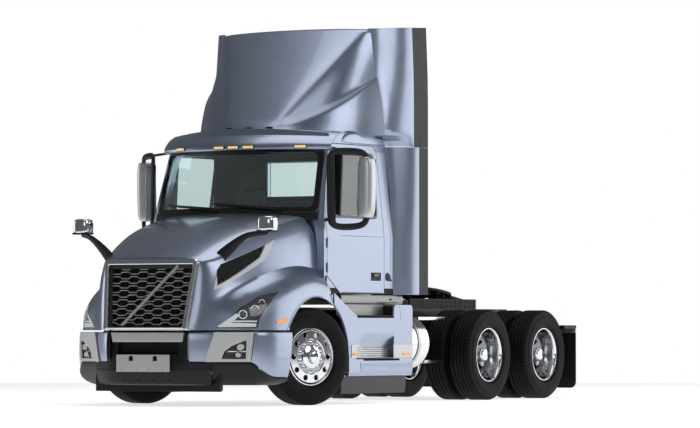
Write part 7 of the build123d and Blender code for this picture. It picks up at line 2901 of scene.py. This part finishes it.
@dataclass
class Interior:
    """The seats, the dashboard and the steering wheel."""

    places: tuple[float, float] = (-0.56, 0.56)

    def cushion(self, ribs: Sequence[Outline], low: Point) -> Form:
        """Make a cushion from cross-sections, rounded all over.

        Args:
            ribs: The cross-sections, from end to end.
            low: Where its lower corner lies.

        Returns:
            The cushion.
        """
        form = Form().skin(ribs, closed=True, inside=low)
        form.capped()
        form.rounded(2)
        return form

    def seats(self) -> None:
        """Make both seats: cushion, bolstered back, headrest and base."""
        cushions, bases, seams = Form(), Form(), Form()
        for x in self.places:
            ribs = []
            for y, lift, half in (
                (0.885, 0.0, 0.215), (0.905, 0.025, 0.235), (1.05, 0.022, 0.248), (1.22, 0.01, 0.248),
                (1.36, 0.0, 0.24), (1.385, -0.01, 0.225)
            ):
                ribs.append([
                    (x + half * a, aft(y), 1.625 + lift + dz)
                    for a, dz in (
                        (-1, -0.06), (-1, 0.02), (-0.93, 0.062), (-0.66, 0.066), (-0.58, 0.038), (0, 0.03),
                        (0.58, 0.038), (0.66, 0.066), (0.93, 0.062), (1, 0.02), (1, -0.06), (0.9, -0.065),
                        (-0.9, -0.065)
                    )
                ])
            cushions.absorb(self.cushion(ribs, (x, aft(1.1), 1.6)).mesh)
            ribs = []
            for z, y, half in (
                (1.64, 1.4, 0.225), (1.69, 1.398, 0.24), (1.85, 1.392, 0.243), (2.05, 1.402, 0.236),
                (2.2, 1.412, 0.215), (2.27, 1.425, 0.18), (2.3, 1.44, 0.13)
            ):
                ribs.append([
                    (x + half * a, aft(y + dy), z)
                    for a, dy in (
                        (-1, 0.09), (-1, 0.0), (-0.9, -0.034), (-0.66, -0.028), (-0.56, 0.004), (0, 0.01),
                        (0.56, 0.004), (0.66, -0.028), (0.9, -0.034), (1, 0.0), (1, 0.09), (0.85, 0.1),
                        (-0.85, 0.1)
                    )
                ])
            cushions.absorb(self.cushion(ribs, (x, aft(1.45), 1.95)).mesh)
            ribs = []
            for z, half in ((2.32, 0.105), (2.335, 0.125), (2.4, 0.13), (2.45, 0.118), (2.468, 0.09)):
                ribs.append([
                    (x + half * a, aft(1.432 + dy), z)
                    for a, dy in (
                        (-1, 0.04), (-1, -0.02), (-0.7, -0.042), (0, -0.036), (0.7, -0.042), (1, -0.02),
                        (1, 0.04), (0, 0.046)
                    )
                ])
            cushions.absorb(self.cushion(ribs, (x, aft(1.44), 2.4)).mesh)
            for dx in (-0.05, 0.05):
                bases.rod((x + dx, aft(1.44), 2.27), (x + dx, aft(1.44), 2.35), 0.007, 10)
            bases.box((x - 0.17, aft(0.97), 1.228), (x + 0.17, aft(1.29), 1.262), bevel=0.006)
            for step in range(7):
                inset = 0.01 * (step % 2)
                bases.box(
                    (x - 0.13 + inset, aft(1.0) + inset, 1.262 + step * 0.04),
                    (x + 0.13 - inset, aft(1.26) - inset, 1.302 + step * 0.04), bevel=0.008
                )
            bases.box((x - 0.2, aft(0.93), 1.54), (x + 0.2, aft(1.34), 1.568), bevel=0.006)
            for dx in (-0.265, 0.235):
                bases.box((x + dx, aft(1.16), 1.86), (x + dx + 0.032, aft(1.42), 1.9), bevel=0.012)
            for z in (1.8, 1.95, 2.1):
                seams.rod((x - 0.125, aft(1.3985), z), (x + 0.125, aft(1.3985), z), 0.003, 6)
            for y in (1.05, 1.2):
                seams.rod((x - 0.135, aft(y), 1.6785), (x + 0.135, aft(y), 1.6785), 0.003, 6)
        padded = deliver(cushions, "seat_cushions", CLOTH, replaces=["seats"])
        deliver(bases, "seat_bases", MOULDING)
        deliver(seams, "seat_seams", CHARCOAL)

    def dash(self) -> None:
        """Make the dashboard with its hood, gauges, vents and switches."""
        section = (
            (0.35, 1.5), (0.56, 1.5), (0.64, 1.54), (0.69, 1.7), (0.722, 1.88), (0.715, 1.935),
            (0.64, 1.985), (0.48, 2.012), (0.35, 2.02)
        )
        ribs = [
            [(x, aft(y - (0.03 if abs(x) > 0.85 else 0.0)), z) for y, z in section]
            for x in (-0.925, -0.86, -0.4, 0.0, 0.28, 0.3, 0.82, 0.86, 0.925)
        ]
        form = Form().skin(ribs, closed=True)
        form.capped()
        deliver(form, "dashboard_body", MOULDING, replaces=["dashboard"], bevel=0.008)
        hood = Form().box((0.3, aft(0.6), 1.965), (0.82, aft(0.76), 1.995), bevel=0.012)
        deliver(hood, "gauge_hood", MOULDING)
        rings, dials, vents = Form(), Form(), Form()
        for x, radius in ((0.42, 0.04), (0.52, 0.058), (0.65, 0.058), (0.75, 0.04), (0.35, 0.026)):
            aim = Matrix.Translation((x, aft(0.726), 1.905)) @ Matrix.Rotation(math.radians(90), 4, "Z")
            rings.turned(
                ((-0.01, radius), (0.006, radius), (0.006, radius - 0.004), (-0.004, radius - 0.005)), aim,
                32
            )
            dials.turned(((-0.004, radius - 0.005), (-0.002, radius - 0.006), (-0.001, 0.0005)), aim, 32)
        deliver(rings, "gauge_rings", CHROME)
        deliver(dials, "gauge_dials", GLOSS_BLACK)
        for x in (-0.78, -0.52, -0.12, 0.12, 0.86):
            for slat in range(5):
                z = 1.868 + slat * 0.014
                vents.box((x - 0.05, aft(0.716), z), (x + 0.05, aft(0.73), z + 0.004), bevel=0.001)
        for row in range(2):
            for column in range(6):
                x = -0.14 + column * 0.046
                vents.box(
                    (x, aft(0.7), 1.76 + row * 0.036), (x + 0.034, aft(0.716), 1.786 + row * 0.036),
                    bevel=0.003
                )
        deliver(vents, "dashboard_vents", CHARCOAL)

    def wheel(self) -> None:
        """Make the steering wheel with its spokes, hub and column."""
        tilt = math.radians(35)
        place = Matrix.Translation((0.56, aft(0.86), 1.93)) @ Matrix.Rotation(-tilt, 4, "X")
        rim = Form()
        part = [
            (0.016 * math.cos(a), 0.215 + 0.016 * math.sin(a))
            for a in (math.tau * k / 12 for k in range(13))
        ]
        rim.turned(part, place @ Matrix.Rotation(math.radians(90), 4, "Y"), 64)
        deliver(rim, "steering_rim", CHARCOAL, replaces=["steering_wheel"])
        hub = Form()
        hub.box((-0.075, -0.058, -0.018), (0.075, 0.058, 0.018), bevel=0.014, turn=place)
        for angle in (0, 180, 270):
            turn = place @ Matrix.Rotation(math.radians(angle), 4, "Z")
            hub.box((0.05, -0.017, -0.01), (0.21, 0.017, 0.006), bevel=0.005, turn=turn)
        column = Form().rod((0.56, aft(0.86), 1.93), (0.56, aft(0.7), 1.72), 0.038, 20)
        hub.absorb(column.mesh)
        for dx in (-0.13, 0.13):
            hub.box((0.56 + dx - 0.06, aft(0.8), 1.905), (0.56 + dx + 0.06, aft(0.815), 1.92), bevel=0.005)
        deliver(hub, "steering_hub", MOULDING)

    def build(self) -> None:
        """Make everything inside."""
        self.seats()
        self.dash()
        self.wheel()


# -------------------------------------------------------------------------- chassis
@dataclass
class FifthWheel:
    """The fifth wheel: its slider, brackets and the tilting plate with its jaws."""

    pivot: tuple[float, float] = (3.99, 1.135)
    tilt: float = math.radians(-8)
    top: float = 0.09
    body: str = "fifth_wheel_plate"

    def seat(self) -> Matrix:
        """Give the plate's own frame, its origin on the pivot."""
        y, z = self.pivot
        return Matrix.Translation((0, aft(y), z)) @ Matrix.Rotation(self.tilt, 4, "X")

    def plate(self) -> None:
        """Make the plate: the CAD form with soft edges, its grease grooves and jaws."""
        deliver(
            from_node(self.body), "coupling_plate", CASTING, self.body, replaces=[self.body], bevel=0.006
        )
        seat = self.seat()
        rings = Form()
        for radius in (0.33, 0.4):
            part = Form()
            for step in range(40):
                angle = math.radians(-60 + step * 300 / 39)
                if abs(math.degrees(angle) - 90) < 26:
                    continue
                part.box(
                    (radius - 0.004, -0.028, self.top - 0.001), (radius + 0.004, 0.028, self.top + 0.0015),
                    bevel=0.0008, turn=Matrix.Rotation(angle, 4, "Z")
                )
            rings.absorb(part.mesh, seat)
        deliver(rings, "coupling_grease_rings", GREASE, self.body)
        jaws = Form()
        for side in (-1, 1):
            jaws.plate(
                [
                    (side * 0.028, -0.03), (side * 0.075, -0.055), (side * 0.105, 0.01),
                    (side * 0.09, 0.115), (side * 0.046, 0.12), (side * 0.03, 0.03)
                ],
                seat @ Matrix.Translation((0, 0, self.top - 0.075)), 0.032, bevel=0.004
            )
        jaws.rod(
            seat @ Vector((0.1, -0.08, self.top - 0.06)), seat @ Vector((0.455, -0.15, self.top - 0.055)),
            0.011, 12
        )
        jaws.rod(
            seat @ Vector((0.455, -0.15, self.top - 0.055)), seat @ Vector((0.47, -0.205, self.top - 0.055)),
            0.011, 12
        )
        deliver(jaws, "coupling_jaws", CASTING, self.body)
        ribs = Form()
        for angle in (-150, -120, -90, -60, -30, 0, 180):
            turn = seat @ Matrix.Rotation(math.radians(angle), 4, "Z")
            ribs.box(
                (0.14, -0.008, self.top - 0.085), (0.445, 0.008, self.top - 0.028), bevel=0.003, turn=turn
            )
        deliver(ribs, "coupling_ribs", CASTING, self.body)

    def slider(self) -> None:
        """Make the base, the toothed slider rails and their bolts."""
        deliver(
            from_node("fifth_wheel_base"), "slider_base", CASTING, replaces=["fifth_wheel_base"], bevel=0.004
        )
        teeth, bolts = Form(), Form()
        for tooth in range(20):
            y = aft(3.42 + tooth * 0.056)
            teeth.box((0.355, y - 0.012, 1.06), (0.392, y + 0.012, 1.078), bevel=0.003)
        for bolt in range(14):
            y = aft(3.32 + bolt * 0.108)
            for z in (1.05, 1.1):
                bolts.rod((0.428, y, z), (0.437, y, z), 0.01, 6)
        deliver(teeth.mirrored(), "slider_teeth", CASTING)
        deliver(bolts.mirrored(), "slider_bolts", BLACK_PAINT)
        pins = Form()
        for side in (-1, 1):
            for x in (0.282, 0.362):
                pins.rod(
                    (side * x, aft(3.99), 1.135), (side * (x + 0.01), aft(3.99), 1.135), 0.036, 24,
                    bevel=0.003
                )
        deliver(pins, "slider_pins", CASTING)

    def build(self) -> None:
        """Make the whole coupling."""
        self.plate()
        self.slider()


@dataclass
class FrameDetails:
    """Bolts, brackets, tail lamps and air tanks along the frame."""

    rail: float = 0.43

    def bolts(self) -> None:
        """Make the bolt rows where the crossmembers and brackets meet the rails."""
        form = Form()
        for place in (-1.12, 1.4, 2.15, 3.0, 4.404, 5.44):
            for dy in (-0.028, 0.028):
                for z in (0.79, 0.85, 0.91, 0.97):
                    y = aft(place + dy)
                    form.rod((self.rail - 0.001, y, z), (self.rail + 0.01, y, z), 0.012, 6)
                    form.rod((self.rail - 0.001, y, z), (self.rail + 0.003, y, z), 0.018, 16)
        deliver(form.mirrored(), "frame_bolts", BLACK_PAINT)

    def air_tanks(self) -> None:
        """Make the air tanks under the rails, with their bands and drain cocks."""
        shells, bands = Form(), Form()
        for start, end in ((2.64, 3.19),):
            x, z, radius = 0.6, 0.66, 0.118
            place = Matrix.Translation((x, 0, z)) @ Matrix.Rotation(math.radians(90), 4, "Z")
            y0, y1 = aft(start), aft(end)
            shells.turned(
                (
                    (y0, 0.0005), (y0 + 0.008, 0.06), (y0 + 0.028, 0.1), (y0 + 0.05, radius - 0.002),
                    (y0 + 0.052, radius), (y1 - 0.052, radius), (y1 - 0.05, radius - 0.002),
                    (y1 - 0.028, 0.1), (y1 - 0.008, 0.06), (y1, 0.0005)
                ),
                place, 48
            )
            for y in (y0 + 0.12, y1 - 0.12):
                bands.turned(
                    (
                        (y - 0.015, radius), (y - 0.015, radius + 0.004), (y + 0.015, radius + 0.004),
                        (y + 0.015, radius), (y - 0.015, radius)
                    ),
                    place, 48
                )
                bands.box((0.432, y - 0.015, 0.64), (x - 0.06, y + 0.015, 0.76), bevel=0.004)
            bands.rod(
                (x, (y0 + y1) / 2, z - radius + 0.003), (x, (y0 + y1) / 2, z - radius - 0.025), 0.01, 8
            )
        deliver(shells.mirrored(), "air_tanks", BLACK_PAINT)
        deliver(bands.mirrored(), "air_tank_bands", CASTING)

    def tail_lamps(self) -> None:
        """Make the tail lamps: a dark housing with round and oblong lenses."""
        housings, reds, whites = Form(), Form(), Form()
        y = aft(5.52)
        for x in (0.15,):
            housings.box((x, aft(5.47), 0.795), (x + 0.19, y - 0.006, 0.905), bevel=0.008)
            for dx in (0.052, 0.138):
                aim = Matrix.Translation((x + dx, y, 0.85)) @ Matrix.Rotation(math.radians(90), 4, "Z")
                housings.turned(((-0.008, 0.04), (0.002, 0.04), (0.002, 0.035), (-0.004, 0.034)), aim, 32)
                lens = whites if dx > 0.1 else reds
                lens.turned(
                    ((-0.006, 0.0345), (0.0, 0.034), (0.006, 0.026), (0.0085, 0.012), (0.009, 0.0005)), aim,
                    32
                )
        deliver(housings.mirrored(), "tail_lamp_housings", CHARCOAL)
        deliver(reds.mirrored(), "tail_lamp_lenses", RED_LENS, replaces=["tail_lamps"])
        deliver(whites.mirrored(), "reversing_lenses", LAMP_WHITE)

    def build(self) -> None:
        """Make the frame's details."""
        self.bolts()
        self.air_tanks()
        self.tail_lamps()


@dataclass
class Running:
    """What the axles carry: brake chambers, bellows, springs and dampers."""

    axles: tuple[float, float] = (3.743, 5.065)

    def chamber(self, form: Form, start: Point, end: Point, radius: float) -> None:
        """Add a spring brake chamber, its clamp bands standing out.

        Args:
            form: What it is added to.
            start: The middle of its pushrod end.
            end: The middle of its far end.
            radius: Its radius.
        """
        run = Vector(end) - Vector(start)
        aim = Matrix.Translation(start) @ run.to_track_quat("X", "Z").to_matrix().to_4x4()
        long = run.length
        form.turned(
            (
                (-0.055, 0.0005), (-0.055, 0.014), (0.0, 0.016), (0.0, radius * 0.72), (0.012, radius * 0.9),
                (long * 0.3, radius * 0.96), (long * 0.3, radius * 1.08), (long * 0.36, radius * 1.08),
                (long * 0.37, radius * 0.8), (long * 0.46, radius * 0.8), (long * 0.48, radius * 0.98),
                (long * 0.6, radius * 1.0), (long * 0.6, radius * 1.08), (long * 0.66, radius * 1.08),
                (long * 0.67, radius), (long * 0.9, radius * 0.94), (long * 0.98, radius * 0.7),
                (long, radius * 0.35), (long, 0.0005)
            ),
            aim, 36
        )

    def brakes(self) -> None:
        """Make the drive axles' brake chambers."""
        form = Form()
        for place in self.axles:
            self.chamber(form, (0.5, aft(place - 0.17), 0.64), (0.5, aft(place - 0.4), 0.672), 0.082)
        deliver(form.mirrored(), "brake_chambers", BLACK_PAINT)
        shafts = Form()
        for place in self.axles:
            shafts.rod((0.47, aft(place - 0.145), 0.57), (0.7, aft(place - 0.145), 0.56), 0.02, 16)
            shafts.box((0.486, aft(place - 0.165), 0.545), (0.514, aft(place - 0.125), 0.655), bevel=0.006)
        deliver(shafts.mirrored(), "brake_camshafts", CASTING)

    def bellows(self) -> None:
        """Make the air springs: convoluted rubber between a piston and a plate."""
        rubber, metal = Form(), Form()
        for place in self.axles:
            aim = Matrix.Translation(
                (0.405, aft(place + 0.3), 0.545)
            ) @ Matrix.Rotation(math.radians(-90), 4, "Y")
            rubber.turned(
                (
                    (0.06, 0.0005), (0.06, 0.075), (0.07, 0.098), (0.085, 0.112), (0.105, 0.1155),
                    (0.122, 0.108), (0.13, 0.1), (0.138, 0.108), (0.155, 0.1155), (0.175, 0.112),
                    (0.19, 0.098), (0.196, 0.075), (0.196, 0.0005)
                ),
                aim, 48
            )
            metal.turned(
                ((0.0, 0.0005), (0.0, 0.07), (0.01, 0.084), (0.062, 0.076), (0.062, 0.0005)), aim, 40
            )
            metal.box((0.3, aft(place + 0.205), 0.733), (0.51, aft(place + 0.395), 0.741), bevel=0.003)
        deliver(rubber.mirrored(), "air_springs", TYRE_RUBBER)
        deliver(metal.mirrored(), "air_spring_plates", BLACK_PAINT)

    def dampers(self) -> None:
        """Make the dampers beside the rear air springs."""
        form = Form()
        for place in self.axles:
            low, high = Vector((0.54, aft(place + 0.165), 0.52)), Vector((0.5, aft(place + 0.105), 0.9))
            middle = low.lerp(high, 0.55)
            form.rod(low, middle, 0.03, 20, bevel=0.003)
            form.rod(middle, high, 0.034, 20, bevel=0.003)
            form.rod((0.45, low.y, low.z), (0.56, low.y, low.z), 0.016, 12)
            form.rod((0.425, high.y, high.z), (0.52, high.y, high.z), 0.016, 12)
        deliver(form.mirrored(), "dampers", BLACK_PAINT)

    def leaves(self) -> None:
        """Make the front leaf springs' leaves, clips and U bolts."""
        form = Form()
        for reach, drop in ((0.69, 0.0), (0.56, 0.022), (0.4, 0.044)):
            ribs = []
            for step in range(17):
                y = -reach + 2 * reach * step / 16
                z = 0.55 - drop + 0.13 * (y / 0.7) ** 2
                ribs.append([
                    (0.344, aft(y), z), (0.426, aft(y), z), (0.426, aft(y), z - 0.018),
                    (0.344, aft(y), z - 0.018)
                ])
            part = Form().skin(ribs, closed=True)
            part.capped()
            form.absorb(part.mesh)
        for dy in (-0.085, 0.085):
            for x in (0.336, 0.434):
                form.rod((x, aft(dy), 0.385), (x, aft(dy), 0.585), 0.01, 12)
            form.rod((0.336, aft(dy), 0.58), (0.434, aft(dy), 0.58), 0.01, 12)
        form.box((0.33, aft(-0.11), 0.384), (0.44, aft(0.11), 0.4), bevel=0.004)
        deliver(form.mirrored(), "leaf_springs", BLACK_PAINT)

    def build(self) -> None:
        """Make all of it."""
        self.brakes()
        self.bellows()
        self.dampers()
        self.leaves()


def main() -> None:
    """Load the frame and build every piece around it."""
    logging.basicConfig(level=logging.INFO, format="%(message)s")
    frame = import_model()
    Studio().build()
    hood = Hood()
    wheel = Wheel()
    for assembly in (
        hood, HoodVents(hood), Headlamps(hood), Grille(), Bumper(), RoofFairing(), SideExtenders(), Visor(),
        SteeredWheels(wheel), DriveWheels(wheel), MainMirrors(), HoodMirrors(), ChassisFairings(),
        SideSteps(), Tanks(), MudFlaps(), Cab(), Windscreen(), Doors(), Interior(), FifthWheel(),
        FrameDetails(), Running()
    ):
        assembly.build()
    Carried(frame).build()


if __name__ == "__main__":
    main()
